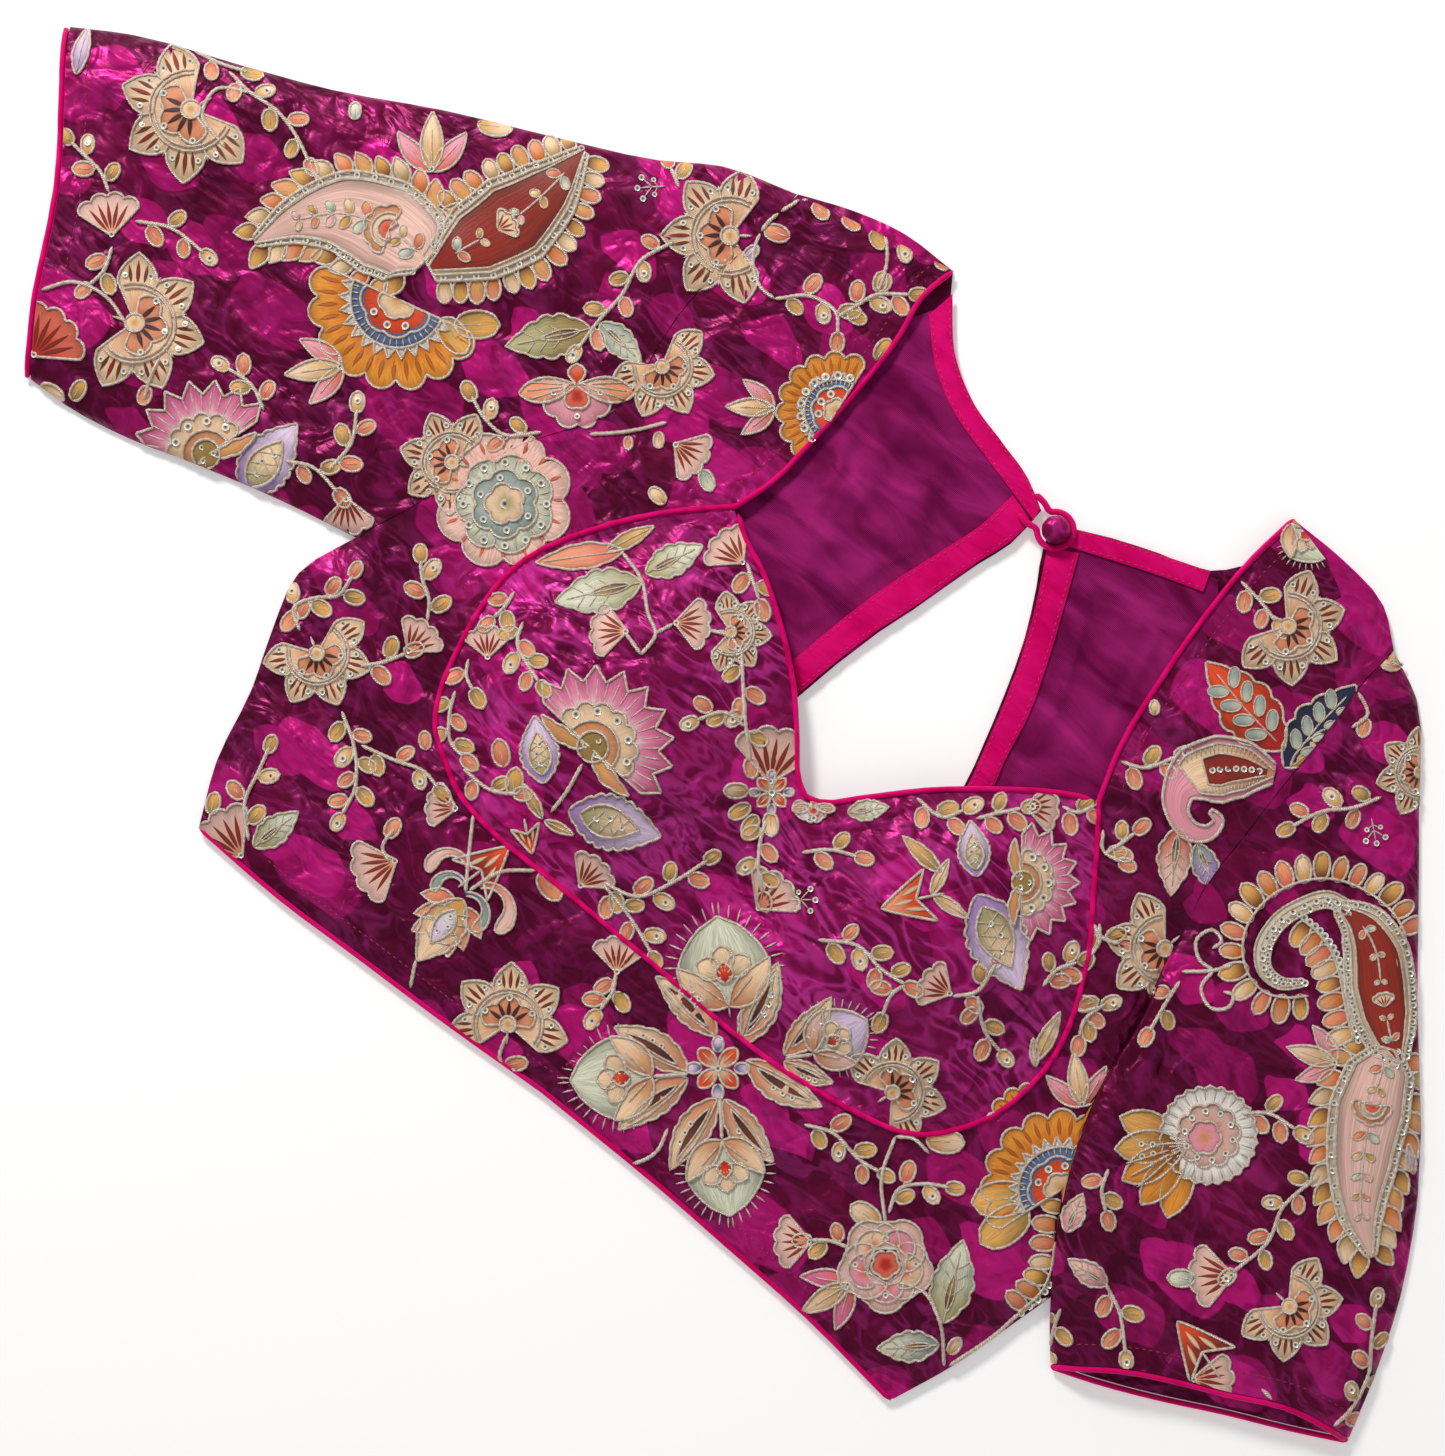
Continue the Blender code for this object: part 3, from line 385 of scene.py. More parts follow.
# %% Large forms
CUPS = table("x y radius_x radius_y rise",
             (-74, 160, 60, 62, 20), (70, 164, 58, 62, 19))
FRONT_FOLDS = table(
    "x0 y0 x1 y1 width rise",
    (-56, 130, 46, 114, 9, -4.5), (-40, 148, 2, 134, 8, 2.2), (-2, 170, -34, 118, 8, -1.8),
    (3, 168, 34, 122, 8, 1.6), (-152, 96, -20, 84, 9, -1.6), (20, 84, 136, 92, 9, -1.5),
    (-222, 148, -160, 138, 8, 2.6), (-224, 122, -160, 118, 8, 2.2), (-216, 86, -158, 96, 9, 2.0),
    (-150, 64, -60, 44, 12, 2.2), (-30, 60, 40, 34, 12, 1.8), (70, 64, 160, 38, 12, 2.4),
    (160, 160, 204, 112, 10, 2.0), (-158, 352, -104, 338, 9, 2.4), (-162, 322, -100, 300, 10, 2.8),
    (-160, 276, -104, 262, 9, 2.2), (90, 360, 146, 346, 10, 2.4), (92, 312, 148, 322, 10, 2.6),
    (102, 268, 150, 280, 9, 1.8), (-408, 206, -309, 176, 13, -2.6), (-430, 226, -330, 226, 14, 3.0),
    (-380, 132, -300, 140, 13, 3.2), (-300, 270, -210, 246, 15, 3.4),
    (-290, 220, -200, 180, 12, -2.6), (-262, 160, -214, 148, 12, 3.4),
    (-196, 330, -176, 250, 12, 2.6), (-240, 306, -190, 340, 11, 2.2))
SLEEVE_FOLDS = table(
    "x0 y0 x1 y1 width rise",
    (168, 352, 176, 296, 11, 3.4), (184, 330, 216, 262, 12, -1.8), (178, 246, 208, 176, 12, 3.2),
    (196, 140, 232, 88, 11, 2.6), (240, 262, 296, 186, 16, 2.4), (230, 150, 268, 100, 13, -1.6),
    (290, 150, 306, 106, 13, 3.4))


def folds(rows, plan):
    """Sum of ridges: a bell exp(-(d/width)^2) across each line, dying out at its two ends."""
    total = np.zeros(plan.shape[:-1])
    for x0, y0, x1, y1, width, rise in zip(*rows.values()):
        start, run = np.array([x0, y0]), np.array([x1 - x0, y1 - y0])
        share = ((plan - start) @ run) / (run @ run)
        foot = start + np.clip(share, 0, 1)[..., None] * run
        across = np.linalg.norm(plan - foot, axis=-1) / width
        total += rise * np.exp(-across ** 2) * np.sin(math.pi * np.clip(share, 0.08, 0.92)) ** 0.7
    return total


def cups(plan):
    """Two padded domes, each falling off as exp(-r^2.6) of the distance over its radii."""
    total = np.zeros(plan.shape[:-1])
    for x, y, radius_x, radius_y, rise in zip(*CUPS.values()):
        reach = np.hypot((plan[..., 0] - x) / radius_x, (plan[..., 1] - y) / radius_y)
        total += rise * np.exp(-reach ** 2.6)
    return total


def rim_gap(plan):
    """Distance to the nearest line where the whole face rolls down."""
    return np.min([nearest(line, plan)[0] for line in ROLLED_LINES], axis=0)


def roll(distance):
    """The share of the full height at a distance from a rolled edge: a quarter sine."""
    return np.sin(np.clip(distance / ROLL, 0, 1) * math.pi / 2)


def large_top(plan, gap):
    """The solids' own face."""
    full = np.maximum(BASE_TOP + cups(plan) + folds(FRONT_FOLDS, plan), EDGE_TOP)
    return EDGE_TOP + (full - EDGE_TOP) * roll(gap)


# %% Small creases
SMALL_FOLDS = table(
    "x0 y0 x1 y1 width rise",
    (-222, 132, -168, 127, 3.2, 1.3), (-223, 114, -162, 108, 3.0, -1.0),
    (-222, 104, -164, 101, 3.2, 1.3), (-214, 76, -160, 82, 3.4, 1.1),
    (-206, 50, -150, 64, 4.0, 1.2), (-198, 26, -148, 40, 4.2, 0.9),
    (-118, 30, -70, 24, 4.5, 1.0), (-60, 62, -16, 56, 4.0, 0.9),
    (-190, 196, -150, 188, 3.6, 1.4), (-182, 214, -138, 208, 3.6, 1.2),
    (-176, 232, -124, 236, 4.2, 1.5), (-166, 250, -112, 248, 3.6, -1.1),
    (-160, 292, -108, 284, 4.0, 1.4), (-166, 312, -112, 318, 4.2, -1.5),
    (-164, 340, -104, 330, 4.0, 1.3), (-152, 366, -110, 356, 4.0, 1.2),
    (96, 374, 140, 372, 4.4, 1.2), (90, 336, 146, 332, 4.0, -1.3), (90, 296, 148, 300, 4.0, 1.3),
    (98, 262, 148, 262, 3.8, 1.2), (112, 244, 154, 240, 4.0, 1.2),
    (158, 196, 142, 182, 4.0, 1.0), (164, 60, 206, 78, 4.4, 1.5), (150, 40, 200, 40, 4.4, 1.2),
    (60, 58, 120, 52, 4.2, -0.9), (96, 22, 160, 24, 4.4, 0.9), (30, 20, 70, 26, 4.0, 0.8),
    (-48, 136, 6, 129, 3.0, -1.8), (-10, 127, 44, 120, 3.2, -1.6), (-34, 142, 10, 141, 3.0, 1.2),
    (-12, 164, -44, 122, 3.4, -1.0), (-22, 160, -66, 128, 3.6, 0.8), (6, 160, 24, 118, 3.2, -0.9),
    (-140, 128, -104, 100, 4.4, 1.0), (-128, 112, -84, 96, 4.0, -0.9),
    (96, 108, 134, 128, 4.4, 1.0), (-130, 190, -118, 150, 4.4, 0.9), (118, 196, 124, 150, 4.2, 0.9),
    (-420, 196, -360, 186, 5.0, 1.2), (-392, 240, -344, 252, 5.0, 1.3),
    (-330, 256, -262, 268, 5.0, -1.2), (-350, 150, -290, 160, 5.0, -1.3),
    (-300, 200, -236, 196, 4.6, 1.3), (-280, 148, -236, 152, 4.2, 1.3),
    (-256, 230, -214, 246, 4.6, -1.2), (-240, 196, -204, 172, 4.2, 1.4),
    (-232, 176, -210, 160, 3.6, -1.2), (-226, 286, -186, 300, 4.6, 1.2),
    (-204, 318, -178, 296, 4.2, -1.3), (-190, 270, -172, 250, 4.0, 1.3))
SLEEVE_SMALL_FOLDS = table(
    "x0 y0 x1 y1 width rise",
    (160, 366, 168, 340, 4.0, 1.4), (164, 330, 186, 336, 4.4, -1.2), (160, 300, 186, 276, 4.4, 1.3),
    (164, 262, 190, 252, 4.2, 1.2), (180, 208, 196, 164, 4.2, -1.3), (188, 190, 210, 146, 4.2, 1.2),
    (206, 128, 236, 92, 4.2, -1.2), (220, 240, 262, 190, 5.4, 1.1), (240, 150, 284, 110, 5.2, 1.2),
    (262, 200, 300, 158, 5.4, -1.0), (300, 190, 330, 140, 5.0, 1.0), (214, 316, 240, 280, 5.0, 1.1))


def grain(plan, size, turn=0.0, stretch=1.0, seed=1):
    """Smooth noise from -1 to 1: random heights on a lattice, eased between its points."""
    cells = 64
    heights = np.random.default_rng(seed).uniform(-1, 1, (cells, cells))
    c, s = math.cos(math.radians(turn)), math.sin(math.radians(turn))
    u = (plan[..., 0] * c + plan[..., 1] * s) / (size * stretch) + 0.5 * cells
    v = (plan[..., 1] * c - plan[..., 0] * s) / size + 0.5 * cells
    i, j = np.floor(u).astype(int), np.floor(v).astype(int)
    fu, fv = ease(u - i), ease(v - j)
    near = heights[i % cells, j % cells] * (1 - fu) + heights[(i + 1) % cells, j % cells] * fu
    far = (heights[i % cells, (j + 1) % cells] * (1 - fu)
           + heights[(i + 1) % cells, (j + 1) % cells] * fu)
    return near * (1 - fv) + far * fv


def puckers(line, plan, pitch, depth, reach):
    """Small waves along a seam that die out as exp(-d/reach) away from it."""
    gap, _, share = nearest(line, plan)
    phase = share * length_of(line) / pitch + 0.5 * np.sin(share * 37.0)
    return depth * np.exp(-gap / reach) * np.sin(2 * math.pi * phase)


def crush(plan):
    """The soft crush of satin velvet: long, low ripples mostly across the cloth."""
    return (0.5 * grain(plan, 9, 8, 2.8, seed=3) + 0.2 * grain(plan, 4.2, -14, 3.2, seed=5)
            + 0.8 * grain(plan, 22, 30, 1.5, seed=7))


def small_top(plan, gap, small):
    """All the small creases, fading out at the rolled rim."""
    total = 1.35 * folds(small, plan) + crush(plan)
    total += puckers(CUP_RIM, plan, 8.5, 0.55, 7.0)
    total += puckers(NECK, plan, 10.0, 0.3, 5.0)
    total += sum(puckers(line, plan, 11.0, 0.6, 8.0) for line in (LEFT_ARMHOLE, RIGHT_ARMHOLE))
    return total * ease(gap / 9)


def face_top(plan):
    """Height of the front's face and of the left sleeve's, small creases and all."""
    gap = rim_gap(plan)
    return large_top(plan, gap) + small_top(plan, gap, SMALL_FOLDS)


def covered_side(plan):
    """Floor of the right sleeve: just above the blouse's side, and down to the table beside it."""
    gap = rim_gap(plan)
    over = large_top(plan, gap) + SLEEVE_CLEAR
    beside = (EDGE_TOP + SLEEVE_CLEAR) * (1 - ease(nearest(BODY_RIGHT, plan)[0] / 14.0))
    return np.where(inside(BODY_OUTLINE, plan), over, beside)


def flat_floor(plan):
    """The left sleeve lies on the table."""
    return np.zeros(plan.shape[:-1])


def right_floor(plan):
    """The right sleeve climbs from its armhole over the blouse's side."""
    return covered_side(plan) * ease(nearest(RIGHT_ARMHOLE, plan)[0] / SEAM_CLIMB)


def left_crown(plan):
    """The left sleeve's face, a little fuller towards its mouth."""
    fullness = 4.2 * ease((nearest(LEFT_ARMHOLE, plan)[0] - 30) / 170)
    return face_top(plan) + fullness * roll(rim_gap(plan) / 3)


def right_crown(plan):
    """The right sleeve's face above its own floor, level with the front along the armhole."""
    gap = np.minimum(nearest(RIGHT_TOP, plan)[0], nearest(RIGHT_UNDER, plan)[0])
    fullness = 5.0 * ease(1 - nearest(RIGHT_MOUTH, plan)[0] / 110)
    full = 3.4 + folds(SLEEVE_FOLDS, plan) + fullness * roll(gap / 2.5)
    own = right_floor(plan) + EDGE_TOP + np.maximum(full, 0.4) * roll(gap)
    own = own + (folds(SLEEVE_SMALL_FOLDS, plan) + crush(plan)) * ease(gap / 9)
    weight = ease(nearest(RIGHT_ARMHOLE, plan)[0] / SEAM_CLIMB)
    return face_top(plan) * (1 - weight) + own * weight


ROUND = 3.2


def rounded(crown, floor_of, fold_lines, plan):
    """The face near a folded edge follows a quarter ellipse up from the fold's middle."""
    gap = np.minimum(nearest(fold_lines[0], plan)[0], nearest(fold_lines[1], plan)[0])
    arc = np.sqrt(1 - (1 - np.clip(gap / ROUND, 0, 1)) ** 2)
    middle = floor_of(plan) + FOLD_MIDDLE
    return middle + (crown(plan) - middle) * arc


def left_face(plan):
    """The left sleeve's upper layer, rounded at its folds."""
    return rounded(left_crown, flat_floor, (LEFT_TOP, LEFT_UNDER), plan)


def right_face(plan):
    """The right sleeve's upper layer, rounded at its folds."""
    return rounded(right_crown, right_floor, (RIGHT_TOP, RIGHT_UNDER), plan)


probe = np.array([[-74.0, 160.0], [0.0, 180.0], [-300.0, 200.0], [-100.0, 40.0]])
print("heights in mm at the cup, neck, sleeve and band:", np.round(face_top(probe), 1))

# %% [markdown]
# ## Turning grids into cloth
# A piece of cloth is a closed wall: the grid of its face, the same grid one wall lower, and a
# rim. A sleeve is the same idea wrapped round, with rings of points that run over the top and
# back along the table. The arrays go into the mesh whole, with foreach_set.

# %% Mesh makers


def grid_faces(rows, columns, closed=False):
    """Four corners for each cell of a grid of points, joined round where it is closed."""
    last = columns if closed else columns - 1
    r, c = np.meshgrid(np.arange(rows - 1), np.arange(last), indexing="ij")
    nxt = (c + 1) % columns
    return np.stack([r * columns + c, r * columns + nxt, (r + 1) * columns + nxt,
                     (r + 1) * columns + c], axis=-1).reshape(-1, 4)


def mesh_object(name, points, faces, look, colours=None, uvs=None, sharp=50):
    """Puts plan points in millimetres and four-cornered faces into an object at the origin."""
    mesh = bpy.data.meshes.new(name)
    points = (np.asarray(points, float) - (0, REST_POINT_Y, 0)) * MM
    mesh.vertices.add(len(points))
    mesh.vertices.foreach_set("co", points.ravel())
    mesh.loops.add(len(faces) * 4)
    mesh.loops.foreach_set("vertex_index", faces.ravel())
    mesh.polygons.add(len(faces))
    mesh.polygons.foreach_set("loop_start", np.arange(len(faces)) * 4)
    mesh.update(calc_edges=True)
    mesh.validate()
    if colours is not None:
        layer = mesh.color_attributes.new("tint", "FLOAT_COLOR", "POINT")
        layer.data.foreach_set("color", np.column_stack([colours, np.ones(len(colours))]).ravel())
    if uvs is not None:
        corner = np.zeros(len(mesh.loops), int)
        mesh.loops.foreach_get("vertex_index", corner)
        mesh.uv_layers.new(name="thread").data.foreach_set("uv", uvs[corner].ravel())
    mesh.materials.append(look)
    mesh.shade_smooth()
    mesh.set_sharp_from_angle(angle=math.radians(sharp))
    made = bpy.data.objects.new(name, mesh)
    bpy.context.collection.objects.link(made)
    return made


def outward(points, faces):
    """The faces turned so that the closed body they bound has a positive volume."""
    a, b, c, d = (points[faces[:, k]] for k in range(4))
    volume = (np.cross(a, b) * c).sum() + (np.cross(a, c) * d).sum()
    return faces if volume > 0 else faces[:, ::-1]


def rim_of(rows, columns):
    """The border points of a grid, in order round it."""
    r, c = np.arange(rows), np.arange(columns)
    return np.concatenate([c, r[1:] * columns + columns - 1,
                           (rows - 1) * columns + c[-2::-1], r[-2:0:-1] * columns])


def cloth_wall(name, plan, top, bottom, look):
    """The closed wall between one plan grid at two heights."""
    rows, columns = plan.shape[:2]
    count = rows * columns
    flat = plan.reshape(-1, 2)
    points = np.vstack([np.column_stack([flat, top.ravel()]),
                        np.column_stack([flat, bottom.ravel()])])
    skin = grid_faces(rows, columns)
    rim = rim_of(rows, columns)
    nxt = np.roll(rim, -1)
    walls = np.stack([rim, rim + count, nxt + count, nxt], axis=-1)
    faces = outward(points, np.vstack([skin, skin[:, ::-1] + count, walls]))
    return mesh_object(name, points, faces, look)


def slope_factor(height, plan):
    """How much more of a sloping wall an upright line passes through: sqrt(1 + slope^2)."""
    step = 0.5
    east = (height(plan + (step, 0)) - height(plan - (step, 0))) / (2 * step)
    north = (height(plan + (0, step)) - height(plan - (0, step))) / (2 * step)
    return np.minimum(np.sqrt(1 + east ** 2 + north ** 2), 1.5)


def cord_rings(path, radius, sides):
    """Rings round a path: cos and sin of the turn along its level side and its upward normal."""
    ahead = unit(np.gradient(path, axis=0))
    side = np.cross(ahead, (0.0, 0.0, 1.0))
    side /= np.maximum(np.linalg.norm(side, axis=1), 1e-6)[:, None]
    up = np.cross(side, ahead)
    turn = np.arange(sides) * 2 * math.pi / sides
    radius = np.broadcast_to(radius, len(path))[:, None, None]
    return path[:, None] + radius * (np.cos(turn)[None, :, None] * side[:, None]
                                     + np.sin(turn)[None, :, None] * up[:, None])


def dress(made, slot, *nodes):
    """The piece rides on the blouse and stands for its solids, which are hidden; its slot is not
    used.
    """
    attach(made, "root")
    if nodes:
        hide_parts(*nodes)
    print(made.name, len(made.data.polygons), "faces")
    return made


# %% [markdown]
# ## The cloths
# The blouse is a satin-backed velvet in dark wine, with a shadow print of magenta leaves. Pure
# colour is not enough: the satin throws long pink lights along its crush, so the print is mixed
# in nodes, the crush's lights and shade are painted into the base colour as painted highlights and
# painted shade, the sheen is set on the shader, and two scales of bump break the lights up.

# %% Node helpers


def new_look(name, colour, roughness, metallic=0.0, **sockets):
    """A Principled material, with any other sockets by name."""
    look = bpy.data.materials.new(name)
    look.use_nodes = True
    shader = look.node_tree.nodes["Principled BSDF"]
    shader.inputs["Base Color"].default_value = (*colour, 1)
    shader.inputs["Roughness"].default_value = roughness
    shader.inputs["Metallic"].default_value = metallic
    for key, value in sockets.items():
        shader.inputs[key.replace("_", " ")].default_value = value
    look.diffuse_color = (*colour, 1)
    return look, look.node_tree, shader


def add(tree, kind, inputs=None, **settings):
    """A node with its settings, and each input either linked or given a value."""
    made = tree.nodes.new(kind)
    for key, value in settings.items():
        setattr(made, key, value)
    for key, value in (inputs or {}).items():
        if isinstance(value, bpy.types.NodeSocket):
            tree.links.new(value, made.inputs[key])
        else:
            made.inputs[key].default_value = value
    return made


def math_node(tree, operation, first, second=0.0):
    """One sum in nodes."""
    return add(tree, "ShaderNodeMath", {0: first, 1: second}, operation=operation).outputs[0]


def map_range(tree, value, low, high, out_low=0.0, out_high=1.0):
    """A value mapped smoothly from one range to another."""
    made = add(tree, "ShaderNodeMapRange", {"Value": value, "From Min": low, "From Max": high,
                                            "To Min": out_low, "To Max": out_high})
    made.interpolation_type = "SMOOTHSTEP"
    return made.outputs["Result"]


def mix_colour(tree, share, first, second):
    """Two colours mixed by a share."""
    made = add(tree, "ShaderNodeMix", data_type="RGBA")
    for socket, value in ((made.inputs[0], share), (made.inputs[6], first),
                          (made.inputs[7], second)):
        if isinstance(value, bpy.types.NodeSocket):
            tree.links.new(value, socket)
        elif isinstance(value, tuple):
            socket.default_value = (*value, 1)
        else:
            socket.default_value = value
    return made.outputs[2]


def object_place(tree):
    """The place of each point on its own object, in metres."""
    return add(tree, "ShaderNodeTexCoord").outputs["Object"]


def mapped(tree, place, turn, scale):
    """A place turned about the upright axis, in radians, then scaled."""
    return add(tree, "ShaderNodeMapping", {"Vector": place, "Rotation": (0, 0, turn),
                                           "Scale": scale}).outputs[0]


def noise(tree, place, scale, detail, distortion=0.0, output="Fac"):
    """Smooth noise over a place."""
    return add(tree, "ShaderNodeTexNoise", {"Vector": place, "Scale": scale, "Detail": detail,
                                            "Distortion": distortion}).outputs[output]


def bump(tree, height, strength, distance, after=None):
    """A bump node, added to the one before it."""
    inputs = {"Height": height, "Strength": strength, "Distance": distance}
    if after is not None:
        inputs["Normal"] = after
    return add(tree, "ShaderNodeBump", inputs).outputs["Normal"]


# %% Velvet
WINE = (0.070, 0.0022, 0.013)
PLUM = (0.155, 0.0040, 0.036)
MAGENTA = (0.50, 0.008, 0.17)
# The pink of the satin's painted highlights, mixed into the base colour where the crush is high.
PAINTED_HIGHLIGHT_PINK = (0.66, 0.020, 0.32)


def leaf_blots(tree, place, size, turn, slim, share):
    """Printed leaves: Voronoi cells on stretched space. A Minkowski distance gives them points,
    and each cell's own random numbers say whether it is printed and how strongly."""
    turned = mapped(tree, place, math.radians(turn), (1 / size, slim / size, 1 / size))
    bent = add(tree, "ShaderNodeMixRGB", {"Fac": 0.2, "Color1": turned,
                                          "Color2": noise(tree, turned, 1.6, 1.0,
                                                          output="Color")})
    cells = add(tree, "ShaderNodeTexVoronoi", {"Vector": bent.outputs[0], "Scale": 1.25,
                                               "Exponent": 1.5, "Randomness": 0.85},
                voronoi_dimensions="2D", distance="MINKOWSKI")
    oval = map_range(tree, cells.outputs["Distance"], 0.41, 0.38)
    split = add(tree, "ShaderNodeSeparateColor", {"Color": cells.outputs["Color"]})
    kept = map_range(tree, split.outputs[0], 1 - share - 0.01, 1 - share + 0.01)
    tone = map_range(tree, split.outputs[1], 0.2, 0.7, 0.5, 1.0)
    return math_node(tree, "MULTIPLY", math_node(tree, "MULTIPLY", oval, kept), tone)


def velvet_look(name, glow, crease):
    """Wine velvet with a magenta shadow print, and the satin's light and shade painted into its
    base
    colour: painted shade where the crush noise is low, painted pink highlights where it is high.
    Glow shifts the whole cloth towards magenta, and crease is how strongly thin painted highlights
    light up the crests where the satin is crushed: a crest lies where a stretched noise crosses
    one half."""
    look, tree, shader = new_look(name, WINE, 0.3, 0.22, Specular_IOR_Level=0.6,
                                  Sheen_Weight=0.10, Sheen_Roughness=0.3, Anisotropic=0.3)
    shader.inputs["Specular Tint"].default_value = (1.0, 0.16, 0.58, 1)
    shader.inputs["Sheen Tint"].default_value = (1.0, 0.10, 0.45, 1)
    place = object_place(tree)
    blots = None
    for size, turn, slim, share in ((0.046, 20, 1.6, 0.26), (0.038, 80, 1.5, 0.24),
                                    (0.054, 130, 1.7, 0.28), (0.030, 165, 1.4, 0.14)):
        layer = leaf_blots(tree, place, size, turn, slim, share)
        blots = layer if blots is None else math_node(tree, "MAXIMUM", blots, layer)
    cloud = map_range(tree, noise(tree, place, 26.0, 3.0), 0.46, 0.66, 0.0, 0.8)
    warm = mix_colour(tree, glow, mix_colour(tree, cloud, WINE, PLUM), MAGENTA)
    printed = mix_colour(tree, blots, warm, MAGENTA)
    nap = noise(tree, place, 900.0, 2.0)
    crushed = noise(tree, place, 60.0, 1.5, 1.4)
    crinkle = noise(tree, mapped(tree, place, 0.5, (0.42, 1.0, 1.0)), 74.0, 1.5, 1.9)
    off_crest = math_node(tree, "ABSOLUTE", math_node(tree, "SUBTRACT", crinkle, 0.5))
    where = map_range(tree, noise(tree, place, 17.0, 1.0), 0.42, 0.60, crease * 0.35, crease)
    # Painted highlight: thin bright pink lines along the crinkle's crests.
    crest = math_node(tree, "MULTIPLY", map_range(tree, off_crest, 0.10, 0.0), where)
    # Painted shade: the base colour darkens in the crinkle's low troughs.
    painted_hollow_shade = math_node(tree, "MULTIPLY", map_range(tree, crinkle, 0.42, 0.32), where)
    # Painted shade: near-black wine where the crush noise is low.
    dark = mix_colour(tree, map_range(tree, crushed, 0.34, 0.5, 0.4, 0.0), printed,
                      (0.030, 0.0010, 0.006))
    dark = mix_colour(tree, painted_hollow_shade, dark, (0.034, 0.0010, 0.007))
    # Painted highlight: the base colour turns pink where the crush noise is high.
    lit = mix_colour(tree, map_range(tree, crushed, 0.56, 0.70, 0.0, 0.1 + 0.4 * crease), dark, PAINTED_HIGHLIGHT_PINK)
    # The base colour with the painted crest highlights mixed in.
    painted_crush_light = mix_colour(tree, crest, lit, (0.80, 0.060, 0.46))
    tree.links.new(painted_crush_light, shader.inputs["Base Color"])
    streak = noise(tree, mapped(tree, place, 0.12, (0.22, 1.0, 1.0)), 420.0, 3.0, 0.4)
    normal = None
    for height, strength, distance in ((crushed, 0.6, 0.005), (crinkle, 0.5, 0.0035),
                                       (streak, 0.4, 0.0005), (nap, 0.2, 0.0002)):
        normal = bump(tree, height, strength, distance, normal)
    tree.links.new(normal, shader.inputs["Normal"])
    tree.links.new(map_range(tree, streak, 0.3, 0.7, 0.28, 0.44), shader.inputs["Roughness"])
    return look


# The cups' copy is shifted further towards magenta and carries stronger painted highlights than the
# rest.
VELVET = velvet_look("velvet_wine", 0.02, 0.15)
BUSTIER_VELVET = velvet_look("velvet_bustier", 0.26, 0.46)
print("velvet nodes:", len(VELVET.node_tree.nodes))

# %% Lining, silk and button cloth


def woven_look(name, colour, light, scale, roughness, sheen):
    """A plain weave: two crossed wave textures for the bump, and a colour that lightens towards the
    light colour along the crease noise, a painted highlight on the crease crests, darker where the
    two waves are low.
    """
    look, tree, shader = new_look(name, colour, roughness, 0.0, Sheen_Weight=sheen,
                                  Specular_IOR_Level=0.3)
    shader.inputs["Sheen Tint"].default_value = (*light, 1)
    shader.inputs["Specular Tint"].default_value = (*light, 1)
    place = object_place(tree)
    warp, weft = (add(tree, "ShaderNodeTexWave", {"Vector": place, "Scale": scale,
                                                  "Distortion": 1.2, "Detail": 1.0},
                      bands_direction=way).outputs["Fac"] for way in "XY")
    weave = math_node(tree, "MULTIPLY", warp, weft)
    cloud = noise(tree, mapped(tree, place, -0.75, (0.28, 1.0, 1.0)), 75.0, 3.0, 0.7)
    # Painted highlight: the colour lightens where the crease noise is high, and it is darker where
    # the two waves are low.
    shade = math_node(tree, "MULTIPLY", cloud, map_range(tree, weave, 0.0, 0.6, 0.6, 1.0))
    tree.links.new(mix_colour(tree, map_range(tree, shade, 0.2, 0.6), colour, light),
                   shader.inputs["Base Color"])
    crease = bump(tree, cloud, 0.7, 0.004)
    tree.links.new(bump(tree, weave, 0.5, 0.0003, crease), shader.inputs["Normal"])
    return look


LINING_CLOTH = woven_look("lining_cotton", (0.12, 0.003, 0.046), (0.46, 0.022, 0.21), 480.0,
                          0.7, 0.2)
PINK_SILK = woven_look("pink_silk", (0.66, 0.001, 0.12), (0.90, 0.008, 0.22), 520.0, 0.42, 0.3)
BUTTON_CLOTH = velvet_look("button_velvet", 0.1, 0.3)
print("cloths:", LINING_CLOTH.name, PINK_SILK.name, BUTTON_CLOTH.name)

# %% [markdown]
# ## Fronts and cups
# The fronts are ruled between their two lines, with rows every few millimetres. The cups are
# Coons patches inside the neckline, the centre seam and the piped rim.

# %% The two fronts
FINE = 2.0       # millimetres between grid points


def front_panel(name, rows, inner, outer, seam_rows, hem_corner, shoulder, node):
    """Strap, side and lower band in one wall, from the shoulder round to the centre seam."""
    stations = len(rows["inner_x"]) - 1
    fine = np.arange(len(inner)) / EDGE_STEPS
    places = np.linspace(0, stations, int(length_of(outer) / FINE))
    piped, free = (np.stack([np.interp(places, fine, line[:, k]) for k in (0, 1)], axis=-1)
                   for line in (inner, outer))
    width = np.linalg.norm(free - piped, axis=1)[:, None]
    start = piped + (free - piped) * 1.4 * PIPING_CLEAR / width
    across = np.linspace(0, 1, int(width.mean() / FINE))
    plan = ruled(start, free, across, start=shoulder)
    side = np.sign(shoulder[0][0])
    plan[places <= seam_rows, -1, 0] -= side * SEAM_SHIFT
    plan[-1, :, 0] = CENTRE_X + side * CENTRE_GAP / 2
    plan[places >= hem_corner, -1, 1] += PIPING_CLEAR
    plan = keep_clear(plan, inner, PIPING_CLEAR)
    top = face_top(plan)
    bottom = np.maximum(top - WALL * slope_factor(face_top, plan), EDGE_FLOOR)
    return dress(cloth_wall(name, plan, top, bottom, VELVET), "velvet", node)


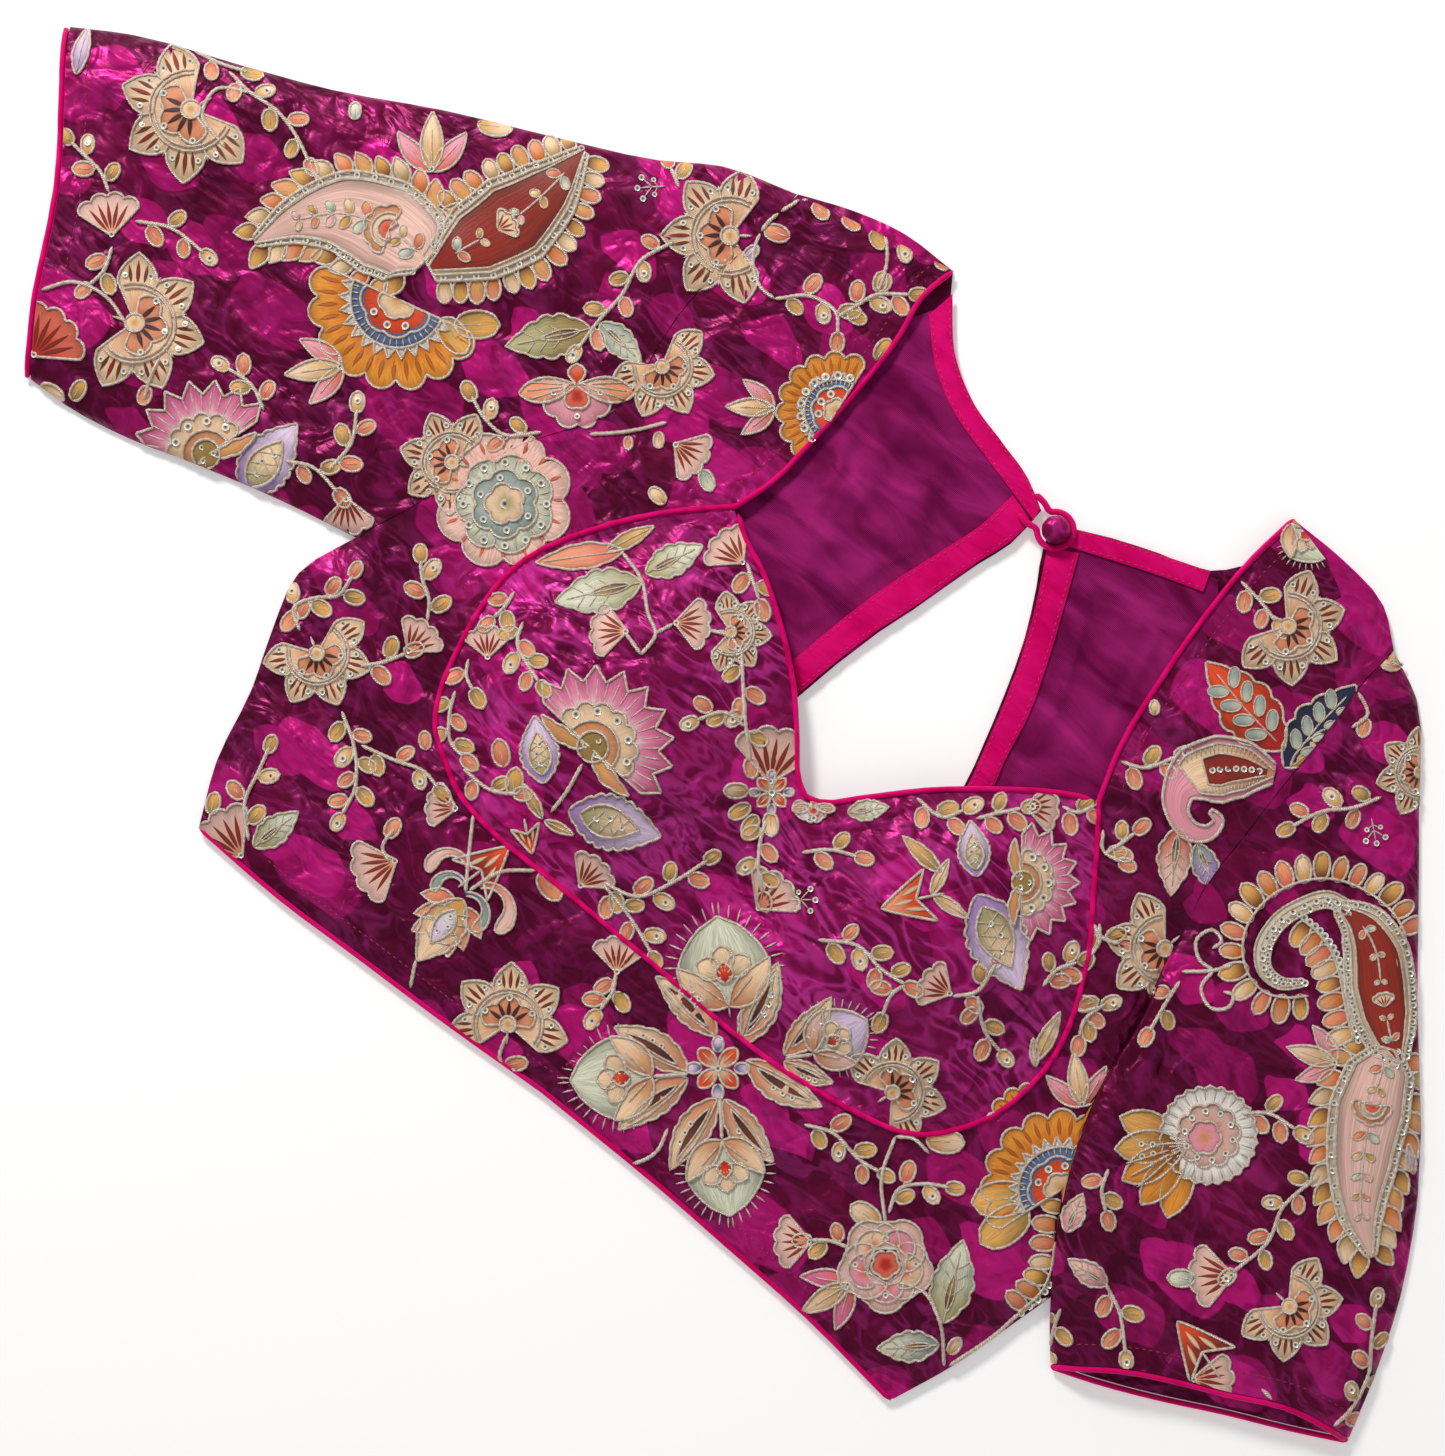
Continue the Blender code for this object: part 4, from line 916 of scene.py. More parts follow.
front_left = front_panel("cloth_front_left", FRONT_LEFT, LEFT_INNER, LEFT_OUTER,
                         LEFT_UNDERARM, LEFT_HEM_CORNER, LEFT_SHOULDER, "front_left")
front_right = front_panel("cloth_front_right", FRONT_RIGHT, RIGHT_INNER, RIGHT_OUTER,
                          RIGHT_SEAM_END, RIGHT_HEM_CORNER, RIGHT_SHOULDER, "front_right")

# %% The two cups
BAND_SEAM_Y = 97          # the rim's corner, where the armhole side meets the band
CUP_COUNT = 97            # grid points each way
CUP_EDGE = 0.003          # share of the patch left free along its seams


def bustier_half(name, neck, rim, side, node):
    """One padded cup: neckline, centre seam, band seam and armhole side around a patch."""
    split = int(np.argmin(np.abs(rim[:, 1] - BAND_SEAM_Y)))
    armhole_side, band_seam = rim[:split + 1], rim[split:]
    centre = np.array([neck[-1], band_seam[-1]])
    even = np.linspace(0, 1, CUP_COUNT)
    along, across = np.meshgrid(CUP_EDGE + (1 - CUP_EDGE) * even,
                                CUP_EDGE + (1 - 2 * CUP_EDGE) * even, indexing="ij")
    plan = coons(neck, band_seam, armhole_side, centre, along, across)
    plan[-1, :, 0] += side * CENTRE_GAP / 2
    plan = keep_clear(plan, rim, PIPING_CLEAR)
    plan = keep_clear(plan, neck, PIPING_CLEAR)
    top = face_top(plan)
    bottom = top - WALL * slope_factor(face_top, plan)
    return dress(cloth_wall(name, plan, top, bottom, BUSTIER_VELVET), "velvet", node)


cup_left = bustier_half("cloth_cup_left", NECK_LEFT, LEFT_RIM, -1, "bustier_left")
cup_right = bustier_half("cloth_cup_right", NECK_RIGHT, RIGHT_RIM, 1, "bustier_right")

# %% [markdown]
# ## Sleeves
# A sleeve lies as a flattened tube. Each ring runs along the upper layer, round the folded edge
# and back along the lower layer. The two mouths differ: the right one gapes and shows its inside.

# %% The two sleeves
RING_PITCH = 2.4                                       # millimetres between a sleeve's rings
NEAR_FOLD = np.array([0.0, 0.006, 0.014, 0.024])
FLOOR_SHARES = np.concatenate([[0.0], np.linspace(0.014, 0.986, 22), [1.0]])
FACE_SHARES = np.concatenate([NEAR_FOLD, 0.038 + (1 - 2 * 0.038) * np.linspace(0, 1, 90),
                              1 - NEAR_FOLD[::-1]])    # close together at both folded edges


def sleeve(name, top_line, under_line, armhole, mouths, floor_of, crown, node):
    """A flattened tube: the upper layer and the floor layer meet at the two folded edges."""
    side = np.sign(armhole[0, 0])
    rows = int(length_of(top_line) / RING_PITCH)
    layers = []
    for mouth, height, turn, shares in ((mouths[0], crown, -1, FACE_SHARES),
                                        (mouths[1], floor_of, 1, FLOOR_SHARES)):
        along, across = np.meshgrid(np.linspace(0, 1, rows), shares, indexing="ij")
        plan = coons(top_line, under_line, armhole, mouth, along, across)
        plan[0, :, 0] += side * SEAM_SHIFT
        outside = height(plan)
        layers.append((plan, outside, outside + turn * WALL * slope_factor(height, plan)))
    (upper, face, under_face), (lower, table_side, over_table) = layers
    rings = []
    for inset, high, low in ((0, face, table_side), (WALL, under_face, over_table)):
        plan = upper.copy()
        inward = unit(plan[:, -1] - plan[:, 0])
        if inset:
            gap = np.linalg.norm(plan - plan[:, :1], axis=-1)
            far = np.linalg.norm(plan - plan[:, -1:], axis=-1)
            plan += inward[:, None] * np.clip(inset - gap, 0, None)[..., None]
            plan -= inward[:, None] * np.clip(inset - far, 0, None)[..., None]
        high[:, [0, -1]] = table_side[:, [0, -1]] + FOLD_MIDDLE
        floor_now = right_floor(plan) if side > 0 else flat_floor(plan)
        low_limit = floor_now + (0.25 if inset == 0 else WALL + 0.1)
        high[:, 1:-1] = np.maximum(high, low_limit)[:, 1:-1]
        round_edge(plan, high, table_side)
        top_half = np.concatenate([plan, high[..., None]], axis=-1)
        low_half = np.concatenate([lower, low[..., None]], axis=-1)[:, -2:0:-1]
        rings.append(np.concatenate([top_half, low_half], axis=1))
    columns = rings[0].shape[1]
    count = rows * columns
    skin = grid_faces(rows, columns, closed=True)
    ends = []
    for first in (0, (rows - 1) * columns):
        c = np.arange(columns)
        nxt = (c + 1) % columns
        cap = np.stack([first + c, first + nxt, first + nxt + count, first + c + count], axis=-1)
        ends.append(cap if first else cap[:, ::-1])
    points = np.vstack([ring.reshape(-1, 3) for ring in rings])
    faces = outward(points, np.vstack([skin, skin[:, ::-1] + count, *ends]))
    return dress(mesh_object(name, points, faces, VELVET, sharp=60), "velvet", node)


def round_edge(plan, high, table_side):
    """Rounds the folded edge: between the fold and the roll the face follows a quarter ellipse."""
    for edge in (0, -1):
        middle = table_side[:, edge, None] + FOLD_MIDDLE
        gap = np.linalg.norm(plan - plan[:, [edge]], axis=-1)
        share = np.clip(gap / ROUND, 0, 1)
        blended = middle + (high - middle) * np.sqrt(np.clip(1 - (1 - share) ** 2, 0, 1))
        high[share < 1] = blended[share < 1]


sleeve_left = sleeve("cloth_sleeve_left", LEFT_TOP, LEFT_UNDER, LEFT_ARMHOLE,
                     (LEFT_MOUTH, LEFT_MOUTH), flat_floor, left_crown, "sleeve_left")
sleeve_right = sleeve("cloth_sleeve_right", RIGHT_TOP, RIGHT_UNDER, RIGHT_ARMHOLE,
                      (RIGHT_MOUTH, RIGHT_LOW_MOUTH), right_floor, right_crown, "sleeve_right")

# %% [markdown]
# ## Inside, edges and closure
# The lining and the pink facings show through the neck. Piping is a covered cord on every edge,
# a little uneven where the stitches bite. The back is a flat wall; its solid only gets its cloth.

# %% Lining and facings
LINING_LEFT = table(
    "strap_x strap_y keyhole_x keyhole_y",
    (-86, 371, -2.5, 328), (-98, 348, -3, 311), (-99, 318, -8, 296), (-99, 290, -13, 279),
    (-102, 266, -17, 263), (-106, 248, -22, 247), (-98, 233, -31, 203), (-60, 214, -33, 190))
LINING_RIGHT = table(
    "strap_x strap_y keyhole_x keyhole_y",
    (76, 355, 13.5, 328), (87, 340, 15, 316), (90, 305, 22, 304), (95, 275, 32, 284),
    (101, 255, 41, 259), (96, 242, 47, 239), (80, 230, 52, 212))
LINING_FOLDS = table(
    "x0 y0 x1 y1 width rise",
    (-70, 330, -60, 250, 7, 1.6), (-86, 262, -46, 232, 9, 1.3), (-48, 318, -34, 276, 8, 1.1),
    (60, 330, 76, 262, 8, 1.4), (-92, 344, -36, 328, 4, 0.5), (-84, 312, -70, 262, 3, 0.9),
    (-60, 300, -28, 292, 4, 0.6), (-40, 270, -22, 216, 4, 0.8), (-90, 248, -60, 222, 4, 0.8),
    (-76, 290, -30, 250, 3, 0.5), (36, 318, 60, 262, 4, 0.8), (70, 322, 84, 270, 3.5, 0.7),
    (24, 318, 70, 338, 4, 0.6), (50, 250, 90, 262, 4, 0.5))
NECK_FACING_LEFT = table(
    "edge_x edge_y inner_x inner_y",
    (-87, 376, -89, 363), (-69, 356.6, -72, 347.5), (-51, 346.6, -54, 338),
    (-31, 341.4, -33, 332.5), (-13, 336.6, -14, 328), (-1, 330, 0, 324.6))
NECK_FACING_RIGHT = table(
    "edge_x edge_y inner_x inner_y",
    (8.8, 329.2, 12, 322.8), (30, 339.4, 33, 331.5), (50, 347.4, 53, 339.5), (71, 355.4, 74, 347))
KEYHOLE_FACING_LEFT = table(
    "edge_x edge_y inner_x inner_y",
    (-0.5, 323.4, -13.5, 327.2), (-2, 311, -16, 308), (-7, 296, -21, 292), (-16, 263, -31, 260),
    (-21, 247, -35, 243), (-30, 203, -42, 205), (-32, 190, -44, 192))
KEYHOLE_FACING_RIGHT = table(
    "edge_x edge_y inner_x inner_y",
    (12, 319, 23.5, 326.2), (20, 304.5, 33, 305), (30, 284, 42, 284), (39, 259, 51, 259),
    (45, 239, 55, 240), (50, 220, 60, 222), (51, 206, 62, 209))
LINING_LEFT_TOP = ((-86, 371), (-69, 354.6), (-51, 344.8), (-31, 339.6), (-13, 334.6), (-2.5, 328))
LINING_RIGHT_TOP = ((76, 355), (71, 353.6), (50, 345.6), (30, 337.6), (20, 333), (13.5, 328))
LINING_FLOOR = 1.5
LINING_WALL = 1.0
HELD_DOWN = 15.0          # how far from a facing the lining still lies flat


def lining(name, rows, top_edge, node):
    """A lining side: ruled from strap to keyhole, in soft waves that lie down by the facings."""
    first, second = (smooth_line(pairs(side + "_x", side + "_y", rows), 9)
                     for side in ("strap", "keyhole"))
    plan = ruled(first, second, np.linspace(0, 1, 60), start=smooth_line(top_edge, 5))
    crumple = 0.5 + 0.45 * grain(plan, 6, 40, 3.0, seed=11) + 0.4 * grain(plan, 15, -20, 1.5, 12)
    wave = np.maximum(2.4 * folds(LINING_FOLDS, plan) + 1.3 * crumple, 0.0)
    gap = np.min([nearest(pairs("edge_x", "edge_y", strip), plan)[0]
                  for strip in FACINGS.values()], axis=0)
    bottom = LINING_FLOOR + np.minimum(wave, 0.2 + 4 * ease((gap - HELD_DOWN) / 14))
    made = cloth_wall(name, plan, bottom + LINING_WALL, bottom, LINING_CLOTH)
    return dress(made, "lining", node)


def facing_rise(plan):
    """The facing's surface: a soft pucker across the strip."""
    return 0.3 * grain(plan, 4.5, 70, 1.0, seed=21)


def facing_lines(rows, steps):
    """The two long edges of a facing strip."""
    return [smooth_line(pairs(side + "_x", side + "_y", rows), steps)
            for side in ("edge", "inner")]


def facing(name, rows, node):
    """A facing strip, turned in at both edges, with a low pucker between its stitch rows."""
    across = np.linspace(0, 1, 11)
    plan = ruled(*facing_lines(rows, 14), across)
    dome = 0.35 * np.sin(math.pi * across)[None, :]
    top = FACING_FLOOR + FACING_WALL - 0.1 + dome + facing_rise(plan)
    bottom = np.full(plan.shape[:2], FACING_FLOOR)
    return dress(cloth_wall(name, plan, top, bottom, PINK_SILK), "pink_silk", node)


FACINGS = {"neck_facing_left": NECK_FACING_LEFT, "neck_facing_right": NECK_FACING_RIGHT,
           "keyhole_facing_left": KEYHOLE_FACING_LEFT,
           "keyhole_facing_right": KEYHOLE_FACING_RIGHT}
linings = [lining("cloth_lining_left", LINING_LEFT, LINING_LEFT_TOP, "lining_left"),
           lining("cloth_lining_right", LINING_RIGHT, LINING_RIGHT_TOP, "lining_right")]
facings = [facing("cloth_" + name, rows, name) for name, rows in FACINGS.items()]

# %% Piping


def cord_object(name, path, radius, look, sides=10, closed=False):
    """A round cord, its ends drawn in to a point and closed."""
    if closed:
        path = np.vstack([path, path[:1]])
        rings = cord_rings(path, radius, sides)[:-1]
    else:
        ends = np.minimum(np.arange(len(path)), np.arange(len(path))[::-1])
        rings = cord_rings(path, radius * np.sqrt(np.clip(ends / 2.0, 0.01, 1)), sides)
    last = (len(rings) - 1) * sides
    faces = grid_faces(len(rings), sides, closed=True)
    if closed:
        c = np.arange(sides)
        nxt = (c + 1) % sides
        faces = np.vstack([faces, np.stack([last + c, last + nxt, nxt, c], axis=-1)])
    else:
        pair = np.arange(sides // 2 - 1)
        cap = np.stack([pair, pair + 1, sides - 2 - pair, sides - 1 - pair], axis=-1)
        faces = np.vstack([faces, cap[:, ::-1], cap + last])
    points = rings.reshape(-1, 3)
    print(f"{name}: {length_of(path):.0f} mm long")
    return mesh_object(name, points, outward(points, faces), look, sharp=80)


PIPING_STEP = 1.6
PIPING_STITCH = 3.1


def piping(name, line, height, node, clip=(0.0, 1.0)):
    """Piping along a plan line, with a light wave where its stitches pull."""
    count = int(length_of(line) / PIPING_STEP)
    line = at(line, np.linspace(*clip, count))
    wave = 0.12 * np.sin(np.arange(count) * PIPING_STEP / PIPING_STITCH * 2 * math.pi)
    path = np.column_stack([line, height(line) + wave])
    return dress(cord_object(name, path, PIPING_RADIUS, PINK_SILK), "pink_silk", node)


def seam_height(line):
    """Piping sits in its seam, level with the cloth on both sides."""
    return np.maximum(face_top(line) + 0.25, EDGE_FLOOR + PIPING_RADIUS)


def hem_height(line):
    """The hem's piping lies on the back."""
    return np.full(len(line), BACK_WALL + SEAM_GAP + PIPING_RADIUS + 0.05)


def mouth_path(upper, lower, crown):
    """Once round a sleeve's mouth, just outside it: over the upper layer, back along the lower."""
    high = at(upper, np.linspace(0.01, 0.99, 120))
    low = at(lower, np.linspace(0.985, 0.015, 110))
    chord = upper[-1] - upper[0]
    out = np.array([chord[1], -chord[0]]) / np.linalg.norm(chord)
    out *= np.sign((upper.mean(axis=0) - (0, 230)) @ out) * (PIPING_RADIUS + 0.35)
    top = np.maximum(crown(high) - 0.5, 3.2)
    top[[0, -1]] = 2.6
    top[[1, -2]] = np.maximum(top[[1, -2]] - 0.7, 2.9)
    return np.vstack([np.column_stack([high + out, top]),
                      np.column_stack([low + out, np.full(len(low), PIPING_RADIUS + 0.05)])])


pipings = [
    piping("piping_round_cups", np.vstack([LEFT_INNER, RIGHT_INNER[::-1][1:]]), seam_height,
           "piping_cups"),
    piping("piping_along_neck", NECK, seam_height, "piping_neckline", (0.013, 0.987)),
    piping("piping_along_hem", np.vstack([HEM_LEFT, HEM_RIGHT[::-1][1:]]), hem_height,
           "piping_hem")]
for side, upper, lower, crown in (("left", LEFT_MOUTH, LEFT_MOUTH, left_crown),
                                  ("right", RIGHT_MOUTH, RIGHT_LOW_MOUTH, right_crown)):
    pipings.append(dress(cord_object("piping_mouth_" + side, mouth_path(upper, lower, crown),
                                     PIPING_RADIUS, PINK_SILK, closed=True),
                         "pink_silk", "piping_sleeve_" + side))
print(len(pipings), "lengths of piping")

# %% Button, loop and back
SEAT = FACING_FLOOR + FACING_WALL + SEAM_GAP


def round_button(name, at_plan, radius, half_height, look):
    """A covered button: a turned profile with a soft crown, a rounded rim and a flat underside."""
    rows, columns = 22, 36
    share = np.linspace(0, 1, rows)
    lift = np.sin((share - 0.5) * math.pi) * half_height
    out = np.abs(np.cos((share - 0.5) * math.pi)) ** 0.72 * radius
    turn = np.arange(columns) * 2 * math.pi / columns
    gather = 1 + 0.02 * np.cos(turn * 9)[None, :] * (share < 0.5)[:, None]
    ring = np.stack([at_plan[0] + out[:, None] * gather * np.cos(turn),
                     at_plan[1] + out[:, None] * gather * np.sin(turn),
                     np.repeat(SEAT + half_height + lift[:, None], columns, axis=1)], axis=-1)
    points = ring.reshape(-1, 3)
    faces = outward(points, grid_faces(rows, columns, closed=True))
    return mesh_object(name, points, faces, look)


LOOP_POINTS = 90
around = BUTTON_RADIUS + 1.7
turn = np.radians(np.linspace(140, -140, 40))
loop_plan = np.vstack([[(-6.5, 333.4), (-1.5, 333.0)], BUTTON_AT + around * compass(turn),
                       [(-2.0, 321.6), (-7.0, 322.6)]])
loop_plan = at(smooth_line(loop_plan, 3), np.linspace(0, 1, LOOP_POINTS))
loop_path = np.column_stack([loop_plan, np.full(LOOP_POINTS, SEAT + LOOP_RADIUS)])
dress(round_button("covered_button", BUTTON_AT, BUTTON_RADIUS, BUTTON_HALF_HEIGHT, BUTTON_CLOTH),
      "button_cloth", "button")
dress(cord_object("cord_loop", loop_path, LOOP_RADIUS, PINK_SILK), "pink_silk", "button_loop")
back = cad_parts["back_panel"]
back.data.materials.clear()
back.data.materials.append(VELVET)
print("back wears", back.data.materials[0].name)

# %% [markdown]
# ## The embroidery
# Every motif is drawn from three shapes, in its own small frame whose base is the origin and
# whose tip is at (1, 0): a **blade** (a bent spine with a width), a **wheel** (rings round a
# centre, with a lobed rim) and a **line**. A hoop collects them as arrays; at the end the whole
# hoop is cut to the outline of a piece of cloth and lifted onto its height.

# %% Thread colours


def srgb(red, green, blue):
    """A screen colour from 0 to 255 as a linear one."""
    value = np.array([red, green, blue]) / 255
    return np.where(value <= 0.04045, value / 12.92, ((value + 0.055) / 1.055) ** 2.4)


THREAD_ROWS = """
cream 242 210 178, tan 218 158 122, brown 116 56 30, rust 146 38 22, peach 232 162 130,
salmon 228 130 114, pale 238 198 186, pink 226 130 166, rose 234 164 178, lilac 186 152 206,
violet 222 200 224, sage 184 176 132, mint 214 214 192, olive 166 136 86, gold 224 174 114,
orange 232 160 96, amber 200 116 64, coral 226 92 66, crimson 190 40 38, slate 92 110 146,
navy 26 32 62, grey 154 166 158, white 242 236 228, dark 64 20 20, zari 224 206 182
"""
THREADS = {name: srgb(*map(int, shade))
           for name, *shade in (row.split() for row in THREAD_ROWS.split(","))}
print(len(THREADS), "thread colours")

# %% Blades, wheels and hoops
PROFILES = {
    "petal": lambda t: np.sin(math.pi * t ** 1.25) ** 0.7,
    "leaf": lambda t: np.sin(math.pi * t ** 0.85) ** 0.95,
    "oval": lambda t: np.sqrt(np.clip(1 - (2 * t - 1) ** 2, 0, 1)),
    "onion": lambda t: np.sin(math.pi * t ** 0.8) ** 0.6 * (1 - 0.25 * t),
    "spear": lambda t: np.clip((1 - t) * 1.15, 0, 1) * np.clip(t * 12, 0, 1),
    "club": lambda t: (0.25 + 0.75 * t ** 2) * np.sqrt(np.clip((1 - t) * 5, 0, 1))}


def blade_grid(start, turn, length, width, bend=0.0, kind="leaf", teeth=0, bite=0.0, columns=5):
    """A spine whose heading turns evenly by bend degrees, widened by a profile; teeth notch it."""
    rows = max(9, 4 * teeth + 1, int(abs(bend) // 8) + 5)
    t = np.linspace(0, 1, rows)
    ahead = compass(np.radians(turn + bend * (t - 0.5)))
    step = ahead * length / (rows - 1)
    spine = start + np.vstack([np.zeros(2), np.cumsum((step[1:] + step[:-1]) / 2, axis=0)])
    half = width / 2 * PROFILES[kind](t)
    if teeth:
        half = half * (1 - bite + bite * np.abs(np.sin(math.pi * teeth * t)) ** 0.7)
    side = leftward(ahead)[:, None] * half[:, None, None]
    return spine[:, None] + side * np.linspace(-1, 1, columns)[:, None]


def wheel_grid(centre, turn, spread, inner, outer, lobes, bite, pointed, rows=6):
    """Rings round a centre. A round lobe's rim is 1 - bite (1 - |sin|^0.7) of the outer radius;
    a pointed lobe's falls off from its middle as |distance|^0.8; pointed mixes the two."""
    columns = 8 * max(lobes, 3) + 1
    share = np.linspace(0, 1, columns)
    angle = np.radians(turn + spread * (2 * share - 1))
    phase = lobes * share
    rounded_dip = 1 - np.abs(np.sin(math.pi * phase)) ** 0.7
    dip = pointed * np.abs(2 * (phase % 1) - 1) ** 0.8 + (1 - pointed) * rounded_dip
    rim = outer * (1 - bite * dip)
    t = np.linspace(0, 1, rows)[:, None]
    radius = inner + (rim - inner) * t
    return centre + radius[..., None] * compass(angle)


class Hoop:
    """Collects stitched shapes in plan millimetres: filled patches, cords and sequins."""

    def __init__(self):
        self.patches, self.cords, self.discs = [], [], []
        self.random = np.random.default_rng(8)
        self.spot = (0.0, 0.0, 1.0, 0.0)

    def move(self, x, y, size, turn):
        """The next shapes are drawn here, this big, turned this many degrees."""
        self.spot = (x, y, size, math.radians(turn))

    def put(self, local):
        """Local points in plan."""
        x, y, size, turn = self.spot
        local = np.asarray(local, float) * size
        c, s = math.cos(turn), math.sin(turn)
        return np.stack([x + local[..., 0] * c - local[..., 1] * s,
                         y + local[..., 0] * s + local[..., 1] * c], axis=-1)

    def fill(self, grid, base, tip, lift, puff, wheel=False):
        """Satin stitch over a local grid, shaded from the base's colour to the tip's and darker
        towards the base, with painted shadow darkening the patch at its rim beside the edge cord.
        """
        rows, columns = grid.shape[:2]
        t = np.linspace(0, 1, rows)[:, None]
        c = np.linspace(-1, 1, columns)[None, :]
        blend = ease(1.5 * t - 0.1 + 0 * c)[..., None]
        tint = THREADS[base] * (1 - blend) + THREADS[tip] * blend
        tint = tint * self.random.uniform(0.94, 1.14) * (1 - 0.2 * (1 - t[..., None]) ** 2)
        # Painted shadow: the tint falls to half at the patch's rim, where the shade beside its edge
        # cord lies.
        rim = t + 0 * c if wheel else np.abs(c) + 0 * t
        tint = tint * (1 - 0.5 * rim ** 5)[..., None]
        crown = 1 - t ** 4 + 0 * c if wheel else np.sqrt(1 - c ** 2) * np.sin(
            math.pi * np.clip(t, 0.06, 0.94)) ** 0.5
        uv = np.stack([t + 0 * c, c + 0 * t], axis=-1) * (1, 6 if wheel else 1)
        self.patches.append((self.put(grid), lift + puff * crown, tint, uv))

    def line(self, local, radius=0.5, lift=0.55):
        """A couched cord along a local path."""
        self.cords.append((self.put(local), radius, lift))

    def strip(self, grid, base, tip, lift, puff, radius, cord_lift):
        """A filled strip with a cord along its two long edges."""
        self.fill(grid, base, tip, lift, puff)
        self.line(np.vstack([grid[:, -1], grid[::-1, 0]]), radius, cord_lift)

    def blade(self, start, turn, length, width, base, tip, lift=0.3, puff=0.45, edge=0.58,
              **shape):
        """A filled blade with a cord round it."""
        grid = blade_grid(start, turn, length, width, **shape)
        self.fill(grid, base, tip, lift, puff)
        if edge:
            self.line(np.vstack([grid[:, 0], grid[::-1, -1][1:]]), edge, lift + 0.2)
        return grid

    def wheel(self, centre, turn, spread, inner, outer, base, tip, lobes=1, bite=0.0,
              pointed=False, lift=0.3, puff=0.3, edge=0.58):
        """A filled wheel with a cord along its lobed rim and down its two cut sides."""
        grid = wheel_grid(centre, turn, spread, inner, outer, lobes, bite, pointed)
        self.fill(grid, base, tip, lift, puff, wheel=True)
        if edge:
            whole = spread >= 179
            rim = grid[-1] if whole else np.vstack([grid[:, 0], grid[-1, 1:], grid[::-1, -1][1:]])
            self.line(rim, edge, lift + 0.2)
        return grid

    def rays(self, centre, turns, near, far, radius=0.32, lift=0.8):
        """Short straight cords that point away from a centre."""
        for ahead in compass(np.radians(turns)):
            self.line(np.array([centre + ahead * near, centre + ahead * far]), radius, lift)

    def strokes(self, centre, turns, near, far, width, colour, lift=0.62):
        """Thin filled stripes that point away from a centre."""
        for turn in turns:
            self.blade(centre + compass(math.radians(turn)) * near, turn, far - near, width,
                       colour, colour, lift, 0.1, edge=0, kind="leaf", columns=3)

    def ring(self, centre, turns, radius, size=1.5, lift=0.9):
        """Sequins round a centre."""
        self.sequins(centre + radius * compass(np.radians(turns)), size, lift)

    def sequins(self, local, size=1.5, lift=0.9):
        """Round sequins at local points."""
        for point in self.put(np.atleast_2d(local)):
            self.discs.append((*point, size, lift))


# %% Flowers


def lily(h):
    """Five cream lobes with brown strokes and sequins, a rust bell, and a gold collar round it."""
    h.wheel((0, 0), 0, 128, 0.0, 1.0, "tan", "cream", lobes=5, bite=0.34, pointed=0.6)
    for turn in np.linspace(-102.4, 102.4, 5):
        h.strokes((0, 0), (turn - 9, turn + 9), 0.58, 0.84, 0.05, "brown")
        h.strokes((0, 0), (turn,), 0.56, 0.9, 0.06, "rust")
        h.ring((0, 0), (turn - 15, turn + 15), 0.7, 1.3)
    h.rays((0, 0), (-76.8, -25.6, 25.6, 76.8), 0.5, 0.74, 0.45, 0.7)
    h.wheel((0, 0), 0, 96, 0.0, 0.48, "rust", "peach", lobes=3, bite=0.25, pointed=0.5, lift=0.7)
    h.strokes((0, 0), (-56, -28, 0, 28, 56), 0.1, 0.38, 0.065, "dark", 1.1)
    h.wheel((0, 0), 0, 180, 0.0, 0.13, "gold", "cream", lift=1.1)
    for radius in (0.51, 0.57):
        h.line(radius * compass(np.radians(np.linspace(-124, 124, 17))), 0.5, 1.0)
    h.ring((0, 0), (-62, 0, 62), 0.43, 1.4, 1.5)
    h.rays((-0.1, 0), (180,), 0.0, 0.22, 0.6)


def fan(h, colour="peach"):
    """Four rounded lobes with dark stripes, on a small calyx."""
    h.wheel((0, 0), 0, 50, 0.0, 1.0, colour, "pale" if colour == "peach" else "salmon",
            lobes=4, bite=0.1)
    h.strokes((0, 0), (-34, -17, 0, 17, 34), 0.16, 0.8, 0.085, "rust")
    h.ring((0, 0), (0,), 0.04, 1.3)


def feather(h):
    """A fringe of pink feathers round a golden arc, with a green eye and two gold wings."""
    h.wheel((0, 0), 0, 90, 0.3, 1.0, "white", "pink", lobes=9, bite=0.2, pointed=True)
    h.rays((0, 0), np.linspace(-85, 85, 19), 0.6, 0.84, 0.3, 0.55)
    h.wheel((0, 0), 0, 90, 0.0, 0.56, "tan", "cream", lobes=7, bite=0.12, lift=0.6)
    h.ring((0, 0), np.linspace(-68, 68, 5), 0.45, 1.8, 1.3)
    h.wheel((0, 0), 0, 96, 0.0, 0.33, "gold", "tan", lift=0.9)
    h.wheel((0.02, 0), 0, 180, 0.0, 0.19, "olive", "olive", lift=1.2)
    h.ring((0.02, 0), (0, 120, 240), 0.1, 1.2, 1.7)
    for side in (1, -1):
        h.blade((-0.05, side * 0.06), side * 96, 0.68, 0.2, "gold", "tan", lift=1.0,
                bend=-side * 30, teeth=3, bite=0.25)


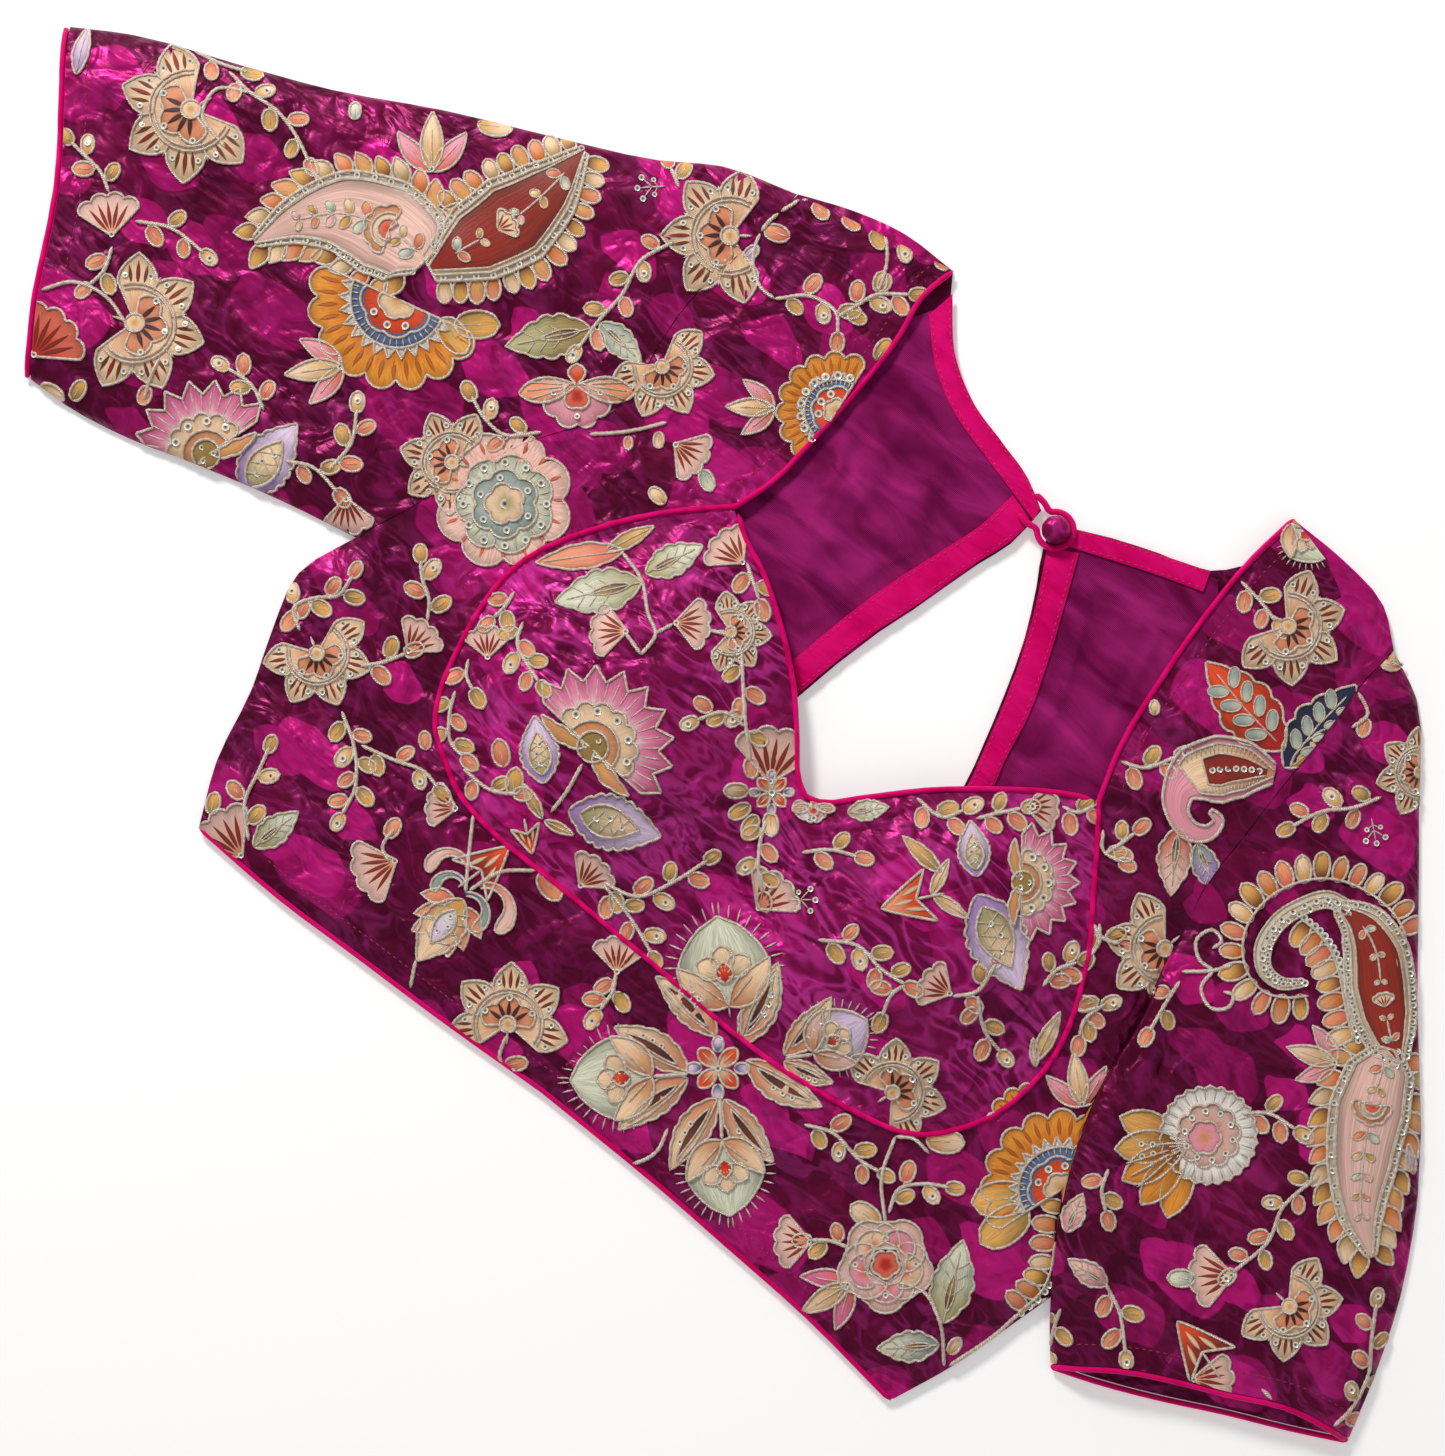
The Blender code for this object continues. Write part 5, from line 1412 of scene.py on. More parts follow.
def frill(h, colour="orange"):
    """A frilled orange edge, white points, a blue ladder band and coral scales within it."""
    h.wheel((0, 0), 0, 90, 0.5, 1.0, "amber", "orange", lobes=8, bite=0.12)
    h.strokes((0, 0), np.linspace(-82, 82, 17), 0.66, 0.9, 0.05, "amber", 0.62)
    silver = colour == "silver"
    h.wheel((0, 0), 0, 90, 0.0, 0.66, "slate" if silver else "grey", "white", lobes=13, bite=0.2,
            pointed=True, lift=0.6)
    h.wheel((0, 0), 0, 90, 0.3, 0.53, "slate", "slate", lift=0.8)
    h.rays((0, 0), np.linspace(-84, 84, 20), 0.43, 0.52, 0.42, 1.2)
    if silver:
        h.ring((0, 0), np.linspace(-80, 80, 9), 0.6, 1.8, 1.4)
    h.wheel((0, 0), 0, 90, 0.0, 0.42, "salmon", "coral", lobes=4, bite=0.1, lift=1.0)
    h.wheel((0, 0), 0, 90, 0.0, 0.22, "gold", "cream", lobes=3, bite=0.15, lift=1.3)
    h.ring((0, 0), (-40, 0, 40), 0.3, 1.7, 1.7)


def peony(h):
    """Salmon petals all round, then silver, lilac and sage rings, thick with sequins."""
    h.wheel((0, 0), 0, 180, 0.3, 1.0, "salmon", "pale", lobes=8, bite=0.16)
    h.strokes((0, 0), np.linspace(-180, 157, 16), 0.7, 0.9, 0.05, "salmon", 0.6)
    h.wheel((0.06, 0.02), 12, 180, 0.0, 0.72, "grey", "mint", lobes=7, bite=0.16, lift=0.7)
    h.rays((0.06, 0.02), np.linspace(-180, 165, 24), 0.5, 0.66, 0.34, 1.0)
    h.wheel((0.06, 0.02), 30, 180, 0.0, 0.5, "lilac", "grey", lobes=6, bite=0.18, lift=1.1)
    h.wheel((0.06, 0.02), 50, 180, 0.0, 0.3, "sage", "cream", lobes=5, bite=0.2, lift=1.5)
    h.ring((0.06, 0.02), np.linspace(-180, 150, 12), 0.6, 1.7, 1.6)
    h.ring((0.06, 0.02), np.linspace(-170, 120, 6), 0.38, 1.5, 1.9)
    h.ring((0.06, 0.02), (0,), 0.0, 2.2, 2.2)


def rose(h):
    """Five overlapping shell petals round a coral heart."""
    for k, turn in enumerate(np.linspace(0, 288, 5)):
        ahead = 0.42 * compass(math.radians(turn))
        h.wheel(ahead, turn, 130, 0.0, 0.58, ("pale", "rose", "salmon")[k % 3], "pale",
                lobes=3, bite=0.12, lift=0.3 + 0.12 * k)
        h.wheel(ahead, turn, 100, 0.0, 0.36, "salmon", ("rose", "cream")[k % 2], lift=0.6 + 0.1 * k)
    h.wheel((0, 0), 0, 180, 0.0, 0.3, "crimson", "salmon", lobes=5, bite=0.2, lift=1.2)
    h.ring((0, 0), (0, 90, 180, 270), 0.62, 1.2, 1.4)


def quatrefoil(h):
    """Four coral petals on the diagonals and four small lilac ones between them."""
    for turn in (45, 135, 225, 315):
        h.blade((0, 0), turn, 1.25, 0.7, "cream", "coral", kind="petal")
        h.rays((0, 0), (turn,), 0.35, 1.0, 0.3, 0.95)
    for turn in (0, 90, 180, 270):
        h.blade(0.72 * compass(math.radians(turn)), turn, 0.75, 0.5, "slate", "violet", kind="oval")
    h.ring((0, 0), (0,), 0.0, 1.5, 1.2)


def lotus(h, colour="mint"):
    """A squat pointed head with spikes round it, a sage palmette, and two sepals at its base."""
    grid = h.blade((0.06, 0), 0, 0.94, 1.12, "mint", "violet" if colour == "lilac" else colour,
                   kind="onion", puff=0.6)
    for edge in (grid[:, 0], grid[:, -1]):
        spots = at(edge, np.linspace(0.3, 0.98, 11))
        for spot, out in zip(spots, unit(spots - (0.42, 0))):
            h.line(np.array([spot + out * 0.02, spot + out * 0.17]), 0.38, 0.35)
    for turn in (-58, 58, 0):
        h.blade((0.34, 0), turn, 0.34, 0.26, "sage", "cream", lift=0.95, kind="petal")
    h.blade((0.26, 0), 0, 0.24, 0.2, "crimson", "coral", lift=1.3)
    for side in (1, -1):
        h.blade((0, 0), side * 46, 0.72, 0.32, "tan", "cream" if colour == "mint" else "pale",
                lift=0.9, bend=-side * 30)
        h.line([(0.06, side * 0.05), (0.3, side * 0.3)], 0.36, 1.5)
    h.rays((0, 0), (180,), 0.0, 0.12, 0.5)


def butterfly(h):
    """Two pleated wings that spread sideways over a pink skirt with a red heart."""
    h.wheel((0.3, 0), 0, 120, 0.0, 0.62, "pale", "rose", lobes=6, bite=0.14)
    h.wheel((0.36, 0), 0, 180, 0.0, 0.24, "crimson", "salmon", lobes=4, bite=0.2, lift=0.8)
    for side in (1, -1):
        h.blade((0.18, 0), side * 82, 1.0, 0.42, "pale", "peach", kind="petal", lift=0.7)
        h.rays((0.18, 0), (side * 74, side * 84, side * 94), 0.25, 0.85, 0.3, 1.2)
    h.blade((0.16, 0), 180, 0.34, 0.3, "coral", "salmon", kind="petal", lift=0.6)
    h.ring((0.3, 0), (90, -90, 0), 0.4, 1.3, 1.4)


def ringflower(h):
    """A ring of white and pink points on one side, golden petals fanned out on the other."""
    for k, turn in enumerate((228, 132, 204, 156, 180)):
        h.blade((0.06, 0), turn, 1.32, 0.56, "brown", "gold" if k % 2 else "orange",
                kind="petal", lift=0.3 + 0.12 * k)
    h.rays((0, 0), (168, 180, 192), 0.3, 1.1, 0.4, 1.5)
    h.wheel((0.42, 0), 0, 180, 0.0, 0.86, "rose", "white", lobes=26, bite=0.07, pointed=True,
            lift=0.7)
    h.rays((0.42, 0), np.linspace(-180, 166, 26), 0.6, 0.78, 0.34, 1.0)
    h.wheel((0.42, 0), 0, 180, 0.0, 0.56, "salmon", "pale", lobes=10, bite=0.15, lift=1.0)
    h.wheel((0.34, 0), 0, 180, 0.0, 0.3, "peach", "rose", lobes=6, bite=0.15, lift=1.3)
    h.ring((0.42, 0), np.linspace(-180, 144, 10), 0.42, 1.4, 1.7)
    h.ring((0, 0), (150, 165), 0.6, 1.3, 1.6)
    h.ring((0, 0), (150, 165), 0.8, 1.3, 1.6)


# %% Leaves, buds and sprigs


def lilac(h):
    """A frilled lilac leaf with a sage heart under couched crossed cords."""
    h.blade((0, 0), 0, 1.0, 0.6, "lilac", "violet", teeth=9, bite=0.13)
    h.blade((0.12, 0), 0, 0.64, 0.34, "sage", "cream", lift=0.7)
    for x in (0.22, 0.36, 0.5):
        h.line([(x, -0.13), (x + 0.14, 0.1)], 0.3, 1.15)
        h.line([(x, 0.13), (x + 0.14, -0.1)], 0.3, 1.15)
    h.sequins([(0.3, 0), (0.44, 0.04), (0.58, -0.02)], 1.3, 1.4)


LEAVES = {"olive": ("olive", "sage"), "grey": ("grey", "mint"), "sage": ("sage", "mint"),
          "coral": ("crimson", "coral"), "navy": ("navy", "navy"), "peach": ("salmon", "pale"),
          "lilac": ("grey", "lilac"), "pink": ("rose", "pale")}


def bigleaf(h, colour="sage"):
    """A lobed leaf with a slit and side veins; a dark one carries a sprig instead."""
    base, tip = LEAVES[colour]
    h.blade((0, 0), 0, 1.0, 0.52, base, tip, teeth=5, bite=0.16)
    if colour in ("coral", "navy"):
        h.line([(0.1, 0), (0.5, 0.02), (0.86, 0)], 0.4, 0.8)
        for x in (0.2, 0.36, 0.52, 0.68):
            for side in (1, -1):
                h.blade((x, side * 0.02), side * 48, 0.19, 0.1, "mint", "grey", lift=0.8,
                        edge=0.34, kind="oval")
        return
    h.blade((0.12, 0), 0, 0.5, 0.11, "dark", "olive", lift=0.72, puff=0.1, edge=0.36)
    h.line([(0, 0), (0.86, 0)], 0.34, 0.85)
    for x in (0.34, 0.5, 0.66):
        for side in (1, -1):
            h.line([(x, side * 0.02), (x + 0.13, side * 0.14)], 0.28, 0.8)


def beige(h):
    """A long cream leaf split by a dark channel, edged and veined in gold cord."""
    h.blade((0, 0), 0, 1.0, 0.4, "peach", "cream", bend=16, teeth=6, bite=0.12)
    h.blade((0.14, -0.01), 0, 0.72, 0.1, "dark", "brown", lift=0.75, puff=0.05, edge=0.42, bend=14)
    h.line([(0, 0), (0.3, 0.05), (0.6, 0.07), (0.9, 0.03)], 0.42, 0.9)
    h.sequins([(0.42, -0.1), (0.54, -0.1), (0.66, -0.09)], 1.2, 1.2)


SINGLES = {"peach": ("salmon", "peach"), "cream": ("gold", "cream"), "gold": ("olive", "gold"),
           "olive": ("olive", "gold"), "grey": ("grey", "mint"), "lilac": ("lilac", "violet"),
           "pink": ("rose", "pale")}


def oval(h, colour="cream"):
    """One small round leaf with a couched centre."""
    h.blade((0, 0), 0, 1.0, 0.6, *SINGLES[colour], kind="oval")
    h.line([(0.08, 0), (0.62, 0)], 0.26, 0.75)


def blade(h, colour="cream"):
    """One long leaf with a centre cord."""
    h.blade((0, 0), 0, 1.0, 0.3, *SINGLES[colour], teeth=4, bite=0.1)
    h.line([(0.05, 0), (0.9, 0)], 0.34, 0.8)


def sprout(h, colour="rose"):
    """Three leaves: one ahead and one to each side."""
    outer = "rose" if colour == "rose" else colour
    for side in (1, -1):
        h.blade((0, 0), side * 40, 0.86, 0.32, "salmon", outer, bend=-side * 16)
        h.rays((0, 0), (side * 42,), 0.1, 0.6, 0.3, 0.85)
    h.blade((0, 0), 0, 1.0, 0.36, "gold", "cream", lift=0.55)
    h.rays((0, 0), (0,), 0.05, 0.7, 0.32, 1.05)
    h.ring((0, 0), (0,), 0.05, 1.3, 1.2)


def arrow(h, colour="crimson"):
    """A barbed head: a triangle whose base is notched as 0.3 (1 - |c|), with three pale stripes."""
    base, tip = ("rust", "coral") if colour == "crimson" else ("coral", "peach")
    t, c = np.linspace(0, 1, 9)[:, None], np.linspace(-1, 1, 9)[None, :]
    grid = np.stack([t + (1 - t) * 0.3 * (1 - np.abs(c)), 0.52 * (1 - t) ** 0.9 * c], axis=-1)
    h.fill(grid, base, tip, 0.3, 0.4)
    for ring in (grid[:, 0], grid[:, -1], grid[0]):
        h.line(ring, 0.62, 0.6)
    for side in (1, 0, -1):
        h.blade((0.36 - 0.2 * abs(side), side * 0.24), -side * 16, 0.42, 0.09, "cream", "cream",
                0.8, 0.1, edge=0, columns=3)
    h.line([(0.3, 0), (-0.25, 0.04)], 0.6, 0.8)


def comma(h, colour="pink", side=1):
    """A hook that thickens to its round end; side is which way it curls."""
    base, tip = ("salmon", "pale") if colour == "pink" else ("slate", "grey")
    h.blade((0, 0), side * 48, 1.45, 0.42, base, tip, bend=side * 175, kind="club")


def hook(h, colour="pink"):
    """A comma that curls the other way."""
    comma(h, colour, -1)


def artichoke(h):
    """A scaly gold bud with pink sepals, coming to a long point."""
    for side in (1, -1):
        for x, turn, size in ((0.1, 62, 0.42), (0.24, 44, 0.42), (0.42, 32, 0.36)):
            h.blade((x, side * 0.08), side * turn, size, 0.2, "salmon", "peach", lift=0.3)
    h.blade((0.04, 0), 0, 0.94, 0.56, "gold", "cream", lift=0.6, teeth=5, bite=0.1)
    h.blade((0.2, 0), 0, 0.5, 0.24, "white", "violet", lift=1.0)
    for x in (0.16, 0.3, 0.44, 0.58):
        h.line([(x, -0.2), (x + 0.1, 0), (x, 0.2)], 0.3, 1.15)
    h.sequins([(0.3, 0.0), (0.42, 0.05), (0.54, -0.03)], 1.2, 1.5)


def tribud(h):
    """A tiny forked twig with white knots."""
    h.line([(0, 0), (0.5, 0)], 0.36, 0.4)
    h.rays((0.45, 0), (-48, 0, 48), 0.0, 0.42, 0.32, 0.4)
    h.rays((0.25, 0), (-60, 60), 0.0, 0.26, 0.32, 0.4)
    h.ring((0.45, 0), (-48, 0, 48), 0.5, 1.3, 0.7)
    h.sequins([(0.38, 0.26), (0.38, -0.26)], 1.1, 0.7)


VINE_LEAVES = ("peach", "cream", "gold", "peach", "olive")


def vine(h, points, count):
    """A twisted stem with round leaves on both sides in turn, and one at its end."""
    h.move(0, 0, 1, 0)
    line = smooth_line(points, 8) if len(points) > 2 else at(np.array(points, float),
                                                            np.linspace(0, 1, 9))
    h.line(line, 0.85, 0.6)
    if not count:
        return
    shares = (np.arange(count) + 0.6) / count
    for k, (spot, turn) in enumerate(zip(at(line, shares), heading(line, shares, 0.02))):
        lean = 0 if k == count - 1 else (52 if k % 2 else -52)
        size = h.random.uniform(9.0, 11.0)
        h.move(*spot, size, turn + lean)
        h.line([(0, 0), (0.24, 0)], 0.6, 0.5)
        oval_leaf = VINE_LEAVES[(k + len(points)) % 5]
        h.blade((0.14, 0), 0, 0.9, 0.58, *SINGLES[oval_leaf], kind="oval")
        if oval_leaf == "cream":
            h.sequins([(0.66, 0)], 1.5, 1.0)
        else:
            h.line([(0.34, 0), (0.8, 0)], 0.26, 0.78)


# %% Paisleys, bands and beads


def scallops(h, line, side, pitch, size, lean, colours, kind="petal"):
    """Small petals along a line, all leaning the same way, each edged in cord."""
    count = max(2, int(length_of(line) / pitch))
    shares = (np.arange(count) + 0.5) / count
    for k, (spot, turn) in enumerate(zip(at(line, shares), heading(line, shares, 0.01))):
        h.move(*spot, size * h.random.uniform(0.88, 1.1), turn + side * lean)
        h.blade((-0.12, 0), 0, 1.12, pitch * 0.98 / size, *colours[k % len(colours)], lift=0.25,
                kind=kind)


def wide_line(points, widths, columns=7):
    """A grid along a smooth path, from edge to edge of its changing width."""
    spine = smooth_line(points, 7)
    half = np.interp(np.linspace(0, 1, len(spine)), np.linspace(0, 1, len(widths)), widths)
    side = leftward(unit(np.gradient(spine, axis=0))) * half[:, None]
    return spine[:, None] + side[:, None] * np.linspace(-1, 1, columns)[:, None], spine


def half_moon(h):
    """A small flower: a gold crescent round a coral dot."""
    h.wheel((0, 0), 0, 100, 0.0, 1.0, "gold", "tan", lobes=5, bite=0.12, lift=1.3)
    h.wheel((0, 0), 0, 100, 0.0, 0.66, "cream", "cream", lift=1.55)
    h.wheel((0, 0), 0, 120, 0.0, 0.42, "coral", "salmon", lift=1.8)


def sprig(h, line, half, count):
    """A stem with small knots of leaves on both sides, on a paisley's ground."""
    h.move(0, 0, 1, 0)
    h.line(line, 0.5, 1.3)
    shares = np.linspace(0.06, 0.98, count)
    for k, (spot, turn) in enumerate(zip(at(line, shares), heading(line, shares, 0.02))):
        for side in (1, -1):
            h.move(*spot, half * (1.0 - 0.5 * k / count), turn + side * 58)
            leaf = ("peach", "cream", "grey", "olive", "pink")[(k + (side > 0) * 2) % 5]
            h.blade((0.12, 0), 0, 1.0, 0.62, *SINGLES[leaf], lift=1.25, edge=0.42, kind="oval")


def paisley(h, colour, points, widths):
    """A curved drop: petals round it, a gold band with sequins, and a sprig on its ground."""
    widths = np.array(widths, float)
    outer, spine = wide_line(points, widths)
    left, right = outer[:, -1], outer[:, 0]
    leafy = colour == "pale"
    colours = (("brown", "gold"), ("olive", "cream"), ("amber", "peach"), ("gold", "tan"))
    if colour in ("pale", "rust"):
        for line, side in ((left, 1), (right, -1)):
            scallops(h, line, side, 7.6 if leafy else 6.6, 11.0 if leafy else 9.5,
                     132 if leafy else 86, colours, "leaf" if leafy else "oval")
    h.move(0, 0, 1, 0)
    edge = "rose" if colour == "curl" else "zari"
    h.strip(outer, edge, edge, 0.6, 0.35, 0.75, 0.9)
    if colour == "curl":
        curl_heart(h, points, widths, spine)
        return
    cream, _ = wide_line(points, np.maximum(widths - 2.9, 0.5))
    h.strip(cream, "cream", "cream", 0.9, 0.3, 0.6, 1.2)
    room = np.maximum(widths - (3.4 if leafy else 5.0), 0.4)
    inner, _ = wide_line(points, room)
    ground = "pale" if leafy else "rust"
    h.strip(inner, ground, ground, 1.1, 0.3, 0.45, 1.25)
    bands = np.vstack([(left + cream[:, -1]) / 2, (right + cream[:, 0]) / 2])
    h.sequins(bands[1::2], 1.35, 1.35)
    count = len(spine)
    widest = room.max()
    sprig(h, spine[count * 55 // 100:count // 6:-1] if leafy else spine[count // 6:count // 2],
          widest * 0.42, 5 if leafy else 3)
    sprig(h, spine[-count // 6:-count // 3:-1], widest * 0.4, 2)
    ahead = spine[count // 2] - spine[count * 3 // 5]
    turn = math.degrees(math.atan2(ahead[1], ahead[0]))
    h.move(*spine[count * 62 // 100], widest * 0.62, turn)
    if leafy:
        half_moon(h)
        return
    h.wheel((0, 0), 0, 55, 0.0, 1.0, "peach", "cream", lobes=4, bite=0.1, lift=1.3)
    h.strokes((0, 0), (-36, -12, 12, 36), 0.16, 0.8, 0.09, "rust", 1.7)


def curl_heart(h, points, widths, spine):
    """The curled paisley's middle: a laddered cream band round a rust heart with sequins."""
    ladder = wide_line(points, np.maximum(widths - 3.0, 0.4))[0][:24]
    h.strip(ladder, "tan", "cream", 1.0, 0.3, 0.5, 1.15)
    heart = wide_line(points, np.maximum(widths - 7.2, 0.2))[0][2:19]
    h.strip(heart, "rust", "rust", 1.35, 0.2, 0.45, 1.5)
    for k in range(1, 22):
        for a, b in ((0, 1), (-1, -2)):
            h.line(np.array([ladder[k, a], ladder[k, b]]), 0.36, 1.3)
    h.sequins(spine[4:17:2], 1.4, 1.8)


def band(h, colour, points, widths):
    """A curved band of gold cord with rows of sequins; its colour word, always band, is not used.
    """
    h.move(0, 0, 1, 0)
    grid, spine = wide_line(points, widths)
    h.fill(grid, "zari", "zari", 0.7, 0.5)
    for k in (0, 2, 4, 6):
        h.line(grid[:, k], 0.5, 1.0)
    h.sequins(spine[::3], 1.5, 1.6)
    h.sequins(grid[1::3, 1], 1.3, 1.5)


def beads(h, colour, points, widths):
    """Gold petals standing out from one side of a line, with a cord along their feet. The
    colour word says which side; no widths are read."""
    h.move(0, 0, 1, 0)
    line = smooth_line(points, 6)
    h.line(line, 0.6, 0.9)
    colours = (("brown", "gold"), ("amber", "tan"), ("salmon", "peach"), ("gold", "cream"))
    scallops(h, line, 1 if colour == "out" else -1, 7.0, 11.0, 84, colours, "oval")
    if colour != "out":
        h.move(0, 0, 1, 0)
        h.sequins(line[::2] + (1.2, 1.2), 1.6, 1.1)


MOTIFS = {motif.__name__: motif for motif in (
    lily, fan, feather, frill, peony, rose, quatrefoil, lotus, butterfly, ringflower, lilac,
    bigleaf, beige, oval, blade, sprout, arrow, comma, hook, artichoke, tribud)}
PATHS = {path.__name__: path for path in (paisley, band, beads)}


def embroider(motifs, vines, paths):
    """Draws a whole layout into one hoop: stems first, then long shapes, then the motifs."""
    h = Hoop()
    for count, points in vines:
        vine(h, points, count)
    for kind, colour, points, widths in paths:
        PATHS[kind](h, colour, points, widths)
    for kind, x, y, size, turn, *colour in motifs:
        h.move(x, y, size, turn)
        MOTIFS[kind](h, *colour)
    print(len(h.patches), "patches,", len(h.cords), "cords,", len(h.discs), "sequins")
    return h


# %% [markdown]
# ## Where the motifs lie
# Where a flower lies is read on an enlarged view of the photograph, and the script turns
# the reading into plan millimetres, so one scale and one turn hold for the whole blouse. One row
# stands for one motif: the view, the kind, the pixel of its base and of its tip, and a thread
# colour where it differs. A stem or vine gives its points, and a vine also its count of leaves.
# A long shape gives its points and its half widths in millimetres. A row that ends in a
# backslash goes on below.

# %% Readings to plan
MM_A_PIXEL = 0.42
ORIGIN_PIXEL = (541, 1115)
LEAN_COSINE, LEAN_SINE = 0.770, 0.638
VIEWS = {
    "ph": (0, 0, 1.0), "a1": (20, 20, 3.684), "a2": (220, 100, 2.8), "b1": (590, 170, 3.25),
    "b2": (200, 440, 3.095), "b3": (380, 800, 2.5), "b4": (430, 500, 2.826),
    "b5": (740, 780, 3.421), "b6": (760, 1040, 2.9545), "b7": (1090, 500, 3.25),
    "b8": (1030, 850, 2.1849)}


def plan_point(view, x, y):
    """A pixel on a view, back on the whole photograph, then turned and scaled about the origin."""
    left, top, zoom = VIEWS[view]
    across, down = left + x / zoom - ORIGIN_PIXEL[0], top + y / zoom - ORIGIN_PIXEL[1]
    return np.array([LEAN_COSINE * across + LEAN_SINE * down,
                     LEAN_SINE * across - LEAN_COSINE * down]) * MM_A_PIXEL


def read_layout(rows):
    """Sorts the rows into motifs (base, size and turn), vines and long shapes."""
    motifs, vines, paths = [], [], []
    for row in rows.strip().splitlines():
        view, kind, *words = row.split()
        names = [word for word in words if word.isalpha()]
        widths = [float(width) for word in words if ":" in word for width in word.split(":")]
        numbers = [int(word) for word in words if word.lstrip("-").isdigit()]
        leaves = numbers.pop() if len(numbers) % 2 else 0
        points = [plan_point(view, x, y) for x, y in zip(numbers[::2], numbers[1::2])]
        if kind in ("vine", "stem"):
            vines.append((leaves, points))
        elif kind in PATHS:
            paths.append((kind, names[0], points, widths))
        else:
            reach = points[1] - points[0]
            motifs.append((kind, *points[0], np.linalg.norm(reach),
                           math.degrees(math.atan2(reach[1], reach[0])), *names))
    return motifs, vines, paths


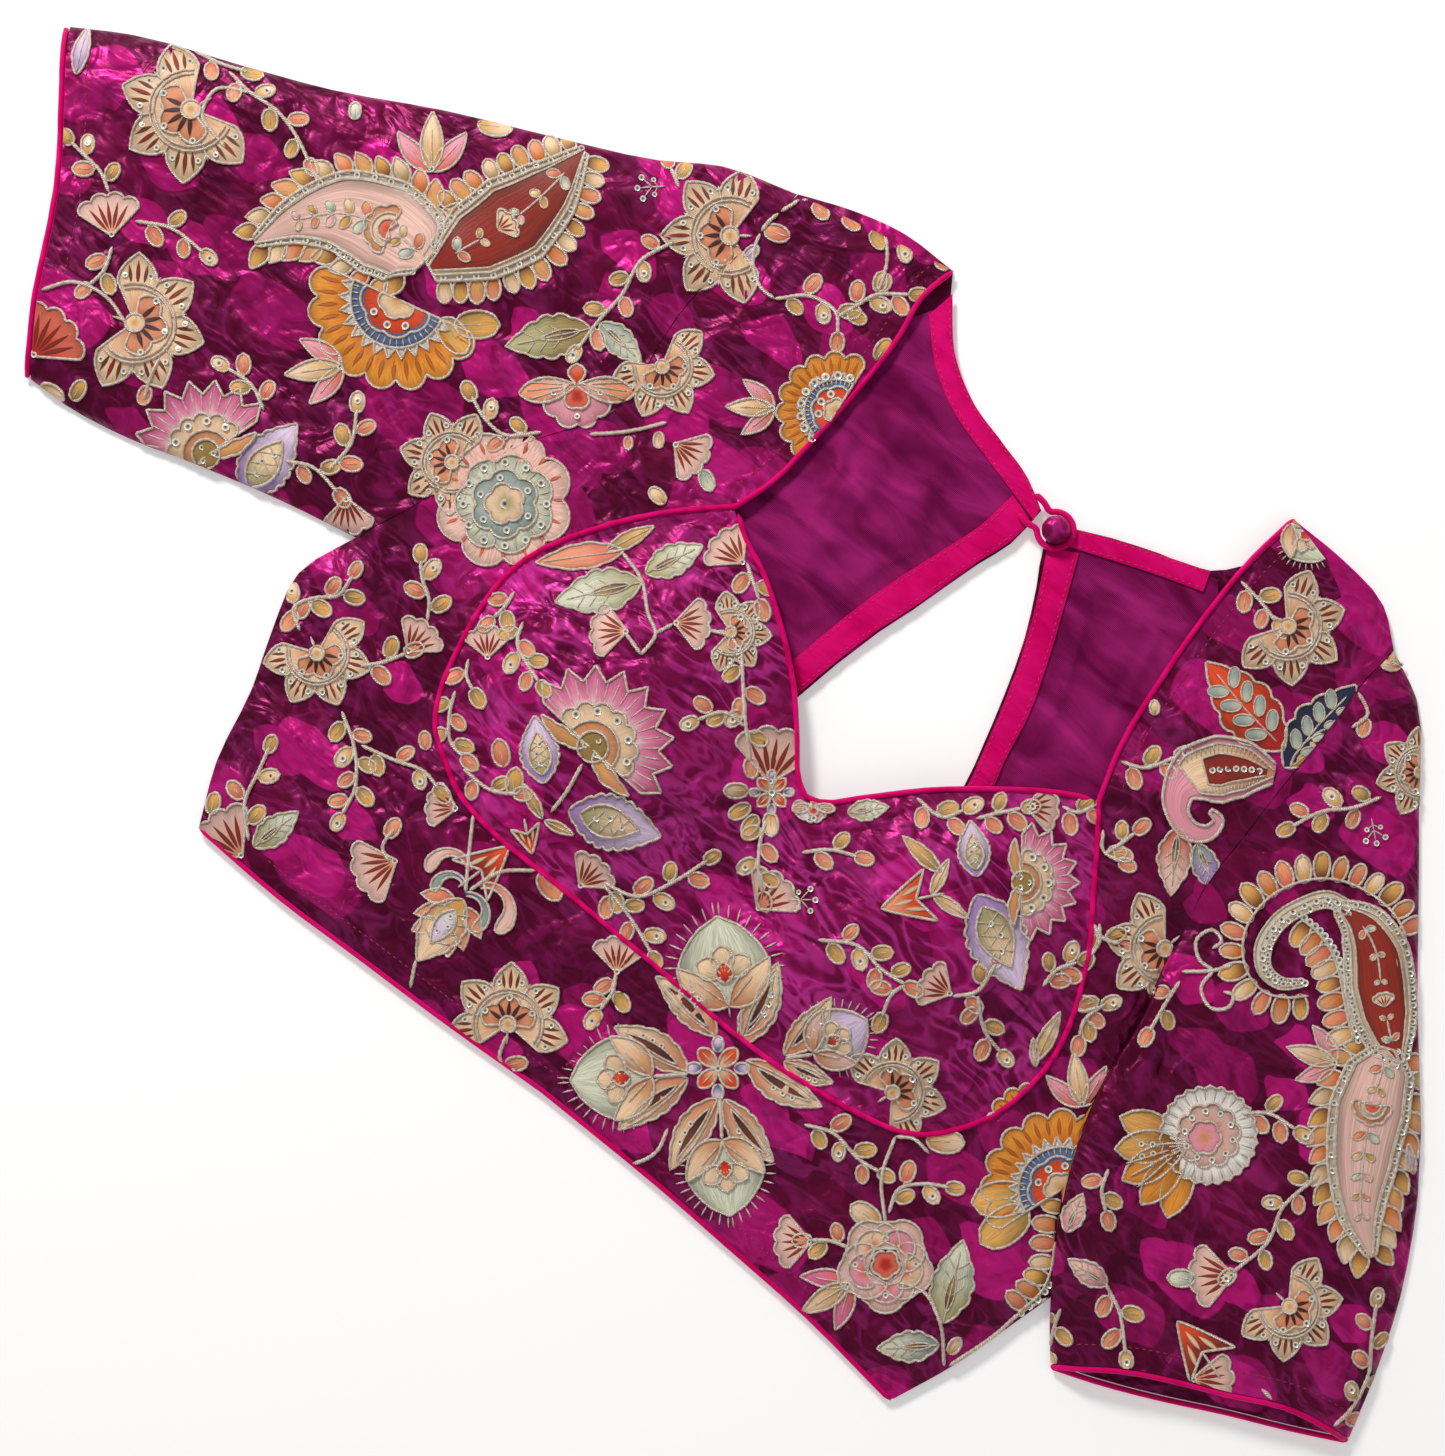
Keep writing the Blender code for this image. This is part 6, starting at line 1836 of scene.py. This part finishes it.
# %% Readings on the left sleeve, the straps and the band
OUTER_ROWS = """
a1 lily 640 340 410 480
a1 lily 430 1120 680 1190
a1 vine 770 190 850 270 950 340 1020 430 1070 530 6
a1 stem 850 270 730 262 680 350 765 480
a1 fan 345 800 325 640
a1 vine 335 640 300 560 240 500 195 455 4
a1 vine 430 745 560 770 680 860 4
a1 vine 345 840 320 920 260 985 3
a1 stem 90 1000 200 970 330 1030 395 1120
a1 fan 50 1240 190 1100 crimson
ph feather 207 455 166 392
ph lilac 240 495 298 424
b2 vine 265 65 350 85 430 165 3
b2 fan 455 180 460 295
ph vine 330 471 352 443 357 410 4
a2 sprout 595 205 595 30
a2 frill 500 560 395 790
a2 oval 655 630 785 630 gold
a2 oval 620 610 690 710 olive
a2 sprout 345 745 180 770
a2 vine 125 870 90 800 20 750 4
a2 bigleaf 1040 640 800 690 olive
a2 bigleaf 1065 625 1180 735 grey
a2 vine 1270 400 1180 450 1130 540 1060 620 1000 700 7
b1 tribud 245 55 150 62
b1 vine 290 60 262 -10 2
a2 butterfly 1000 770 1000 935
a2 vine 900 930 790 935 740 890 705 830 4
b1 lily 455 215 230 215
b1 lily 235 640 320 790
b2 lily 780 68 620 25
a1 blade 215 210 248 15 lilac
a1 vine 640 110 740 160 840 190 2
a1 oval 1235 370 1235 300 grey
a2 oval 720 65 820 78 cream
a1 oval 60 1350 160 1400 cream
a1 oval 190 1400 240 1330 gold
a1 vine 520 1250 480 1340 460 1400 1
a2 paisley 100 402 225 340 350 322 462 360 545 420 575 455 pale 2:10.5:18:21:18:8
a2 paisley 1020 140 925 250 825 335 715 405 590 475 rust 2.5:14:19.5:17:6
b1 stem 0 860 120 850 250 820
b1 oval 125 865 125 910 peach
b1 oval 225 850 222 905 cream
b1 fan 275 890 375 960
b1 oval 365 975 395 1045 grey
b1 oval 650 220 565 192 peach
b1 stem 680 95 560 195 530 290 560 390 600 420
b1 oval 500 290 548 250 lilac
b1 vine 600 420 720 415 800 470 805 540 5
b1 vine 805 480 870 440 920 410 1040 405 6
b1 stem 960 190 965 300 940 390
b1 oval 935 400 952 330 gold
b1 vine 690 95 760 100 830 150 3
b1 vine 880 180 960 195 1050 240 1130 290 5
b1 frill 800 785 635 680 silver
b1 sprout 600 775 440 770
b1 oval 930 620 975 550 gold
b1 oval 245 1085 195 1035 cream
b2 peony 940 185 940 400
b2 vine 310 590 290 520 350 490 430 480 475 420 6
b2 oval 300 530 255 590 peach
b2 lily 365 660 430 820
b2 vine 500 700 560 690 640 660 3
b2 fan 645 655 715 570
b2 vine 705 560 710 490 690 430 685 375 4
b2 vine 440 840 480 960 480 1080 440 1160 8
b2 vine 500 945 600 990 700 1030 740 1080 4
b2 oval 700 960 695 900 peach
b2 fan 795 1140 700 1120
b2 vine 150 1240 140 1120 180 1030 215 950 4
b2 bigleaf 165 1260 305 1150 sage
b2 fan 130 1290 15 1170
b2 oval 30 1160 50 1090 gold
ph fan 397 860 354 878
ph vine 390 862 383 848 395 828 1
b3 arrow 225 200 325 115 crimson
b3 comma 225 175 150 100 pink
b3 comma 215 215 150 165 grey
b3 hook 215 235 295 285 grey
b3 hook 250 215 365 265 pink
b3 stem 235 30 225 120 215 230
b3 stem 225 225 300 180 390 175
b3 oval 400 180 450 250 peach
b3 artichoke 215 240 90 405
b3 stem 90 400 75 470
b3 lily 320 560 330 405
b3 stem 315 590 300 650 340 680
b3 oval 310 665 370 655 peach
b3 fan 592 432 602 340
b3 vine 590 430 585 470 550 525 4
b3 quatrefoil 845 670 900 670
b3 beige 770 680 585 565
b3 beige 770 695 595 825
b3 beige 845 745 725 925
b3 beige 860 748 985 905
b3 beige 915 650 1105 765
b3 beige 840 590 688 440
b3 lotus 680 690 475 700
b3 lotus 855 850 875 1040
b3 stem 770 685 680 690
b3 stem 850 740 855 850
b3 stem 560 850 620 910 690 880 720 820
b3 vine 1060 810 1130 830 1200 900 1250 930 6
b6 stem 400 285 360 400 370 540
b6 oval 490 295 605 305 cream
b6 stem 400 285 450 290 500 335
b6 vine 380 510 410 440 480 425 560 435 4
b6 oval 355 545 268 485 cream
b6 rose 370 660 370 805
b6 fan 150 595 40 595
b6 vine 260 610 200 590 150 590 3
b6 sprout 265 715 120 810 pink
b6 bigleaf 540 835 600 590 sage
b6 stem 400 710 480 740 530 830 545 965
b6 bigleaf 530 900 345 910 grey
b6 oval 560 930 590 880 cream
b6 oval 440 740 470 730 gold
b6 frill 890 440 760 240
b6 sprout 950 195 925 35
b6 oval 800 460 625 480 gold
b6 oval 795 500 650 600 gold
b6 beads 905 470 885 540 870 610 860 680 830 745 760 810 side
b6 stem 860 760 780 800 700 870 560 965
b7 lily 640 410 800 520
b7 vine 490 265 560 340 600 395 4
b7 lotus 655 75 770 190
b7 bigleaf 630 815 375 525 coral
b7 bigleaf 630 870 865 600 navy
b7 blade 650 870 835 720 cream
b7 vine 100 850 170 870 280 835 4
b7 vine 45 1150 100 1115 145 1080 3
b7 oval 210 700 208 650 cream
b7 bigleaf 285 1060 260 1285 peach
b7 bigleaf 345 1115 410 1275 lilac
b7 paisley 600 890 510 875 420 875 340 895 285 950 283 1020 325 1075 385 1080 \
415 1040 390 1010 curl 4:11.5:14:12:6.5:4.5:4:3:2:1
b8 lily 295 215 190 300
b8 vine 65 320 110 350 155 340 4
b8 vine 150 160 150 200 130 230 2
b5 vine 1240 170 1240 240 1300 280 3
b5 vine 1200 480 1240 540 1300 560 3
b5 vine 1250 760 1170 830 1160 880 3
"""

# %% Readings on the cups
CUPS_ROWS = """
b4 feather 462 700 620 530
b4 lilac 395 875 655 950
b4 lilac 325 800 300 610
b4 stem 435 745 385 830 345 880
b4 blade 320 900 265 800 olive
b4 blade 325 905 410 945 olive
b4 arrow 270 920 290 1000 crimson
b4 bigleaf 600 235 355 290 sage
b4 bigleaf 610 210 772 130 sage
b4 blade 550 145 298 178 peach
b4 blade 500 145 635 75 olive
b4 stem 545 150 600 230 620 330 640 380 600 440
b4 fan 560 375 455 368
b4 fan 693 350 795 355
b4 stem 555 378 600 440
b4 stem 640 380 690 352
b4 fan 165 447 162 355
b4 vine 265 345 250 410 275 460 312 515 6
b4 vine 240 260 215 300 180 335 3
b4 vine 110 450 105 500 125 540 2
b4 vine 72 540 55 620 62 690 95 725 5
b4 vine 95 760 180 822 250 830 3
b4 oval 212 755 195 675 peach
b4 oval 235 835 248 755 gold
b4 fan 885 180 808 100
b4 vine 895 180 912 230 930 285 3
b4 stem 790 370 850 390 885 440
b4 lily 850 375 965 385
b4 vine 880 430 885 540 890 620 905 740 5
b4 vine 890 640 830 600 755 622 4
b4 fan 960 800 985 640
b4 quatrefoil 965 825 1009 825
b4 oval 900 820 830 820 cream
b4 oval 905 860 845 895 gold
b4 oval 925 890 885 945 olive
b4 oval 960 880 965 950 cream
b4 vine 950 900 930 980 930 1060 940 1110 5
b4 fan 925 1155 1005 1065
b4 oval 1030 850 1070 900 lilac
b5 tribud 160 405 260 405
b5 butterfly 250 75 250 150
b5 bigleaf 365 110 505 90 sage
b5 vine 210 245 300 235 400 258 3
b5 vine 600 60 690 125 760 100 4
b5 vine 800 130 880 110 960 95 4
b5 fan 975 92 1090 92
b5 vine 1100 90 1150 110 1215 85 4
b5 lilac 800 325 780 135
b5 feather 955 345 1160 350
b5 lilac 800 385 955 712
b5 arrow 645 385 475 432 orange
b5 blade 680 310 550 188 olive
b5 blade 645 385 705 265 cream
b5 blade 650 385 772 465 cream
b5 vine 265 540 400 560 480 640 560 690 7
b5 vine 560 690 520 715 480 800 2
b5 fan 712 722 610 665
b5 vine 720 730 800 715 865 620 3
b5 vine 805 730 830 850 890 930 4
b5 vine 1030 700 1070 650 1150 620 5
b5 lily 520 1065 675 955
b5 blade 1010 960 1092 790 cream
b5 blade 1010 980 1000 880 pink
b5 frill 1000 1200 890 1075
b5 beige 150 940 310 735
b5 beige 0 905 130 620
b5 beige 150 960 320 1035
b5 lotus 250 930 430 810 lilac
b5 stem 155 950 250 935
b3 lotus 872 515 842 290
b3 beige 905 590 990 420
b3 vine 560 205 640 240 740 200 820 150 6
b3 vine 560 210 630 300 680 385 5
b3 fan 500 215 560 150
b3 beige 760 430 830 520
"""

# %% Readings on the right sleeve
RIGHT_ROWS = """
b7 lily 1075 885 930 920
b7 vine 945 965 850 1000 760 1010 655 1060 6
b7 tribud 915 1035 932 1120
b7 sprout 1020 540 945 450 cream
b7 vine 860 610 900 700 850 740 1
b8 stem 330 265 400 262 440 250
b8 stem 400 262 370 240 365 195 400 175 418 200 397 215
b8 stem 400 262 372 300 395 345 435 338 440 315 420 308
b8 sprout 668 465 560 430
b8 ringflower 340 645 455 590
b8 vine 460 575 520 575 580 610 4
b8 vine 630 710 550 780 520 850 440 920 8
b8 fan 440 925 345 930
b8 oval 360 935 298 932 grey
b8 lily 560 990 645 1075
b8 bigleaf 165 945 80 888 pink
b8 vine 160 940 190 1000 205 1095 4
b8 arrow 395 1120 318 1025 crimson
b8 fan 350 1150 440 1165
b8 vine 660 1255 700 1220 738 1150 745 1060 755 990 7
b8 vine 65 1000 52 1050 45 1100 4
b8 vine 165 690 150 735 160 785 3
b8 bigleaf 75 830 110 745 pink
b8 blade 840 710 825 640 lilac
b8 vine 325 285 290 340 258 395 3
b8 oval 150 320 158 350 gold
b8 vine 500 1170 520 1190 545 1230 1
ph paisley 1338 906 1362 926 1376 955 1380 985 1385 1015 1391 1042 1400 1062 \
bare 3:10.5:14:15:14:10.5:4
ph paisley 1370 1256 1360 1215 1361 1165 1369 1110 1380 1070 1386 1048 \
pale 2:9.5:14.5:17:14.5:6
b8 band 600 290 545 290 512 262 508 215 535 165 590 125 650 108 700 130 \
band 1.5:2.5:3:3.5:3.5:3.5:3.5:3
b8 beads 608 318 560 322 515 312 482 282 464 235 468 180 495 130 538 92 592 68 \
650 62 705 75 752 100 795 140 822 190 out
ph beads 1300 918 1316 931 1329 948 1337 967 1341 985 1344 1003 1348 1022 1353 1040 in
"""
print("motifs, vines and long shapes:", *(len(rows.split("\n")) - 2
                                          for rows in (OUTER_ROWS, CUPS_ROWS, RIGHT_ROWS)))

# %% [markdown]
# ## Laying the embroidery on the cloth
# The hoop is cut along a piece's outline: patches whose points all lie outside go, and a patch
# that crosses the outline has its outer points drawn back to it. A cord is cut where it leaves.
# What is left is lifted by the cloth's own height function.

# %% Cut and lift


def cut_patches(hoop, polygon, hidden, height):
    """The filled patches of a hoop on one piece of cloth: points, faces, tints and threads."""
    plan = np.vstack([p.reshape(-1, 2) for p, *_ in hoop.patches])
    rise = np.concatenate([r.ravel() for _, r, *_ in hoop.patches])
    tint = np.vstack([c.reshape(-1, 3) for _, _, c, _ in hoop.patches])
    uv = np.vstack([u.reshape(-1, 2) for *_, u in hoop.patches])
    first = np.cumsum([0] + [p.shape[0] * p.shape[1] for p, *_ in hoop.patches])
    faces = np.vstack([grid_faces(*p.shape[:2]) + f for (p, *_), f in zip(hoop.patches, first)])
    kept = shows(polygon, hidden, plan)
    faces = faces[kept[faces].any(axis=1)]
    used, faces = np.unique(faces, return_inverse=True)
    faces = faces.reshape(-1, 4)
    plan, rise, kept = plan[used], rise[used], kept[used]
    if not kept.all():
        plan[~kept] = nearest(np.vstack([polygon, polygon[:1]]), plan[~kept])[1]
        if hidden is not None:
            under = inside(hidden, plan)
            plan[under] = nearest(np.vstack([hidden, hidden[:1]]), plan[under])[1]
    points = np.column_stack([plan, height(plan) + rise])
    a, b, c = (points[faces[:, k]] for k in (0, 1, 2))
    down = np.cross(b - a, c - a)[:, 2] < 0
    faces[down] = faces[down][:, ::-1]
    return points, faces, tint[used], uv[used]


def shows(polygon, hidden, plan):
    """Whether plan points lie on a piece of cloth and not under what covers it."""
    kept = inside(polygon, plan)
    return kept if hidden is None else kept & ~inside(hidden, plan)


CORD_STEP = 1.15
CORD_SIDES = 6


def cut_cords(hoop, polygon, hidden, height):
    """The couched cords of a hoop on one piece of cloth, each a thin tube drawn in at its ends."""
    paths = []
    for path, radius, lift in hoop.cords:
        count = max(3, int(length_of(path) / CORD_STEP) + 1)
        paths.append((at(path, np.linspace(0, 1, count)), radius, lift))
    plan = np.vstack([p for p, *_ in paths])
    kept = shows(polygon, hidden, plan)
    level = np.zeros(len(plan))
    level[kept] = height(plan[kept])
    points, faces, uv, first, at_point = [], [], [], 0, 0
    for path, radius, lift in paths:
        stay = kept[at_point:at_point + len(path)]
        levels = level[at_point:at_point + len(path)]
        at_point += len(path)
        edges = np.flatnonzero(np.diff(np.concatenate([[0], stay.astype(int), [0]])))
        for begin, end in edges.reshape(-1, 2):
            if end - begin < 3:
                continue
            run = np.column_stack([path[begin:end], levels[begin:end] + lift])
            ends = np.minimum(np.arange(len(run)), np.arange(len(run))[::-1])
            taper = np.where(ends == 0, 0.35, 1 + 0.14 * (-1.0) ** ends)
            rings = cord_rings(run, radius * taper, CORD_SIDES)
            tube = grid_faces(len(run), CORD_SIDES, closed=True)[:, ::-1]
            last = (len(run) - 1) * CORD_SIDES
            caps = np.array([(0, 1, 2, 3), (0, 3, 4, 5)])
            faces.append(np.vstack([tube, caps, caps[:, ::-1] + last]) + first)
            along = np.arange(len(run)) * CORD_STEP / 3
            uv.append(np.stack(np.broadcast_arrays(along[:, None], np.arange(CORD_SIDES) / 6.0),
                               axis=-1).reshape(-1, 2))
            points.append(rings.reshape(-1, 3))
            first += len(run) * CORD_SIDES
    return np.vstack(points), np.vstack(faces), np.vstack(uv)


def cut_sequins(hoop, polygon, hidden, height):
    """The sequins on one piece of cloth: a tilted ring, a rim and a small dark hole."""
    discs = np.array(hoop.discs)
    discs = discs[shows(polygon, hidden, discs[:, :2])]
    count = len(discs)
    ring = compass(np.arange(8) * math.pi / 4)
    tilt = np.random.default_rng(4).uniform(-0.24, 0.24, (count, 2))
    radii = np.array([1.0, 0.82, 0.2])
    plan = discs[:, None, None, :2] + discs[:, 2, None, None, None] * radii[:, None, None] * ring
    local = plan - discs[:, None, None, :2]
    dish = discs[:, 2, None, None] * np.array([0.0, -0.1, -0.02])[None, :, None]
    level = height(discs[:, :2]) + discs[:, 3]
    z = level[:, None, None] + dish + (local * tilt[:, None, None]).sum(-1)
    points = np.concatenate([plan, z[..., None]], axis=-1).reshape(-1, 3)
    tube = grid_faces(3, 8, closed=True)
    cap = np.array([(16, 17, 18, 19), (16, 19, 20, 23), (20, 21, 22, 23)])
    single = np.vstack([tube, cap])
    faces = (single[None] + np.arange(count)[:, None, None] * 24).reshape(-1, 4)
    tint = np.ones((count, 3, 8, 3)) * (0.96, 0.93, 0.82)
    tint[:, 2] = (0.10, 0.06, 0.03)
    return points, faces, tint.reshape(-1, 3)


def stitch_on(name, hoop, polygon, height, hidden):
    """Lays one hoop on one piece of cloth as threads, gold cord and sequins."""
    points, faces, tint, uv = cut_patches(hoop, polygon, hidden, height)
    made = [mesh_object("threads_" + name, points, faces, THREAD_LOOK, tint, uv)]
    points, faces, uv = cut_cords(hoop, polygon, hidden, height)
    made.append(mesh_object("zari_" + name, points, faces, ZARI_LOOK, uvs=uv, sharp=90))
    points, faces, tint = cut_sequins(hoop, polygon, hidden, height)
    made.append(mesh_object("sequins_" + name, points, faces, SEQUIN_LOOK, tint, sharp=25))
    for piece in made:
        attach(piece, "root")
        print(piece.name, len(piece.data.loops) - 2 * len(piece.data.polygons), "triangles")


# %% Thread, gold cord and sequin looks


def tint_of(tree):
    """The colour stored on each point."""
    return add(tree, "ShaderNodeAttribute", attribute_name="tint").outputs["Color"]


def thread_look():
    """Satin stitch: the tint attribute, streaked along the thread, with a fine ribbed bump."""
    look, tree, shader = new_look("satin_stitch", (0.8, 0.6, 0.4), 0.5, 0.0, Sheen_Weight=0.15)
    uv = add(tree, "ShaderNodeUVMap", uv_map="thread").outputs["UV"]
    streak = noise(tree, mapped(tree, uv, 0.0, (1.6, 9.0, 1.0)), 2.0, 3.0)
    shade = map_range(tree, streak, 0.35, 0.65, 0.84, 1.22)
    hsv = add(tree, "ShaderNodeHueSaturation", {"Color": tint_of(tree), "Value": shade,
                                                "Saturation": 1.14})
    tree.links.new(hsv.outputs[0], shader.inputs["Base Color"])
    rib = noise(tree, object_place(tree), 1400.0, 1.0)
    normal = bump(tree, streak, 0.35, 0.0004)
    tree.links.new(bump(tree, rib, 0.3, 0.0002, normal), shader.inputs["Normal"])
    return look


def zari_look():
    """Dull gold cord: painted shade in the grooves of its twist, and a random tone whose pale
    champagne end is a painted glint.
    """
    look, tree, shader = new_look("zari_cord", (0.5, 0.38, 0.2), 0.3, 0.15)
    uv = add(tree, "ShaderNodeUVMap", uv_map="thread").outputs["UV"]
    twist = mapped(tree, uv, 0.9, (1.0, 1.0, 1.0))
    wave = add(tree, "ShaderNodeTexWave", {"Vector": twist, "Scale": 1.6,
                                           "Distortion": 0.8}).outputs["Fac"]
    # Random tone in the gold; its pale champagne end is a painted glint.
    tone_and_glint_noise = noise(tree, object_place(tree), 620.0, 3.0)
    gold = mix_colour(tree, map_range(tree, tone_and_glint_noise, 0.38, 0.62), (0.80, 0.62, 0.46),
                      (1.0, 0.95, 0.86))
    # Painted shade: the colour goes dark brown in the grooves of the twist.
    dark = mix_colour(tree, map_range(tree, wave, 0.0, 0.3), (0.26, 0.15, 0.10), gold)
    tree.links.new(dark, shader.inputs["Base Color"])
    tree.links.new(bump(tree, wave, 0.6, 0.0004), shader.inputs["Normal"])
    return look


def sequin_look():
    """Thin champagne sequins, almost a mirror, with a dark stitch in the hole."""
    look, tree, shader = new_look("sequin", (0.9, 0.85, 0.7), 0.2, 0.2)
    tree.links.new(tint_of(tree), shader.inputs["Base Color"])
    return look


THREAD_LOOK, ZARI_LOOK, SEQUIN_LOOK = thread_look(), zari_look(), sequin_look()

# %% Stitch the whole blouse
outer_hoop, cups_hoop, right_hoop = (embroider(*read_layout(rows))
                                     for rows in (OUTER_ROWS, CUPS_ROWS, RIGHT_ROWS))

LEFT_SLEEVE_AREA, RIGHT_SLEEVE_AREA = (
    np.vstack([top, mouth[1:], under[::-1][1:], armhole[::-1][1:-1]])
    for top, mouth, under, armhole in ((LEFT_TOP, LEFT_MOUTH, LEFT_UNDER, LEFT_ARMHOLE),
                                       (RIGHT_TOP, RIGHT_MOUTH, RIGHT_UNDER, RIGHT_ARMHOLE)))
LEFT_PANEL_AREA = np.vstack([LEFT_INNER, LEFT_OUTER[::-1]])
RIGHT_PANEL_AREA = np.vstack([RIGHT_INNER, RIGHT_OUTER[::-1]])
CUPS_AREA = np.vstack([CUP_RIM, NECK_RIGHT, NECK_LEFT[::-1][1:]])
for name, hoop, area, height, hidden in (
        ("sleeve_left", outer_hoop, LEFT_SLEEVE_AREA, left_face, None),
        ("front_left", outer_hoop, LEFT_PANEL_AREA, face_top, None),
        ("front_right", outer_hoop, RIGHT_PANEL_AREA, face_top, RIGHT_SLEEVE_AREA),
        ("cups", cups_hoop, CUPS_AREA, face_top, None),
        ("sleeve_right", right_hoop, RIGHT_SLEEVE_AREA, right_face, None)):
    stitch_on(name, hoop, area, height, hidden)

# %% [markdown]
# ## Stitches and sheets
# Small stitches finish the edges: two rows along each facing, one beside the straps' piping and
# one above every hem. Each stitch is a short thread that dips into the cloth at both ends.

# %% Rows of stitches
STITCH_PITCH = 3.0
STITCH_LENGTH = 2.1
STITCH_RADIUS = 0.24


def stitch_row(line, height, sink=0.05):
    """Short threads along a plan line, each of four rings: two sunk ends and a raised middle."""
    count = int(length_of(line) / STITCH_PITCH)
    half = STITCH_LENGTH / 2 / length_of(line)
    middle = (np.arange(count) + 0.5) / count
    part = np.array([-1.0, -0.5, 0.5, 1.0])
    plan = at(line, (middle[:, None] + half * part).ravel()).reshape(count, 4, 2)
    side = leftward(unit(plan[:, -1] - plan[:, 0])) * STITCH_RADIUS
    level = height(plan) + np.array([-sink - STITCH_RADIUS, 0.12, 0.12, -sink - STITCH_RADIUS])
    wide = np.array([0.4, 1.0, 1.0, 0.4])[None, :, None]
    corners = []
    for sideways, up in ((1, 0), (0, 1), (-1, 0), (0, -1)):
        corners.append(np.concatenate([plan + side[:, None] * sideways * wide,
                                       (level + up * STITCH_RADIUS * wide[..., 0])[..., None]],
                                      axis=-1))
    points = np.stack(corners, axis=2).reshape(-1, 3)
    caps = np.array([(3, 2, 1, 0), (12, 13, 14, 15)])
    single = np.vstack([grid_faces(4, 4, closed=True), caps])
    faces = (single[None] + np.arange(count)[:, None, None] * 16).reshape(-1, 4)
    return points, faces


def stitch_object(name, rows, look):
    """Several rows of stitches as one piece."""
    points, faces, first = [], [], 0
    for row_points, row_faces in rows:
        points.append(row_points)
        faces.append(row_faces + first)
        first += len(row_points)
    points, faces = np.vstack(points), np.vstack(faces)
    made = mesh_object(name, points, outward(points, faces), look, sharp=80)
    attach(made, "root")
    print(made.name, 2 * len(faces), "triangles")


def beside(line, distance):
    """A line moved sideways in plan, to the left of the way it runs."""
    return line + leftward(unit(np.gradient(line, axis=0))) * distance


def facing_top(plan):
    """The face of a facing strip near its edges."""
    return FACING_FLOOR + FACING_WALL + 0.05 + facing_rise(plan)


facing_rows = []
for rows in FACINGS.values():
    first, second = facing_lines(rows, 6)
    for share in (0.12, 0.88):
        facing_rows.append(stitch_row(at(first * (1 - share) + second * share,
                                         np.linspace(0.02, 0.98, 60)), facing_top))
PINK_THREAD = new_look("pink_thread", (0.55, 0.002, 0.10), 0.45)[0]
WINE_THREAD = new_look("wine_thread", (0.30, 0.004, 0.055), 0.45)[0]
stitch_object("stitches_facings", facing_rows, PINK_THREAD)
STRAP_SEAM = 7.5          # millimetres from the piping to the row of stitches
HEM_SEAM = 9.0
body_rows = [stitch_row(beside(line, distance)[first:], face_top)
             for line, distance, first in ((LEFT_STRAP, -STRAP_SEAM, 1),
                                           (RIGHT_STRAP, STRAP_SEAM, 1),
                                           (HEM_LEFT, HEM_SEAM, 2), (HEM_RIGHT, -HEM_SEAM, 2))]
stitch_object("stitches_body", body_rows, WINE_THREAD)
mouth_rows = [stitch_row(at(beside(line, distance), np.linspace(0.05, 0.95, 60)), face)
              for line, distance, face in ((LEFT_MOUTH, HEM_SEAM, left_face),
                                           (RIGHT_MOUTH, -HEM_SEAM, right_face))]
stitch_object("stitches_sleeves", mouth_rows, WINE_THREAD)

# %% The area of every sheet of cloth


def half_surface(made):
    """One side's area of a closed wall, in square metres: half of all its faces."""
    areas = np.zeros(len(made.data.polygons))
    made.data.polygons.foreach_get("area", areas)
    return float(areas.sum()) / 2


SHEETS = (
    (front_left, 0.225, 0.390, ["back_panel"]), (front_right, 0.225, 0.400, ["back_panel"]),
    (cup_left, 0.165, 0.205, ["back_panel"]), (cup_right, 0.165, 0.205, ["back_panel"]),
    (sleeve_left, 0.470, 0.310, ["back_panel"]), (sleeve_right, 0.420, 0.330, ["front_right"]),
    (back, 0.445, 0.400, []), (linings[0], 0.100, 0.190, ["back_panel"]),
    (linings[1], 0.085, 0.150, ["back_panel"]), (facings[0], 0.012, 0.100, ["lining_left"]),
    (facings[1], 0.012, 0.070, ["lining_right"]), (facings[2], 0.016, 0.145, ["lining_left"]),
    (facings[3], 0.014, 0.125, ["lining_right"]))
for made, width, length, under in SHEETS:
    cut = half_surface(made)
    print(f"{made.name}: {cut:.5f} m2 of {width * length:.5f}")
